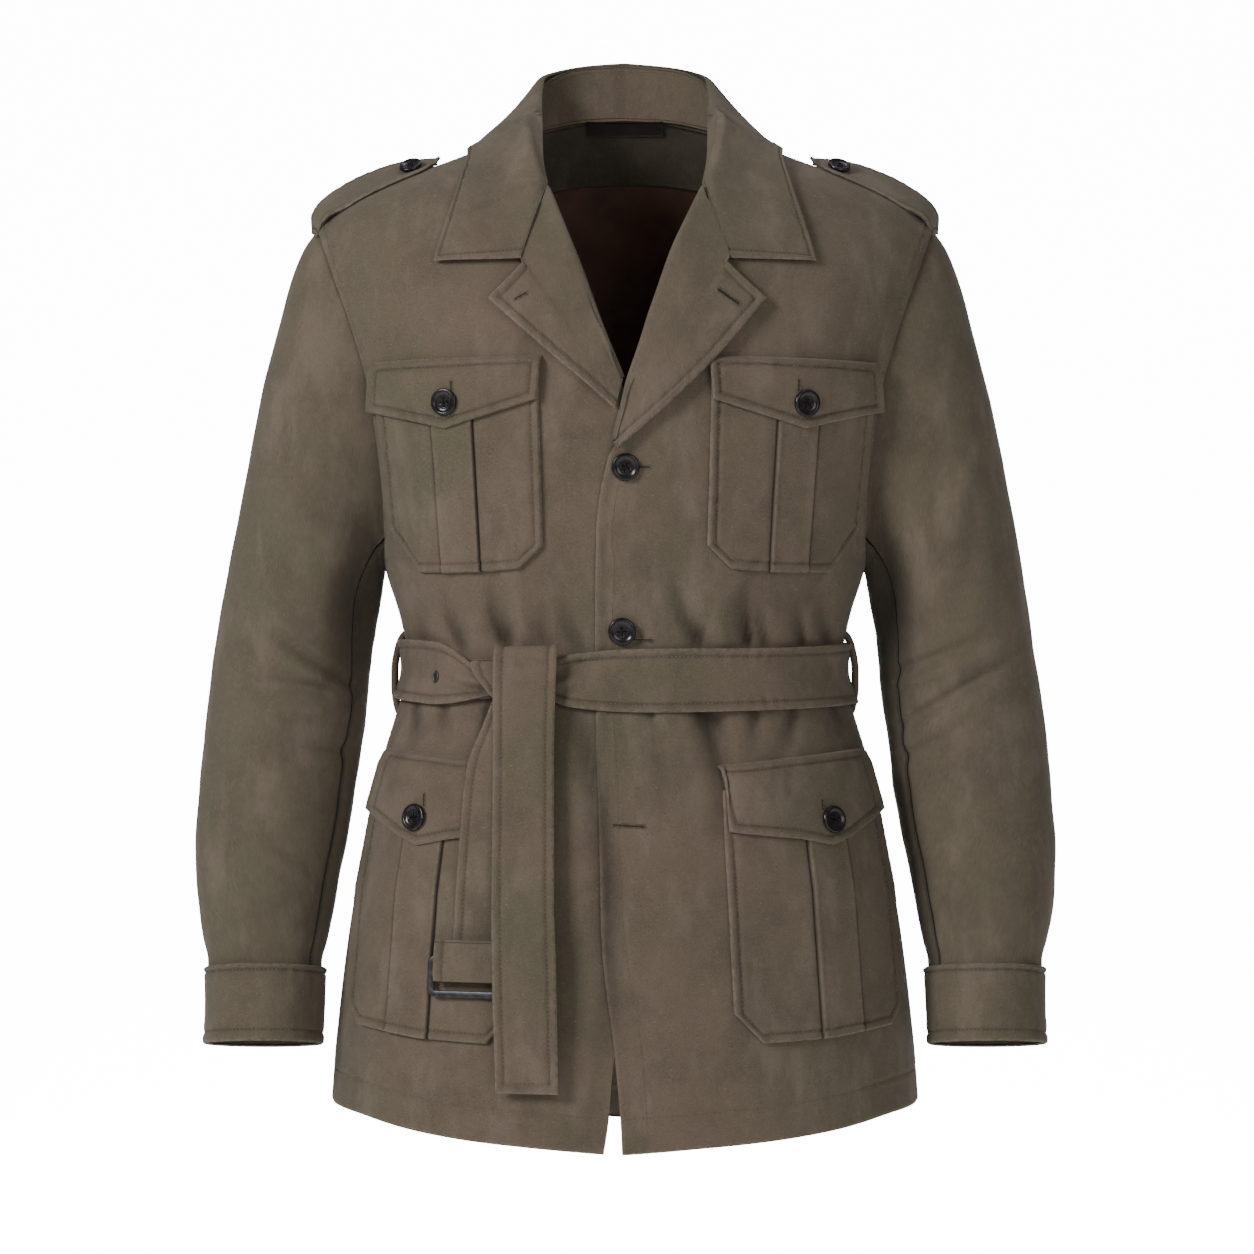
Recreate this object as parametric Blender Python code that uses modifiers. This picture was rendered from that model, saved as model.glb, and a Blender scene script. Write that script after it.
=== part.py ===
"""Safari jacket, belted, hollow as when worn.

Metres, +Z up, the front faces -Y and the wearer's left is at +X.
The origin is the middle of the neck opening, level with the neck ends of the shoulder seams.
"""
import math

import bpy
from mathutils import Matrix, Vector

# Walls and gaps
WALL = 0.0015
DOUBLE_WALL = 0.0022
CUFF_WALL = 0.0020
SIDE_SEAM_GAP = 0.0007
BACK_SEAM_HALF_GAP = 0.00018

# Body outline: height, half width, depth of the front and of the back
TORSO_ROWS = (
    # height, half_width, front, back
    (-0.800, 0.2270, 0.142, 0.128),
    (-0.700, 0.2200, 0.139, 0.128),
    (-0.600, 0.2085, 0.133, 0.122),
    (-0.540, 0.1975, 0.127, 0.115),
    (-0.480, 0.1855, 0.118, 0.104),
    (-0.440, 0.1735, 0.109, 0.094),
    (-0.405, 0.1640, 0.104, 0.088),
    (-0.370, 0.1700, 0.107, 0.090),
    (-0.330, 0.1820, 0.114, 0.098),
    (-0.260, 0.1930, 0.122, 0.112),
    (-0.200, 0.2065, 0.126, 0.122),
    (-0.120, 0.2370, 0.126, 0.126),
    (-0.050, 0.2620, 0.124, 0.124),
    (0.050, 0.2850, 0.120, 0.120),
)
SQUARENESS = 2.3
ARCH_START = -0.250
# Roundness over the shoulder: beside the neck and at the shoulder tip
ARCH_POWER = {"front": (2.0, 2.6), "back": (2.6, 2.9)}

# Ridge of the shoulders: distance from the middle, height
SHOULDER_ROWS = (
    (0.000, 0.0360),
    (0.040, 0.0300),
    (0.065, 0.0140),
    (0.080, 0.0010),
    (0.114, -0.0144),
    (0.170, -0.0360),
    (0.2128, -0.0562),
    (0.2333, -0.0714),
    (0.250, -0.0900),
    (0.270, -0.1200),
)
NECK_POINT = 0.080
SHOULDER_TIP = 0.2333
BACK_NECK_HEIGHT = 0.0190
ARMHOLE_BOTTOM = -0.327

# Rows of a body panel from the foot of the armhole to the shoulder, as shares of that height
UPPER_SHARES = (0.0, 0.12, 0.235, 0.265, 0.36, 0.47, 0.58, 0.69, 0.79, 0.87, 0.915, 0.965, 1.0)
# Columns of the back's neck edge: distance from the middle
NECK_COLUMNS = (0.0, 0.024, 0.046, 0.066, 0.080)

HEM_FRONT = -0.7575
HEM_SIDE = -0.7310
HEM_BACK = -0.7634

# Armhole seam: height, distance from the middle on the front and on the back
ARMHOLE_ROWS = (
    (-0.327, 0.1826, 0.1826),
    (-0.310, 0.1805, 0.1825),
    (-0.281, 0.1815, 0.1850),
    (-0.240, 0.1855, 0.1900),
    (-0.199, 0.1915, 0.1970),
    (-0.150, 0.2050, 0.2090),
    (-0.107, 0.2205, 0.2225),
    (-0.0714, 0.2333, 0.2333),
)

# Front edges: height, distance from the middle towards the piece's own side
# Above LAPEL_END the edge is the line where the lapel rolls over
EDGE_ROWS = {
    "left": (
        (-0.7575, -0.0022),
        (-0.7408, -0.0029),
        (-0.6748, -0.0087),
        (-0.6361, -0.0142),
        (-0.6027, -0.0175),
        (-0.5012, -0.0197),
        (-0.3933, -0.0220),
        (-0.3085, -0.0212),
        (-0.2823, -0.0190),
        (-0.2458, -0.0109),
        (-0.1960, 0.0007),
        (-0.1318, 0.0216),
        (-0.0486, 0.0567),
        (-0.0300, 0.0680),
        (-0.0120, 0.0762),
        (0.0010, 0.0800),
    ),
    "right": (
        (-0.7570, 0.0153),
        (-0.7299, 0.0119),
        (-0.6930, 0.0087),
        (-0.6000, -0.0100),
        (-0.5000, -0.0205),
        (-0.3000, -0.0205),
        (-0.2330, -0.0117),
        (-0.1969, -0.0007),
        (-0.1318, 0.0240),
        (-0.0486, 0.0567),
        (-0.0300, 0.0680),
        (-0.0120, 0.0762),
        (0.0010, 0.0800),
    ),
}
LAPEL_END = {"left": -0.2385, "right": -0.1925}
GORGE = (0.0567, -0.0486)
# The front's edge stays clear of the rolled lapel: how far, from which height
ROLL_ROOM = 0.0034
ROOM_START = -0.2500
ROOM_FADE = 0.010
OVERLAP_LIFT = {"left": 0.0018, "right": -0.0010}
OVERLAP_FLAT = 0.030
OVERLAP_END = 0.060

# Folds that the belt gathers: face, distance from the middle at the belt and at the far end,
# height at the far end, half width, height of the fold
WAIST_FOLDS = (
    # face, at_belt, at_end, end_height, half_width, height
    ("front", -0.138, -0.128, -0.285, 0.0100, 0.0040),
    ("front", -0.104, -0.100, -0.300, 0.0090, 0.0045),
    ("front", -0.074, -0.080, -0.315, 0.0080, 0.0030),
    ("front", 0.052, 0.060, -0.300, 0.0090, 0.0040),
    ("front", 0.092, 0.088, -0.285, 0.0100, 0.0045),
    ("front", 0.146, 0.150, -0.310, 0.0085, 0.0040),
    ("front", -0.150, -0.168, -0.520, 0.0100, 0.0040),
    ("front", -0.118, -0.130, -0.500, 0.0090, 0.0035),
    ("front", 0.038, 0.034, -0.530, 0.0100, 0.0040),
    ("front", 0.064, 0.062, -0.500, 0.0085, 0.0040),
    ("front", 0.094, 0.104, -0.490, 0.0085, 0.0035),
    ("back", -0.120, -0.128, -0.270, 0.0110, 0.0045),
    ("back", -0.060, -0.052, -0.280, 0.0110, 0.0040),
    ("back", 0.058, 0.066, -0.290, 0.0110, 0.0045),
    ("back", 0.112, 0.120, -0.270, 0.0110, 0.0040),
    ("back", -0.110, -0.135, -0.540, 0.0120, 0.0045),
    ("back", -0.048, -0.056, -0.560, 0.0120, 0.0040),
    ("back", 0.052, 0.064, -0.550, 0.0120, 0.0045),
    ("back", 0.118, 0.138, -0.530, 0.0120, 0.0040),
)
BELT_MIDDLE = -0.4100
BELT_CLEAR = 0.026
FOLD_RISE = 0.030

# Sleeves: outer line and inner line seen from the front, height and distance from the middle
SLEEVE_OUTER_ROWS = (
    (-0.648, 0.3140),
    (-0.627, 0.3140),
    (-0.611, 0.3180),
    (-0.595, 0.3215),
    (-0.570, 0.3245),
    (-0.544, 0.3258),
    (-0.4986, 0.3235),
    (-0.453, 0.3195),
    (-0.392, 0.3120),
    (-0.331, 0.3025),
    (-0.286, 0.2940),
    (-0.240, 0.2850),
    (-0.210, 0.2786),
    (-0.179, 0.2720),
    (-0.149, 0.2652),
    (-0.1186, 0.2575),
    (-0.088, 0.2455),
    (-0.0714, 0.2333),
)
SLEEVE_INNER_ROWS = (
    (-0.648, 0.2283),
    (-0.627, 0.2283),
    (-0.611, 0.2245),
    (-0.590, 0.2205),
    (-0.559, 0.2155),
    (-0.529, 0.2095),
    (-0.499, 0.2050),
    (-0.468, 0.2010),
    (-0.430, 0.1950),
    (-0.392, 0.1920),
    (-0.362, 0.1874),
    (-0.346, 0.1854),
    (-0.327, 0.1836),
)
# Height of a ring's middle, how far forward (-) it stands, half depth, tilt in degrees
SLEEVE_DEPTH_ROWS = (
    # height, forward, half_depth, tilt
    (-0.700, -0.0400, 0.0450, 9.0),
    (-0.627, -0.0260, 0.0450, 9.0),
    (-0.611, -0.0220, 0.0490, 8.5),
    (-0.560, -0.0110, 0.0535, 7.0),
    (-0.480, 0.0040, 0.0575, 3.5),
    (-0.400, 0.0100, 0.0620, 1.0),
    (-0.300, 0.0060, 0.0640, 0.0),
    (-0.190, 0.0010, 0.0560, 0.0),
)
SLEEVE_END = -0.646
SLEEVE_RINGS = (
    0.0, 0.03, 0.08, 0.14, 0.21, 0.28, 0.35, 0.41, 0.46, 0.50,
    0.54, 0.58, 0.63, 0.70, 0.78, 0.86, 0.92, 0.955, 0.976, 1.0,
)
SLEEVE_LEAN = 1.8
ARMHOLE_BLEND = 0.34
ARMHOLE_GAP = 0.0010
FRONT_SEAM_TURN = 148.0
BACK_SEAM_TURN = -70.0
SEAM_TURN_GAP = 0.78
# Creases round the elbow: place along the sleeve, turn in degrees, half lengths, height
ELBOW_FOLDS = (
    # along, turn, half_along, half_turn, height
    (0.47, 120.0, 0.022, 50.0, -0.0042),
    (0.52, 105.0, 0.020, 44.0, -0.0036),
    (0.57, 128.0, 0.022, 40.0, -0.0034),
    (0.50, 125.0, 0.014, 46.0, 0.0030),
    (0.42, -120.0, 0.030, 40.0, -0.0030),
)

# Cuffs: height of the ring's middle, middle and half width seen from the front, half depth
CUFF_ROWS = (
    # height, middle, half_width, half_depth
    (-0.6880, 0.2718, 0.0445, 0.0470),
    (-0.6600, 0.2712, 0.0450, 0.0476),
    (-0.6315, 0.2707, 0.0456, 0.0484),
)
CUFF_TILT = 9.0

# Collar: along is 0 at the back middle, 1 where the lapel begins and LEAF_END at the leaf's corner
NECK_ROWS = (
    # along, face, x, height
    (0.00, "back", 0.0000, 0.0190),
    (0.18, "back", 0.0340, 0.0172),
    (0.33, "back", 0.0570, 0.0120),
    (0.45, "back", 0.0720, 0.0062),
    (0.58, "ridge", 0.0800, 0.0010),
    (0.72, "front", 0.0762, -0.0120),
    (0.86, "front", 0.0680, -0.0300),
    (1.00, "front", 0.0567, -0.0486),
)
ROLL_ROWS = (
    # along, x, y, height
    (0.00, 0.0000, 0.0640, 0.0610),
    (0.18, 0.0300, 0.0600, 0.0585),
    (0.33, 0.0500, 0.0490, 0.0535),
    (0.45, 0.0615, 0.0340, 0.0460),
    (0.58, 0.0632, 0.0120, 0.0280),
    (0.72, 0.0622, -0.0200, 0.0005),
    (0.86, 0.0610, -0.0520, -0.0240),
    (1.00, 0.0567, -0.0835, -0.0474),
)
LEAF_EDGE_ROWS = (
    # along, face, x, height
    (0.00, "back", 0.0000, -0.0070),
    (0.18, "back", 0.0400, -0.0085),
    (0.33, "back", 0.0680, -0.0105),
    (0.45, "back", 0.0920, -0.0125),
    (0.58, "ridge", 0.1120, -0.0135),
    (0.72, "front", 0.1180, -0.0330),
    (0.86, "front", 0.1250, -0.0560),
    (1.00, "front", 0.1320, -0.0780),
    (1.30, "front", 0.1400, -0.1066),
)
LEAF_END = 1.30
NOTCH = (0.0755, -0.1062)
# The stand ends this far below the roll, behind and in front
STAND_DROP = (0.0032, 0.0108)
LEAF_OFF = 0.0062
LEAF_EDGE_OFF = 0.0050

# Lapels: outer line, height and distance from the middle; the tip is the first row
LAPEL_ROWS = {
    "left": (
        (-0.1342, 0.1040),
        (-0.1700, 0.0735),
        (-0.1842, 0.0605),
        (-0.2150, 0.0290),
        (-0.2440, -0.0050),
    ),
    "right": (
        (-0.1342, 0.1010),
        (-0.1560, 0.0765),
        (-0.1701, 0.0607),
        (-0.1960, 0.0305),
        (-0.2160, 0.0075),
    ),
}
LAPEL_NOTCH_AT = 0.60
LAPEL_SEAM_DROP = 0.0028
LAPEL_SEAM_SHIFT = 0.0017
# Share of the lapel's width from the roll, height over the front
LAPEL_OFF_ROWS = (
    (0.00, 0.0052),
    (0.40, 0.0066),
    (1.00, 0.0086),
)
LAPEL_ROLL = (
    # inward shift, height over the front
    (0.0000, -0.0012),
    (0.0000, 0.0018),
    (0.0012, 0.0042),
    (0.0040, 0.0052),
)

# Patches on the fronts: edges as distances from the middle, outlines as share of width and height
PATCHES = {
    "chest_pocket": {
        "inner": (0.0630, 0.0592),
        "outer": (0.1860, 0.1725),
        "top": ((0.0, -0.1905), (1.0, -0.1925)),
        "bottom": ((0.0, -0.3150), (0.16, -0.3322), (0.44, -0.3342), (0.80, -0.3342), (1.0, -0.2960)),
        "pleat": (0.405, 0.655),
        "off": (0.0012, 0.0017, 0.0017),
        "seat": 0.0011,
        "wall": 0.0016,
        "pleat_rise": 0.0012,
    },
    "chest_flap": {
        "inner": (0.0607, 0.0650),
        "outer": (0.1862, 0.1885),
        "top": ((0.0, -0.1765), (1.0, -0.1785)),
        "bottom": ((0.0, -0.2090), (0.525, -0.2290), (1.0, -0.2140)),
        "pleat": None,
        "off": (0.0008, 0.0046, 0.0050),
        "seat": None,
        "wall": 0.0021,
        "pleat_rise": 0.0,
    },
    "hip_pocket": {
        "inner": (0.0705, 0.0800),
        "outer": (0.1945, 0.2085),
        "top": ((0.0, -0.4950), (1.0, -0.4900)),
        "bottom": ((0.0, -0.6560), (0.16, -0.6783), (0.55, -0.6760), (0.90, -0.6700), (1.0, -0.6480)),
        "pleat": (0.495, 0.735),
        "off": (0.0012, 0.0017, 0.0017),
        "seat": 0.0012,
        "wall": 0.0018,
        "pleat_rise": 0.0010,
    },
    "hip_flap": {
        "inner": (0.0666, 0.0783),
        "outer": (0.1790, 0.1955),
        "top": ((0.0, -0.4767), (1.0, -0.4655)),
        "bottom": ((0.0, -0.5258), (0.42, -0.5310), (0.62, -0.5366), (0.74, -0.5310), (1.0, -0.5125)),
        "pleat": None,
        "off": (0.0008, 0.0048, 0.0052),
        "seat": None,
        "wall": 0.0021,
        "pleat_rise": 0.0,
    },
}

# Share of the body's half width that a patch's outer edge may reach
PATCH_REACH = 0.985

# Buttons: diameter, thickness, and place: side, x, height, height over the front
BUTTON_DIAMETER = 0.0205
BUTTON_THICK = 0.0032
EPAULETTE_BUTTON_DIAMETER = 0.0180
BUTTONS = (
    # name, x, height, off
    ("button_front_upper", 0.0004, -0.2582, 0.0024),
    ("button_front_waist", -0.0022, -0.3780, 0.0024),
    ("button_chest_left", 0.1300, -0.2107, 0.0074),
    ("button_chest_right", -0.1292, -0.2100, 0.0074),
    ("button_hip_left", 0.1490, -0.5180, 0.0077),
    ("button_hip_right", -0.1505, -0.5165, 0.0077),
)

# Epaulettes: distance from the middle, front edge's and back edge's y and height
EPAULETTE_ROWS = (
    # along, x, front_y, front_height, back_y, back_height
    (0.00, 0.1420, -0.0140, -0.0270, -0.0060, -0.0232),
    (0.06, 0.1480, -0.0240, -0.0325, 0.0040, -0.0205),
    (0.14, 0.1560, -0.0310, -0.0375, 0.0090, -0.0190),
    (0.30, 0.1720, -0.0325, -0.0430, 0.0100, -0.0205),
    (0.55, 0.1980, -0.0335, -0.0530, 0.0110, -0.0290),
    (0.75, 0.2180, -0.0335, -0.0615, 0.0110, -0.0385),
    (0.88, 0.2320, -0.0320, -0.0690, 0.0100, -0.0500),
    (0.95, 0.2375, -0.0300, -0.0750, 0.0090, -0.0600),
    (1.00, 0.2392, -0.0270, -0.0812, 0.0080, -0.0692),
)
EPAULETTE_WALL = 0.0024
EPAULETTE_CLEAR = 0.0005
EPAULETTE_BUTTON_LIFT = 0.0012

# Belt: x on the front, upper edge and lower edge; the band runs round the back between them
BELT_ROWS = (
    # turn, top, bottom; the turn is 0 at the front middle and grows towards the wearer's left
    (-17.0, -0.3990, -0.4280),
    (-11.0, -0.3945, -0.4345),
    (4.0, -0.3905, -0.4385),
    (30.0, -0.3900, -0.4375),
    (90.0, -0.3860, -0.4340),
    (180.0, -0.3850, -0.4330),
    (270.0, -0.3835, -0.4310),
    (300.0, -0.3853, -0.4335),
    (309.0, -0.3905, -0.4340),
    (318.0, -0.4050, -0.4320),
    (325.0, -0.4235, -0.4275),
)
BELT_OFF = 0.0060
BELT_SIDE_OFF = 0.0058
BELT_WALL = 0.0028

TAIL_ROWS = (
    # height, off, inner x, outer x
    (-0.3926, 0.0106, -0.0478, -0.0908),
    (-0.3895, 0.0112, -0.0478, -0.0908),
    (-0.3868, 0.0136, -0.0478, -0.0910),
    (-0.3885, 0.0164, -0.0478, -0.0910),
    (-0.3970, 0.0175, -0.0478, -0.0912),
    (-0.4300, 0.0168, -0.0490, -0.0920),
    (-0.4700, 0.0150, -0.0500, -0.0925),
    (-0.5300, 0.0148, -0.0500, -0.0930),
    (-0.5800, 0.0150, -0.0500, -0.0935),
    (-0.6020, 0.0168, -0.0490, -0.0930),
    (-0.6400, 0.0168, -0.0480, -0.0925),
    (-0.6850, 0.0135, -0.0475, -0.0920),
    (-0.7135, 0.0115, -0.0473, -0.0918),
)
BUCKLE_TAIL_ROWS = (
    # height, off, inner x, outer x
    (-0.4325, 0.0102, -0.0520, -0.0950),
    (-0.4500, 0.0104, -0.0600, -0.1015),
    (-0.4800, 0.0108, -0.0650, -0.1120),
    (-0.5100, 0.0106, -0.0690, -0.1155),
    (-0.5450, 0.0098, -0.0720, -0.1185),
    (-0.5900, 0.0068, -0.0745, -0.1225),
    (-0.6250, 0.0060, -0.0760, -0.1250),
    (-0.6350, 0.0060, -0.0760, -0.1250),
)
KEEPER_ROWS = (
    # height, off, inner x, outer x
    (-0.6040, 0.0132, -0.0765, -0.1335),
    (-0.6080, 0.0138, -0.0765, -0.1338),
    (-0.6280, 0.0140, -0.0765, -0.1348),
    (-0.6340, 0.0138, -0.0765, -0.1345),
)
TAIL_WALL = 0.0024
BUCKLE_MIDDLE = (-0.1120, -0.6300)
BUCKLE_SIZE = (0.0620, 0.0310)
BUCKLE_BAR = 0.0050
BUCKLE_THICK = 0.0028
BUCKLE_OFF = 0.0078

KNOT_ROWS = (
    # height, off, inner x, outer x
    (-0.3945, 0.0096, -0.0420, -0.0900),
    (-0.4040, 0.0110, -0.0385, -0.0955),
    (-0.4150, 0.0112, -0.0385, -0.0970),
    (-0.4290, 0.0100, -0.0410, -0.0960),
)
KNOT_WALL = 0.0030

LOOP_TOP = -0.3740
LOOP_BOTTOM = -0.4440
LOOP_HALF_WIDTH = 0.0050
LOOP_WALL = 0.0016
LOOP_TURN = {"left": 90.0, "right": 270.0}
LOOP_ROWS = (
    # share of the height, off
    (0.00, 0.0024),
    (0.12, 0.0074),
    (0.26, 0.0096),
    (0.74, 0.0096),
    (0.88, 0.0074),
    (1.00, 0.0024),
)

# Inside the back: rows of the back panels that the facing and the lining take, from the top
FACING_ROWS = (-1, -2, -3)
LINING_ROWS = (-4, -5, -6, -7, -8, -9)
LINING_COLUMNS = 8
FACING_OFF = -0.0020
NECK_EDGE_CLEAR = 0.0008
LINING_WALL = 0.0009
LABEL_WIDTH = 0.060
LABEL_HEIGHT = 0.010
LABEL_DROP = 0.0034
LABEL_WALL = 0.0008
LABEL_OFF = -0.0034

MATERIALS = {
    # name: colour, roughness, metallic
    "cotton": ((0.120, 0.088, 0.058), 0.92, 0.0),
    "lining": ((0.022, 0.012, 0.010), 0.70, 0.0),
    "label": ((0.010, 0.009, 0.009), 0.60, 0.0),
    "horn": ((0.018, 0.012, 0.014), 0.28, 0.0),
    "buckle": ((0.020, 0.021, 0.022), 0.42, 0.3),
}

SIDE_SIGN = {"left": 1.0, "right": -1.0}


def monotone_curve(keys, values):
    """A smooth curve through a table's rows that never runs past them."""
    count = len(keys)
    steps = [keys[i + 1] - keys[i] for i in range(count - 1)]
    slopes = [(values[i + 1] - values[i]) / steps[i] for i in range(count - 1)]
    tangents = [slopes[0]]
    for i in range(1, count - 1):
        if slopes[i - 1] * slopes[i] <= 0.0:
            tangents.append(0.0)
            continue
        before = 2.0 * steps[i] + steps[i - 1]
        after = steps[i] + 2.0 * steps[i - 1]
        tangents.append((before + after) / (before / slopes[i - 1] + after / slopes[i]))
    tangents.append(slopes[-1])

    def value(key):
        key = min(max(key, keys[0]), keys[-1])
        i = 0
        while i < count - 2 and key > keys[i + 1]:
            i += 1
        t = (key - keys[i]) / steps[i]
        rest = 1.0 - t
        return (
            values[i] * rest * rest * (1.0 + 2.0 * t)
            + values[i + 1] * t * t * (3.0 - 2.0 * t)
            + steps[i] * t * rest * (tangents[i] * rest - tangents[i + 1] * t)
        )

    return value


def column_curve(rows, column):
    """The curve of one column of a table, read against its first column."""
    ordered = sorted(rows)
    return monotone_curve([row[0] for row in ordered], [row[column] for row in ordered])


def point_curve(keys, points):
    """A smooth curve through points in space."""
    axes = [monotone_curve(keys, [point[i] for point in points]) for i in range(3)]
    return lambda key: Vector([axis(key) for axis in axes])


def broken_line(rows, key):
    """Straight runs between a table's rows."""
    for (key_a, value_a), (key_b, value_b) in zip(rows, rows[1:]):
        if key <= key_b:
            return value_a + (value_b - value_a) * (key - key_a) / (key_b - key_a)
    return rows[-1][1]


def mix(a, b, share):
    return a + (b - a) * share


def ease(share):
    share = min(max(share, 0.0), 1.0)
    return share * share * (3.0 - 2.0 * share)


half_width = column_curve(TORSO_ROWS, 1)
full_depth = {"front": column_curve(TORSO_ROWS, 2), "back": column_curve(TORSO_ROWS, 3)}
shoulder_height = column_curve(SHOULDER_ROWS, 1)
armhole = {"front": column_curve(ARMHOLE_ROWS, 1), "back": column_curve(ARMHOLE_ROWS, 2)}
front_edge = {side: column_curve(rows, 1) for side, rows in EDGE_ROWS.items()}


def fold_height(face, x, height):
    """How far the gathers at the belt lift the cloth."""
    total = 0.0
    for fold_face, at_belt, at_end, end_height, half, rise in WAIST_FOLDS:
        reach = end_height - BELT_MIDDLE
        along = (height - BELT_MIDDLE) / reach
        if fold_face != face or along <= 0.0 or along >= 1.0:
            continue
        start = (abs(height - BELT_MIDDLE) - BELT_CLEAR) / FOLD_RISE
        middle = mix(at_belt, at_end, along)
        wave = math.exp(-(((x - middle) / half) ** 2))
        total += rise * wave * ease(start) * ease((1.0 - along) * 1.6)
    return total


def turn_at(distance, height):
    """The turn round the body, 0 in the middle and 1 at the side, of a distance from the middle."""
    share = min(abs(distance) / half_width(height), 1.0)
    turn = math.asin(share ** (SQUARENESS / 2.0)) * 2.0 / math.pi
    return math.copysign(turn, distance)


def distance_at(turn, height):
    share = math.sin(min(abs(turn), 1.0) * math.pi / 2.0) ** (2.0 / SQUARENESS)
    return math.copysign(half_width(height) * share, turn)


def body_point(face, side, turn, height, folds=True):
    """A point of the body's outer surface."""
    sign = SIDE_SIGN[side]
    distance = distance_at(turn, height)
    ridge = shoulder_height(abs(distance))
    rise = min(max((height - ARCH_START) / (ridge - ARCH_START), 0.0), 1.0)
    power = mix(*ARCH_POWER[face], ease(abs(distance) / SHOULDER_TIP))
    arch = (1.0 - rise**power) ** (1.0 / power)
    round_off = max(math.cos(min(abs(turn), 1.0) * math.pi / 2.0), 0.0) ** (2.0 / SQUARENESS)
    depth = full_depth[face](height) * arch * round_off
    if folds:
        depth += fold_height(face, sign * distance, height) * min(1.0, 3.0 * round_off)
    return Vector((sign * distance, -depth if face == "front" else depth, height))


def on_body(face, side, distance, height, off, folds=True):
    """A point at a height over the body's surface, along its own slope."""
    turn = turn_at(distance, height)
    step = 0.01
    low, high = max(turn - step, -0.999), min(turn + step, 0.999)
    across = body_point(face, side, high, height, folds) - body_point(face, side, low, height, folds)
    below = body_point(face, side, turn_at(distance, height - 0.004), height - 0.004, folds)
    above = body_point(face, side, turn_at(distance, height + 0.001), height + 0.001, folds)
    normal = across.cross(above - below)
    if normal.length < 1e-12:
        normal = Vector((0.0, -1.0, 0.0))
    normal.normalize()
    outward = Vector((SIDE_SIGN[side] * 0.3, -1.0 if face == "front" else 1.0, 0.2))
    if normal.dot(outward) < 0.0:
        normal.negate()
    return body_point(face, side, turn, height, folds) + normal * off


def overlap_lift(side, distance):
    """The left front lies over the right one near the middle."""
    share = ease((distance - OVERLAP_FLAT) / (OVERLAP_END - OVERLAP_FLAT))
    return OVERLAP_LIFT[side] * (1.0 - share)


def row_heights():
    """Shares for the rows of a body panel: below the armhole, then above it, close at the ridge."""
    return [i / 12.0 for i in range(12)], UPPER_SHARES


def front_grid(side):
    lower, upper = row_heights()
    columns = [i / 14.0 for i in range(15)]
    hem_inner = HEM_FRONT
    grid = []
    for share in lower:
        row = []
        for column in columns:
            hem = mix(hem_inner, HEM_SIDE, column)
            height = mix(hem, ARMHOLE_BOTTOM, share)
            inner = turn_at(front_edge[side](height), height)
            turn = mix(inner, 1.0, column)
            distance = distance_at(turn, height)
            row.append((distance, height))
        grid.append(row)
    for share in upper:
        row = []
        for column in columns:
            top_distance = mix(NECK_POINT, SHOULDER_TIP, column)
            top = shoulder_height(top_distance)
            height = mix(ARMHOLE_BOTTOM, top, share)
            inner_height = mix(ARMHOLE_BOTTOM, shoulder_height(NECK_POINT), share)
            outer_height = mix(ARMHOLE_BOTTOM, shoulder_height(SHOULDER_TIP), share)
            inner_distance = front_edge[side](inner_height)
            room = ease((inner_height - ROOM_START) / ROOM_FADE) * ease(-inner_height / 0.04)
            inner_distance += ROLL_ROOM * room
            inner = turn_at(inner_distance, inner_height)
            outer = turn_at(min(armhole["front"](outer_height), half_width(outer_height)), outer_height)
            turn = mix(inner, outer, column)
            bow = share**2.0 * (
                turn_at(top_distance, top)
                - mix(
                    turn_at(NECK_POINT, shoulder_height(NECK_POINT)),
                    turn_at(SHOULDER_TIP, shoulder_height(SHOULDER_TIP)),
                    column,
                )
            )
            distance = distance_at(turn + bow, height)
            row.append((distance, height))
        grid.append(row)
    points = []
    for row in grid:
        points.append([on_body("front", side, d, z, overlap_lift(side, d)) for d, z in row])
    for row in points:
        for point in row:
            point.y = min(point.y, -SIDE_SEAM_GAP / 2.0)
    return points


def back_neck_height(distance):
    share = min(distance / NECK_POINT, 1.0)
    return mix(BACK_NECK_HEIGHT, shoulder_height(NECK_POINT), share**2.2)


def back_places(side):
    """Distance from the middle and height of the back panel's points, from the hem up."""
    lower, upper = row_heights()
    columns = [i / 10.0 for i in range(11)]
    neck_columns = len(NECK_COLUMNS) - 1
    grid = []
    for share in lower:
        row = []
        for column in columns:
            hem = mix(HEM_BACK, HEM_SIDE, column)
            height = mix(hem, ARMHOLE_BOTTOM, share)
            row.append((distance_at(column, height), height))
        grid.append(row)
    for share in upper:
        row = []
        for index, column in enumerate(columns):
            if index <= neck_columns:
                top_distance = NECK_COLUMNS[index]
                top = back_neck_height(top_distance)
            else:
                along = (index - neck_columns) / (len(columns) - 1 - neck_columns)
                top_distance = mix(NECK_POINT, SHOULDER_TIP, along)
                top = shoulder_height(top_distance)
            height = mix(ARMHOLE_BOTTOM, top, share)
            outer_height = mix(ARMHOLE_BOTTOM, shoulder_height(SHOULDER_TIP), share)
            outer = turn_at(min(armhole["back"](outer_height), half_width(outer_height)), outer_height)
            top_outer = turn_at(SHOULDER_TIP, shoulder_height(SHOULDER_TIP))
            turn = outer * column + share**2.0 * (turn_at(top_distance, top) - top_outer * column)
            row.append((distance_at(turn, height), height))
        grid.append(row)
    return grid


def back_grid(side):
    points = [[on_body("back", side, d, z, 0.0) for d, z in row] for row in back_places(side)]
    for row in points:
        row[0] = Vector((SIDE_SIGN[side] * BACK_SEAM_HALF_GAP, row[0].y, row[0].z))
        for point in row:
            point.y = max(point.y, SIDE_SEAM_GAP / 2.0)
    return points


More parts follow.
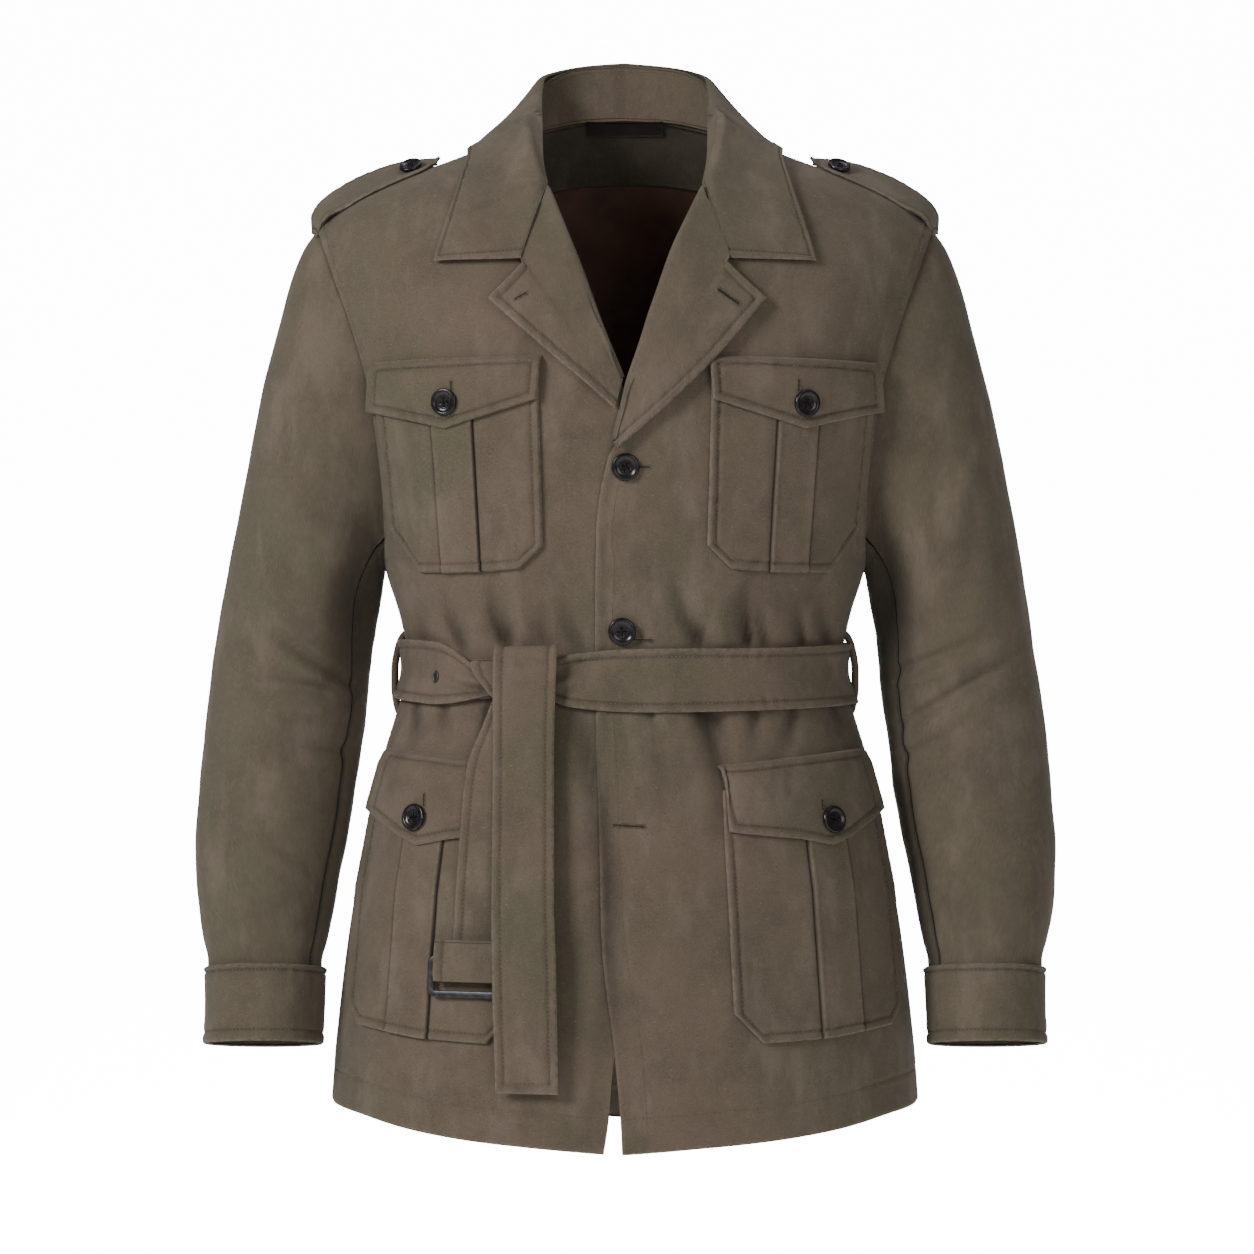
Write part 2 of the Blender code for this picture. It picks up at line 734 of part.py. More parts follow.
sleeve_outer = column_curve(SLEEVE_OUTER_ROWS, 1)
sleeve_inner = column_curve(SLEEVE_INNER_ROWS, 1)
sleeve_forward = column_curve(SLEEVE_DEPTH_ROWS, 1)
sleeve_half_depth = column_curve(SLEEVE_DEPTH_ROWS, 2)
sleeve_tilt = column_curve(SLEEVE_DEPTH_ROWS, 3)


def armhole_point(side, turn):
    """The armhole seam: turn 0 at the shoulder, 180 under the arm, the front between them."""
    turn = turn % 360.0
    face = "front" if turn <= 180.0 else "back"
    share = (1.0 - math.cos(math.radians(turn))) / 2.0
    height = mix(shoulder_height(SHOULDER_TIP), ARMHOLE_BOTTOM, share)
    distance = min(armhole[face](height), half_width(height))
    return body_point(face, side, turn_at(distance, height), height, folds=False)


def sleeve_oval(side, along, turn, grow=0.0):
    sign = SIDE_SIGN[side]
    outer_height = mix(shoulder_height(SHOULDER_TIP), SLEEVE_END, along)
    inner_height = mix(ARMHOLE_BOTTOM, SLEEVE_END, along**SLEEVE_LEAN)
    outer = Vector((sign * sleeve_outer(outer_height), 0.0, outer_height))
    inner = Vector((sign * sleeve_inner(inner_height), 0.0, inner_height))
    middle = (outer + inner) / 2.0
    middle.y = sleeve_forward(middle.z)
    half = (outer - inner) / 2.0
    tilt = math.radians(sleeve_tilt(middle.z))
    forward = Vector((0.0, -math.cos(tilt), math.sin(tilt)))
    angle = math.radians(turn)
    half_depth = sleeve_half_depth(middle.z) + grow
    half = half * (1.0 + grow / half.length)
    return middle + half * math.cos(angle) + forward * (half_depth * math.sin(angle))


def sleeve_fold(along, turn):
    total = 0.0
    for fold_along, fold_turn, half_along, half_turn, rise in ELBOW_FOLDS:
        apart = (turn - fold_turn + 180.0) % 360.0 - 180.0
        total += rise * math.exp(-(((along - fold_along) / half_along) ** 2) - (apart / half_turn) ** 2)
    return total


def sleeve_point(side, along, turn):
    grow = sleeve_fold(along, turn)
    point = sleeve_oval(side, along, turn, grow)
    keep = 1.0 - ease(along / ARMHOLE_BLEND)
    if keep > 0.0:
        point += (armhole_point(side, turn) - sleeve_oval(side, 0.0, turn)) * keep
    point.x += SIDE_SIGN[side] * ARMHOLE_GAP * keep
    return point


def sleeve_grid(side, first_turn, last_turn, columns):
    grid = []
    for along in SLEEVE_RINGS:
        turns = [mix(first_turn, last_turn, column / columns) for column in range(columns + 1)]
        grid.append([sleeve_point(side, along, turn) for turn in turns])
    return grid


cuff_middle = column_curve(CUFF_ROWS, 1)
cuff_half_width = column_curve(CUFF_ROWS, 2)
cuff_half_depth = column_curve(CUFF_ROWS, 3)


def cuff_point(side, height, turn):
    tilt = math.radians(CUFF_TILT)
    angle = math.radians(turn)
    return Vector(
        (
            SIDE_SIGN[side] * (cuff_middle(height) + cuff_half_width(height) * math.cos(angle)),
            sleeve_forward(height) - cuff_half_depth(height) * math.cos(tilt) * math.sin(angle),
            height + cuff_half_depth(height) * math.sin(tilt) * math.sin(angle),
        )
    )


def cuff_grid(side):
    heights = (-0.6315, -0.6600, -0.6880)
    turns = [i * 360.0 / 26 for i in range(26)]
    return [[cuff_point(side, height, turn) for turn in turns] for height in heights]


def seam_place(side, face, x, height, off):
    """A table row's place on the body, or above the shoulder ridge."""
    if face == "ridge":
        return Vector((SIDE_SIGN[side] * x, 0.0, shoulder_height(x) + off))
    return on_body(face, side, x, height, off, folds=False)


def collar_curves(side):
    sign = SIDE_SIGN[side]
    neck_keys = [row[0] for row in NECK_ROWS]
    neck = point_curve(neck_keys, [seam_place(side, *row[1:], 0.0) for row in NECK_ROWS])
    roll_keys = [row[0] for row in ROLL_ROWS]
    roll = point_curve(roll_keys, [Vector((sign * row[1], row[2], row[3])) for row in ROLL_ROWS])
    edge_keys = [row[0] for row in LEAF_EDGE_ROWS]
    edge = point_curve(
        edge_keys, [seam_place(side, *row[1:], LEAF_EDGE_OFF) for row in LEAF_EDGE_ROWS]
    )
    return neck, roll, edge


def outward_of(point):
    flat = Vector((point.x, point.y + 0.010, 0.0))
    return flat.normalized()


def stand_point(side, along, share):
    neck, roll, edge = collar_curves(side)
    bottom = neck(along)
    top = roll(along)
    rise = (top - bottom).normalized() if along < 0.999 else Vector((0.0, 0.0, 1.0))
    bottom = bottom + rise * 0.0009 + outward_of(bottom) * -0.0003
    top = top - rise * mix(*STAND_DROP, ease((along - 0.24) / 0.36))
    bow = outward_of(top) * (0.0012 * math.sin(math.pi * share) * (1.0 - along))
    return bottom.lerp(top, share) + bow


def push_off(side, point, off):
    """The point, moved out along the body's slope where it is nearer than a distance."""
    for _ in range(3):
        face = "front" if point.y < 0.0 else "back"
        distance = abs(point.x)
        height = min(point.z, shoulder_height(distance) - 0.0004)
        foot = on_body(face, side, distance, height, 0.0, folds=False)
        normal = (on_body(face, side, distance, height, 0.01, folds=False) - foot) / 0.01
        depth = (point - foot).dot(normal)
        if depth >= off:
            break
        point = point + normal * (off - depth)
    return point


def leaf_point(side, along, share):
    """The leaf leaves the roll, goes over it and lies on the body."""
    neck, roll, edge = collar_curves(side)
    sign = SIDE_SIGN[side]
    outer = edge(along)
    if along <= 1.0:
        inner = roll(along)
        outward = outward_of(inner)
        lift = Vector((0.0, 0.0, 0.012)) * (1.0 - 0.6 * along)
        first = inner + outward * 0.0080 + lift
    else:
        down = (along - 1.0) / (LEAF_END - 1.0)
        x = mix(GORGE[0], NOTCH[0], down)
        height = mix(GORGE[1], NOTCH[1], down)
        flat = on_body("front", side, x, height, LEAF_OFF, folds=False)
        inner = roll(1.0).lerp(flat, ease(down * 2.5))
        outward = outward_of(inner)
        first = inner.lerp(outer, 0.3)
    second = outer.lerp(inner, 0.35) + outward * 0.006
    rest = 1.0 - share
    point = (
        inner * rest**3
        + first * (3.0 * rest**2 * share)
        + second * (3.0 * rest * share**2)
        + outer * share**3
    )
    off = mix(LEAF_OFF, LEAF_EDGE_OFF, share) * ease(share * 6.0 + (0.4 if along > 1.0 else 0.0))
    if share > 0.0:
        point = push_off(side, point, off)
    point.x = sign * abs(point.x)
    return point


def collar_grid(point_at, alongs, shares):
    """Both halves as one sheet, from the wearer's right round the back to the left."""
    grid = []
    for along in reversed(alongs[1:]):
        grid.append([point_at("right", along, share) for share in shares])
    for along in alongs:
        grid.append([point_at("left", along, share) for share in shares])
    return grid


def lapel_grid(side):
    outer_line = column_curve(LAPEL_ROWS[side], 1)
    tip_height = LAPEL_ROWS[side][0][0]
    low_outer = LAPEL_ROWS[side][-1][0]
    low_inner = LAPEL_END[side]
    tip = (outer_line(tip_height), tip_height)
    rows = 9
    shares = (0.14, 0.36, LAPEL_NOTCH_AT, 0.80, 1.00)
    lapel_off = column_curve(LAPEL_OFF_ROWS, 1)
    grid = []
    for row in range(rows + 1):
        down = row / rows
        inner_height = mix(GORGE[1] - LAPEL_SEAM_DROP, low_inner, down)
        outer_height = mix(tip_height, low_outer, down)
        inner_distance = front_edge[side](inner_height)
        outer_distance = outer_line(outer_height)
        line = []
        for shift, off in LAPEL_ROLL:
            distance = inner_distance + shift * ease(0.35 + 2.0 * down)
            line.append(on_body("front", side, distance, inner_height, off + overlap_lift(side, distance)))
        for share in shares:
            distance = mix(inner_distance, outer_distance, share)
            height = mix(inner_height, outer_height, share)
            if share <= LAPEL_NOTCH_AT:
                top_share = share / LAPEL_NOTCH_AT
                top_x, top_z = mix(GORGE[0], NOTCH[0], top_share), mix(GORGE[1], NOTCH[1], top_share)
            else:
                top_share = (share - LAPEL_NOTCH_AT) / (1.0 - LAPEL_NOTCH_AT)
                top_x, top_z = mix(NOTCH[0], tip[0], top_share), mix(NOTCH[1], tip[1], top_share)
            bend = (1.0 - down) ** 2
            distance += bend * (top_x - mix(GORGE[0], tip[0], share))
            height += bend * (top_z - mix(GORGE[1], tip[1], share))
            distance -= LAPEL_SEAM_SHIFT * (1.0 - down)
            height -= 0.5 * LAPEL_SEAM_DROP * (1.0 - down)
            off = lapel_off(share) + overlap_lift(side, distance)
            line.append(on_body("front", side, distance, height, off))
        grid.append(line)
    return grid


def patch_grid(patch, side):
    """A pocket or flap on the front, from its outline; a box pleat stands up between two lines."""
    corners = {share for share, _ in patch["bottom"]} | {share for share, _ in patch["top"]}
    shares = sorted(corners | {i / 7.0 for i in range(8)})
    if patch["pleat"]:
        start, end = patch["pleat"]
        step = 0.008
        shares = [s for s in shares if s in corners or min(abs(s - start), abs(s - end)) > 0.05]
        shares += [start - step, start + step, end - step, end + step]
    shares = sorted(set(shares))
    merged = [shares[0]]
    for share in shares[1:]:
        if share - merged[-1] > 0.012:
            merged.append(share)
    low_off, mid_off, far_off = patch["off"]
    downs = (0.0, 0.14, 0.34, 0.57, 0.79, 1.0)
    grid = []
    for down in downs:
        line = []
        for share in merged:
            top = broken_line(patch["top"], share)
            bottom = broken_line(patch["bottom"], share)
            height = mix(top, bottom, down)
            first = patch["top"][0][1]
            last = min(z for _, z in patch["bottom"])
            edge_share = (height - first) / (last - first)
            inner = mix(*patch["inner"], edge_share)
            outer = min(mix(*patch["outer"], edge_share), PATCH_REACH * half_width(height))
            turn = mix(turn_at(inner, height), turn_at(outer, height), share)
            distance = distance_at(turn, height)
            off = mix(low_off, mid_off, ease(down / 0.28))
            off = mix(off, far_off, down)
            if patch["pleat"] and patch["pleat"][0] < share < patch["pleat"][1]:
                off += patch["pleat_rise"]
            if patch["seat"] and (down == 1.0 or share in (merged[0], merged[-1])):
                off = patch["seat"]
            line.append(on_body("front", side, distance, height, off + patch["wall"]))
        grid.append(line)
    return grid


def around(turn, height, off):
    """A point over the body at a turn in degrees: 0 at the front middle, 90 at the wearer's left."""
    turn = turn % 360.0
    quarter = int(turn // 90.0)
    face = ("front", "back", "back", "front")[quarter]
    side = ("left", "left", "right", "right")[quarter]
    share = (turn % 90.0) / 90.0
    if quarter in (1, 3):
        share = 1.0 - share
    return on_body(face, side, distance_at(share, height), height, off, folds=False)


def belt_grid():
    top = column_curve(BELT_ROWS, 1)
    bottom = column_curve(BELT_ROWS, 2)
    first, last = BELT_ROWS[0][0], BELT_ROWS[-1][0]
    columns = 60
    grid = []
    for down in (0.0, 0.5, 1.0):
        line = []
        for column in range(columns + 1):
            turn = mix(first, last, column / columns)
            height = mix(top(turn), bottom(turn), down)
            near_front = 1.0 - ease((abs((turn + 180.0) % 360.0 - 180.0) - 30.0) / 30.0)
            line.append(around(turn, height, mix(BELT_SIDE_OFF, BELT_OFF, near_front)))
        grid.append(line)
    return grid


def strip_grid(rows, columns=3):
    """A strap that hangs over the right front, from its table."""
    grid = []
    for height, off, inner, outer in rows:
        line = []
        for column in range(columns + 1):
            x = mix(inner, outer, column / columns)
            line.append(on_body("front", "right", -x, height, off, folds=False))
        grid.append(line)
    return grid


def loop_grid(side):
    turn = LOOP_TURN[side]
    spread = math.degrees(LOOP_HALF_WIDTH / 0.170)
    grid = []
    for down, off in LOOP_ROWS:
        height = mix(LOOP_TOP, LOOP_BOTTOM, down)
        grid.append([around(turn + shift, height, off) for shift in (-spread, 0.0, spread)])
    return grid


def shoulder_surface(side, x, y):
    """Height of the body at a place near the shoulder ridge."""
    face = "front" if y < 0.0 else "back"
    low, high = ARCH_START, shoulder_height(x)
    for _ in range(24):
        middle = (low + high) / 2.0
        if abs(body_point(face, side, turn_at(x, middle), middle, folds=False).y) > abs(y):
            low = middle
        else:
            high = middle
    return low


def rest_height(side, x, y, off):
    """Height at which a strap clears the shoulder by a distance."""
    step = 0.001
    slope = (shoulder_surface(side, x, y + step) - shoulder_surface(side, x, y - step)) / (2.0 * step)
    return shoulder_surface(side, x, y) + off * math.sqrt(1.0 + slope * slope)


def epaulette_grid(side):
    sign = SIDE_SIGN[side]
    grid = []
    for along, x, front_y, front_height, back_y, back_height in EPAULETTE_ROWS:
        front = Vector((sign * x, front_y, front_height))
        back = Vector((sign * x, back_y, back_height))
        line = []
        for column in range(5):
            share = column / 4.0
            bow = 0.0022 * math.sin(math.pi * share)
            point = front.lerp(back, share) + Vector((0.0, 0.0, bow))
            point.z = max(point.z, rest_height(side, x, point.y, EPAULETTE_WALL + EPAULETTE_CLEAR))
            line.append(point)
        grid.append(line)
    return grid


def lining_grid(rows, columns, off):
    """A sheet inside both halves of the back, from the back panels' own points."""
    grid = []
    for row in rows:
        line = []
        for side, order in (("right", range(columns, 0, -1)), ("left", range(columns + 1))):
            places = back_places(side)[row]
            for column in order:
                distance, height = places[column]
                line.append(on_body("back", side, distance, height - NECK_EDGE_CLEAR, off, folds=False))
        grid.append(line)
    return grid


def label_grid():
    grid = []
    for down in (0.0, 1.0):
        height = BACK_NECK_HEIGHT - LABEL_DROP - down * LABEL_HEIGHT
        line = []
        for share in (-1.0, -0.6, -0.2, 0.2, 0.6, 1.0):
            side = "left" if share > 0.0 else "right"
            line.append(on_body("back", side, abs(share) * LABEL_WIDTH / 2.0, height, LABEL_OFF, folds=False))
        grid.append(line)
    return grid


def clear_scene():
    for thing in list(bpy.data.objects):
        bpy.data.objects.remove(thing, do_unlink=True)


def make_collection(name):
    collection = bpy.data.collections.new(name)
    bpy.context.scene.collection.children.link(collection)
    return collection


def make_material(name):
    colour, roughness, metallic = MATERIALS[name]
    material = bpy.data.materials.new(name)
    material.use_nodes = True
    shader = material.node_tree.nodes["Principled BSDF"]
    shader.inputs["Base Color"].default_value = (*colour, 1.0)
    shader.inputs["Roughness"].default_value = roughness
    shader.inputs["Metallic"].default_value = metallic
    return material


def add_cloth(name, grid, wall, material, reverse=False, ring=False):
    """A sheet of cloth: the outer surface from its rows of points, and a wall behind it."""
    columns = len(grid[0])
    points = [tuple(point) for row in grid for point in row]
    faces = []
    across = columns if ring else columns - 1
    for row in range(len(grid) - 1):
        for column in range(across):
            a = row * columns + column
            b = row * columns + (column + 1) % columns
            face = (a, b, b + columns, a + columns)
            faces.append(face[::-1] if reverse else face)
    mesh = bpy.data.meshes.new(name)
    mesh.from_pydata(points, [], faces)
    mesh.shade_smooth()
    cloth = bpy.data.objects.new(name, mesh)
    parts.objects.link(cloth)
    mesh.materials.append(materials[material])
    solid = cloth.modifiers.new("wall", "SOLIDIFY")
    solid.thickness = wall
    solid.offset = -1.0
    return cloth


def add_button(name, place, normal, diameter):
    """A turned button with a raised rim and a dished middle."""
    radius = diameter / 2.0
    half = BUTTON_THICK / 2.0
    profile = (
        (0.0, 0.30 * half),
        (0.60 * radius, 0.30 * half),
        (0.76 * radius, half),
        (0.94 * radius, half),
        (radius, 0.2 * half),
        (0.86 * radius, -half),
        (0.0, -half),
    )
    mesh = bpy.data.meshes.new(name)
    mesh.from_pydata([(x, 0.0, z) for x, z in profile], [(i, i + 1) for i in range(len(profile) - 1)], [])
    button = bpy.data.objects.new(name, mesh)
    parts.objects.link(button)
    mesh.materials.append(materials["horn"])
    turn = button.modifiers.new("turn", "SCREW")
    turn.steps = 12
    turn.render_steps = 12
    turn.use_merge_vertices = True
    turn.merge_threshold = 0.00001
    turn.use_smooth_shade = True
    button.rotation_mode = "QUATERNION"
    button.rotation_quaternion = normal.to_track_quat("Z", "Y")
    button.location = place + normal * half
    return button


def surface_normal(face, side, distance, height):
    here = on_body(face, side, distance, height, 0.0, folds=False)
    out = on_body(face, side, distance, height, 0.01, folds=False)
    return (out - here).normalized()


def add_buckle():
    """A flat frame with a bar across its middle."""
    width, tall = BUCKLE_SIZE
    outline = bpy.data.curves.new("belt_buckle", "CURVE")
    outline.dimensions = "2D"
    outline.fill_mode = "BOTH"
    outline.extrude = BUCKLE_THICK / 2.0
    outline.resolution_u = 1

    def corner_loop(half_x, low, high, radius):
        centres = (
            (half_x - radius, high - radius, 0.0),
            (-half_x + radius, high - radius, 90.0),
            (-half_x + radius, low + radius, 180.0),
            (half_x - radius, low + radius, 270.0),
        )
        points = []
        for x, y, start in centres:
            for step in range(5):
                angle = math.radians(start + step * 22.5)
                points.append((x + radius * math.cos(angle), y + radius * math.sin(angle)))
        spline = outline.splines.new("POLY")
        spline.points.add(len(points) - 1)
        for point, (x, y) in zip(spline.points, points):
            point.co = (x, y, 0.0, 1.0)
        spline.use_cyclic_u = True

    half_x = width / 2.0
    half_y = tall / 2.0
    bar = BUCKLE_BAR
    corner_loop(half_x, -half_y, half_y, 0.0050)
    corner_loop(half_x - bar, bar / 2.0, half_y - bar, 0.0015)
    corner_loop(half_x - bar, -half_y + bar, -bar / 2.0, 0.0015)
    outline.materials.append(materials["buckle"])
    buckle = bpy.data.objects.new("belt_buckle", outline)
    parts.objects.link(buckle)
    x, height = BUCKLE_MIDDLE
    normal = surface_normal("front", "right", -x, height)
    across = Vector((0.0, 0.0, 1.0)).cross(normal).normalized()
    up = normal.cross(across)
    buckle.rotation_mode = "QUATERNION"
    turn = Matrix((across, up, normal)).transposed()
    buckle.rotation_quaternion = turn.to_quaternion()
    buckle.location = on_body("front", "right", -x, height, BUCKLE_OFF, folds=False)
    return buckle


def add_body():
    for side in ("left", "right"):
        add_cloth(f"front_{side}", front_grid(side), WALL, "cotton", reverse=side == "right")
        add_cloth(f"back_{side}", back_grid(side), WALL, "cotton", reverse=side == "left")


def add_sleeves():
    for side in ("left", "right"):
        gap = SEAM_TURN_GAP
        top = sleeve_grid(side, BACK_SEAM_TURN + gap, FRONT_SEAM_TURN - gap, 13)
        under = sleeve_grid(side, FRONT_SEAM_TURN + gap, 360.0 + BACK_SEAM_TURN - gap, 8)
        add_cloth(f"sleeve_{side}_top", top, WALL, "cotton", reverse=side == "right")
        add_cloth(f"sleeve_{side}_under", under, WALL, "cotton", reverse=side == "right")
        add_cloth(f"cuff_{side}", cuff_grid(side), CUFF_WALL, "cotton", reverse=side == "right", ring=True)


def add_collar():
    stand_alongs = (0.0, 0.12, 0.24, 0.36, 0.47, 0.58, 0.69, 0.80, 0.90)
    add_cloth("collar_stand", collar_grid(stand_point, stand_alongs, (0.0, 0.5, 1.0)), WALL, "cotton")
    leaf_alongs = stand_alongs + (1.0, 1.08, 1.18, LEAF_END)
    shares = (0.0, 0.09, 0.20, 0.36, 0.56, 0.78, 1.0)
    leaf = collar_grid(leaf_point, leaf_alongs, shares)
    add_cloth("collar_leaf", leaf, DOUBLE_WALL, "cotton", reverse=True)
    for side in ("left", "right"):
        add_cloth(f"lapel_{side}", lapel_grid(side), DOUBLE_WALL, "cotton", reverse=side == "left")


def add_patches():
    for side in ("left", "right"):
        for name, patch in PATCHES.items():
            grid = patch_grid(patch, side)
            add_cloth(f"{name}_{side}", grid, patch["wall"], "cotton", reverse=side == "left")


def add_straps():
    for side in ("left", "right"):
        grid = epaulette_grid(side)
        add_cloth(f"epaulette_{side}", grid, EPAULETTE_WALL, "cotton", reverse=side == "left")
        add_cloth(f"belt_loop_{side}", loop_grid(side), LOOP_WALL, "cotton", reverse=True)
    add_cloth("belt_band", belt_grid(), BELT_WALL, "cotton", reverse=True)
    add_cloth("belt_knot", strip_grid(KNOT_ROWS), KNOT_WALL, "cotton")
    add_cloth("belt_tail", strip_grid(TAIL_ROWS), TAIL_WALL, "cotton")
    add_cloth("belt_buckle_tail", strip_grid(BUCKLE_TAIL_ROWS), TAIL_WALL, "cotton")
    add_cloth("belt_keeper", strip_grid(KEEPER_ROWS), TAIL_WALL, "cotton")
    add_buckle()


def add_buttons():
    for name, x, height, off in BUTTONS:
        side = "left" if x >= 0.0 else "right"
        normal = surface_normal("front", side, abs(x), height)
        place = on_body("front", side, abs(x), height, off, folds=False)
        add_button(name, place, normal, BUTTON_DIAMETER)
    for side in ("left", "right"):
        grid = epaulette_grid(side)
        middle = (grid[2][2] + grid[3][2]) / 2.0
        along = grid[3][2] - grid[2][2]
        across = grid[3][4] - grid[3][0]
        normal = along.cross(across).normalized()
        if normal.z < 0.0:
            normal.negate()
        place = middle + normal * EPAULETTE_BUTTON_LIFT
        add_button(f"button_epaulette_{side}", place, normal, EPAULETTE_BUTTON_DIAMETER)


def add_inside():
    facing = lining_grid(FACING_ROWS, len(NECK_COLUMNS) - 2, FACING_OFF)
    add_cloth("neck_facing", facing, LINING_WALL, "cotton")
    lining = lining_grid(LINING_ROWS, LINING_COLUMNS, FACING_OFF)
    add_cloth("back_lining", lining, LINING_WALL, "lining")
    add_cloth("neck_label", label_grid(), LABEL_WALL, "label")


clear_scene()
parts = make_collection("safari_jacket")
materials = {name: make_material(name) for name in MATERIALS}
add_body()
add_sleeves()
add_collar()
add_patches()
add_straps()
add_buttons()
add_inside()
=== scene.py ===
"""Looks of the safari jacket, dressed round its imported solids.

Metres, +Z up, the front faces -Y and the wearer's left is at +X.
Each cloth piece is a thin shell on the form that its solid has, with its creases, seams and stitching.
"""

import math

import bpy
import numpy as np
from mathutils import Matrix, Vector
from mathutils.bvhtree import BVHTree


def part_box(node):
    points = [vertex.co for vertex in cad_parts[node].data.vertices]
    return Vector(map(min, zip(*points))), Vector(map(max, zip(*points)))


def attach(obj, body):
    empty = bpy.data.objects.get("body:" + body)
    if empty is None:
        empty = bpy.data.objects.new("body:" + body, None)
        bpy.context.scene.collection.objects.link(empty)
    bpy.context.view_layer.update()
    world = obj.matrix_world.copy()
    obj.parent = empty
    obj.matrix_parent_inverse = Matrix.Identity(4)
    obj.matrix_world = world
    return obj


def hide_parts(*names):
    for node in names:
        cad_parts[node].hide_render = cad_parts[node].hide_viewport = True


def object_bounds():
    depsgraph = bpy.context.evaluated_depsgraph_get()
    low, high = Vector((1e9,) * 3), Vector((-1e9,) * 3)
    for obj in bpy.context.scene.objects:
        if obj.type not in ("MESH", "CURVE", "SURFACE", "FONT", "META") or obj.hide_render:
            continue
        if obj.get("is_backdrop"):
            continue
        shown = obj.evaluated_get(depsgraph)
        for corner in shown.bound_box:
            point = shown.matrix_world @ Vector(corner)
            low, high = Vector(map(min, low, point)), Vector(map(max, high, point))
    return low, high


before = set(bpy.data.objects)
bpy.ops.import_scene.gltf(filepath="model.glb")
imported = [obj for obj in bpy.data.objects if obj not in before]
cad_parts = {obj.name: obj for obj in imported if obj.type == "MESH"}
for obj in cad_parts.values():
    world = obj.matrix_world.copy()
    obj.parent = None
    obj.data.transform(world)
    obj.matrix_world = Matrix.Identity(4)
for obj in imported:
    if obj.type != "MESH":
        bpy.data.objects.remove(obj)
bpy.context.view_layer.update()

# Walls and gaps
WALL = 0.0015
DOUBLE_WALL = 0.0022
CUFF_WALL = 0.0020
SIDE_SEAM_GAP = 0.0007
BACK_SEAM_HALF_GAP = -0.0006

# Body outline: height, half width, depth of the front and of the back
TORSO_ROWS = (
    # height, half_width, front, back
    (-0.800, 0.2270, 0.142, 0.128),
    (-0.700, 0.2200, 0.139, 0.128),
    (-0.600, 0.2085, 0.133, 0.122),
    (-0.540, 0.1975, 0.127, 0.115),
    (-0.480, 0.1855, 0.118, 0.104),
    (-0.440, 0.1735, 0.109, 0.094),
    (-0.405, 0.1640, 0.104, 0.088),
    (-0.370, 0.1700, 0.107, 0.090),
    (-0.330, 0.1820, 0.114, 0.098),
    (-0.260, 0.1930, 0.122, 0.112),
    (-0.200, 0.2065, 0.126, 0.122),
    (-0.120, 0.2370, 0.126, 0.126),
    (-0.050, 0.2620, 0.124, 0.124),
    (0.050, 0.2850, 0.120, 0.120),
)
SQUARENESS = 2.3
ARCH_START = -0.250
# Roundness over the shoulder: beside the neck and at the shoulder tip
ARCH_POWER = {"front": (2.0, 2.6), "back": (2.6, 2.9)}

# Ridge of the shoulders: distance from the middle, height
SHOULDER_ROWS = (
    (0.000, 0.0360),
    (0.040, 0.0300),
    (0.065, 0.0140),
    (0.080, 0.0010),
    (0.114, -0.0144),
    (0.170, -0.0360),
    (0.2128, -0.0562),
    (0.2333, -0.0714),
    (0.250, -0.0900),
    (0.270, -0.1200),
)
NECK_POINT = 0.080
SHOULDER_TIP = 0.2333
BACK_NECK_HEIGHT = 0.0190
ARMHOLE_BOTTOM = -0.327

# Rows of a body panel from the foot of the armhole to the shoulder, as shares of that height
UPPER_SHARES = (0.0, 0.12, 0.235, 0.265, 0.36, 0.47, 0.58, 0.69, 0.79, 0.87, 0.915, 0.965, 1.0)

HEM_FRONT = -0.7575
HEM_SIDE = -0.7310
HEM_BACK = -0.7634

# Armhole seam: height, distance from the middle on the front and on the back
ARMHOLE_ROWS = (
    (-0.327, 0.1826, 0.1826),
    (-0.310, 0.1805, 0.1825),
    (-0.281, 0.1815, 0.1850),
    (-0.240, 0.1855, 0.1900),
    (-0.199, 0.1915, 0.1970),
    (-0.150, 0.2050, 0.2090),
    (-0.107, 0.2205, 0.2225),
    (-0.0714, 0.2333, 0.2333),
)

# Front edges: height, distance from the middle towards the piece's own side
# Above LAPEL_END the edge is the line where the lapel rolls over
EDGE_ROWS = {
    "left": (
        (-0.7575, -0.0022),
        (-0.7408, -0.0029),
        (-0.6748, -0.0087),
        (-0.6361, -0.0142),
        (-0.6027, -0.0175),
        (-0.5012, -0.0197),
        (-0.3933, -0.0220),
        (-0.3085, -0.0212),
        (-0.2823, -0.0190),
        (-0.2458, -0.0109),
        (-0.1960, 0.0007),
        (-0.1318, 0.0216),
        (-0.0486, 0.0567),
        (-0.0300, 0.0680),
        (-0.0120, 0.0762),
        (0.0010, 0.0800),
    ),
    "right": (
        (-0.7570, 0.0153),
        (-0.7299, 0.0119),
        (-0.6930, 0.0087),
        (-0.6000, -0.0100),
        (-0.5000, -0.0205),
        (-0.3000, -0.0205),
        (-0.2330, -0.0117),
        (-0.1969, -0.0007),
        (-0.1318, 0.0240),
        (-0.0486, 0.0567),
        (-0.0300, 0.0680),
        (-0.0120, 0.0762),
        (0.0010, 0.0800),
    ),
}
LAPEL_END = {"left": -0.2385, "right": -0.1925}
GORGE = (0.0567, -0.0486)
# The front's edge stays clear of the rolled lapel: how far, from which height
ROLL_ROOM = 0.0034
ROOM_START = -0.2500
ROOM_FADE = 0.010
OVERLAP_LIFT = {"left": 0.0018, "right": -0.0010}
OVERLAP_FLAT = 0.030
OVERLAP_END = 0.060

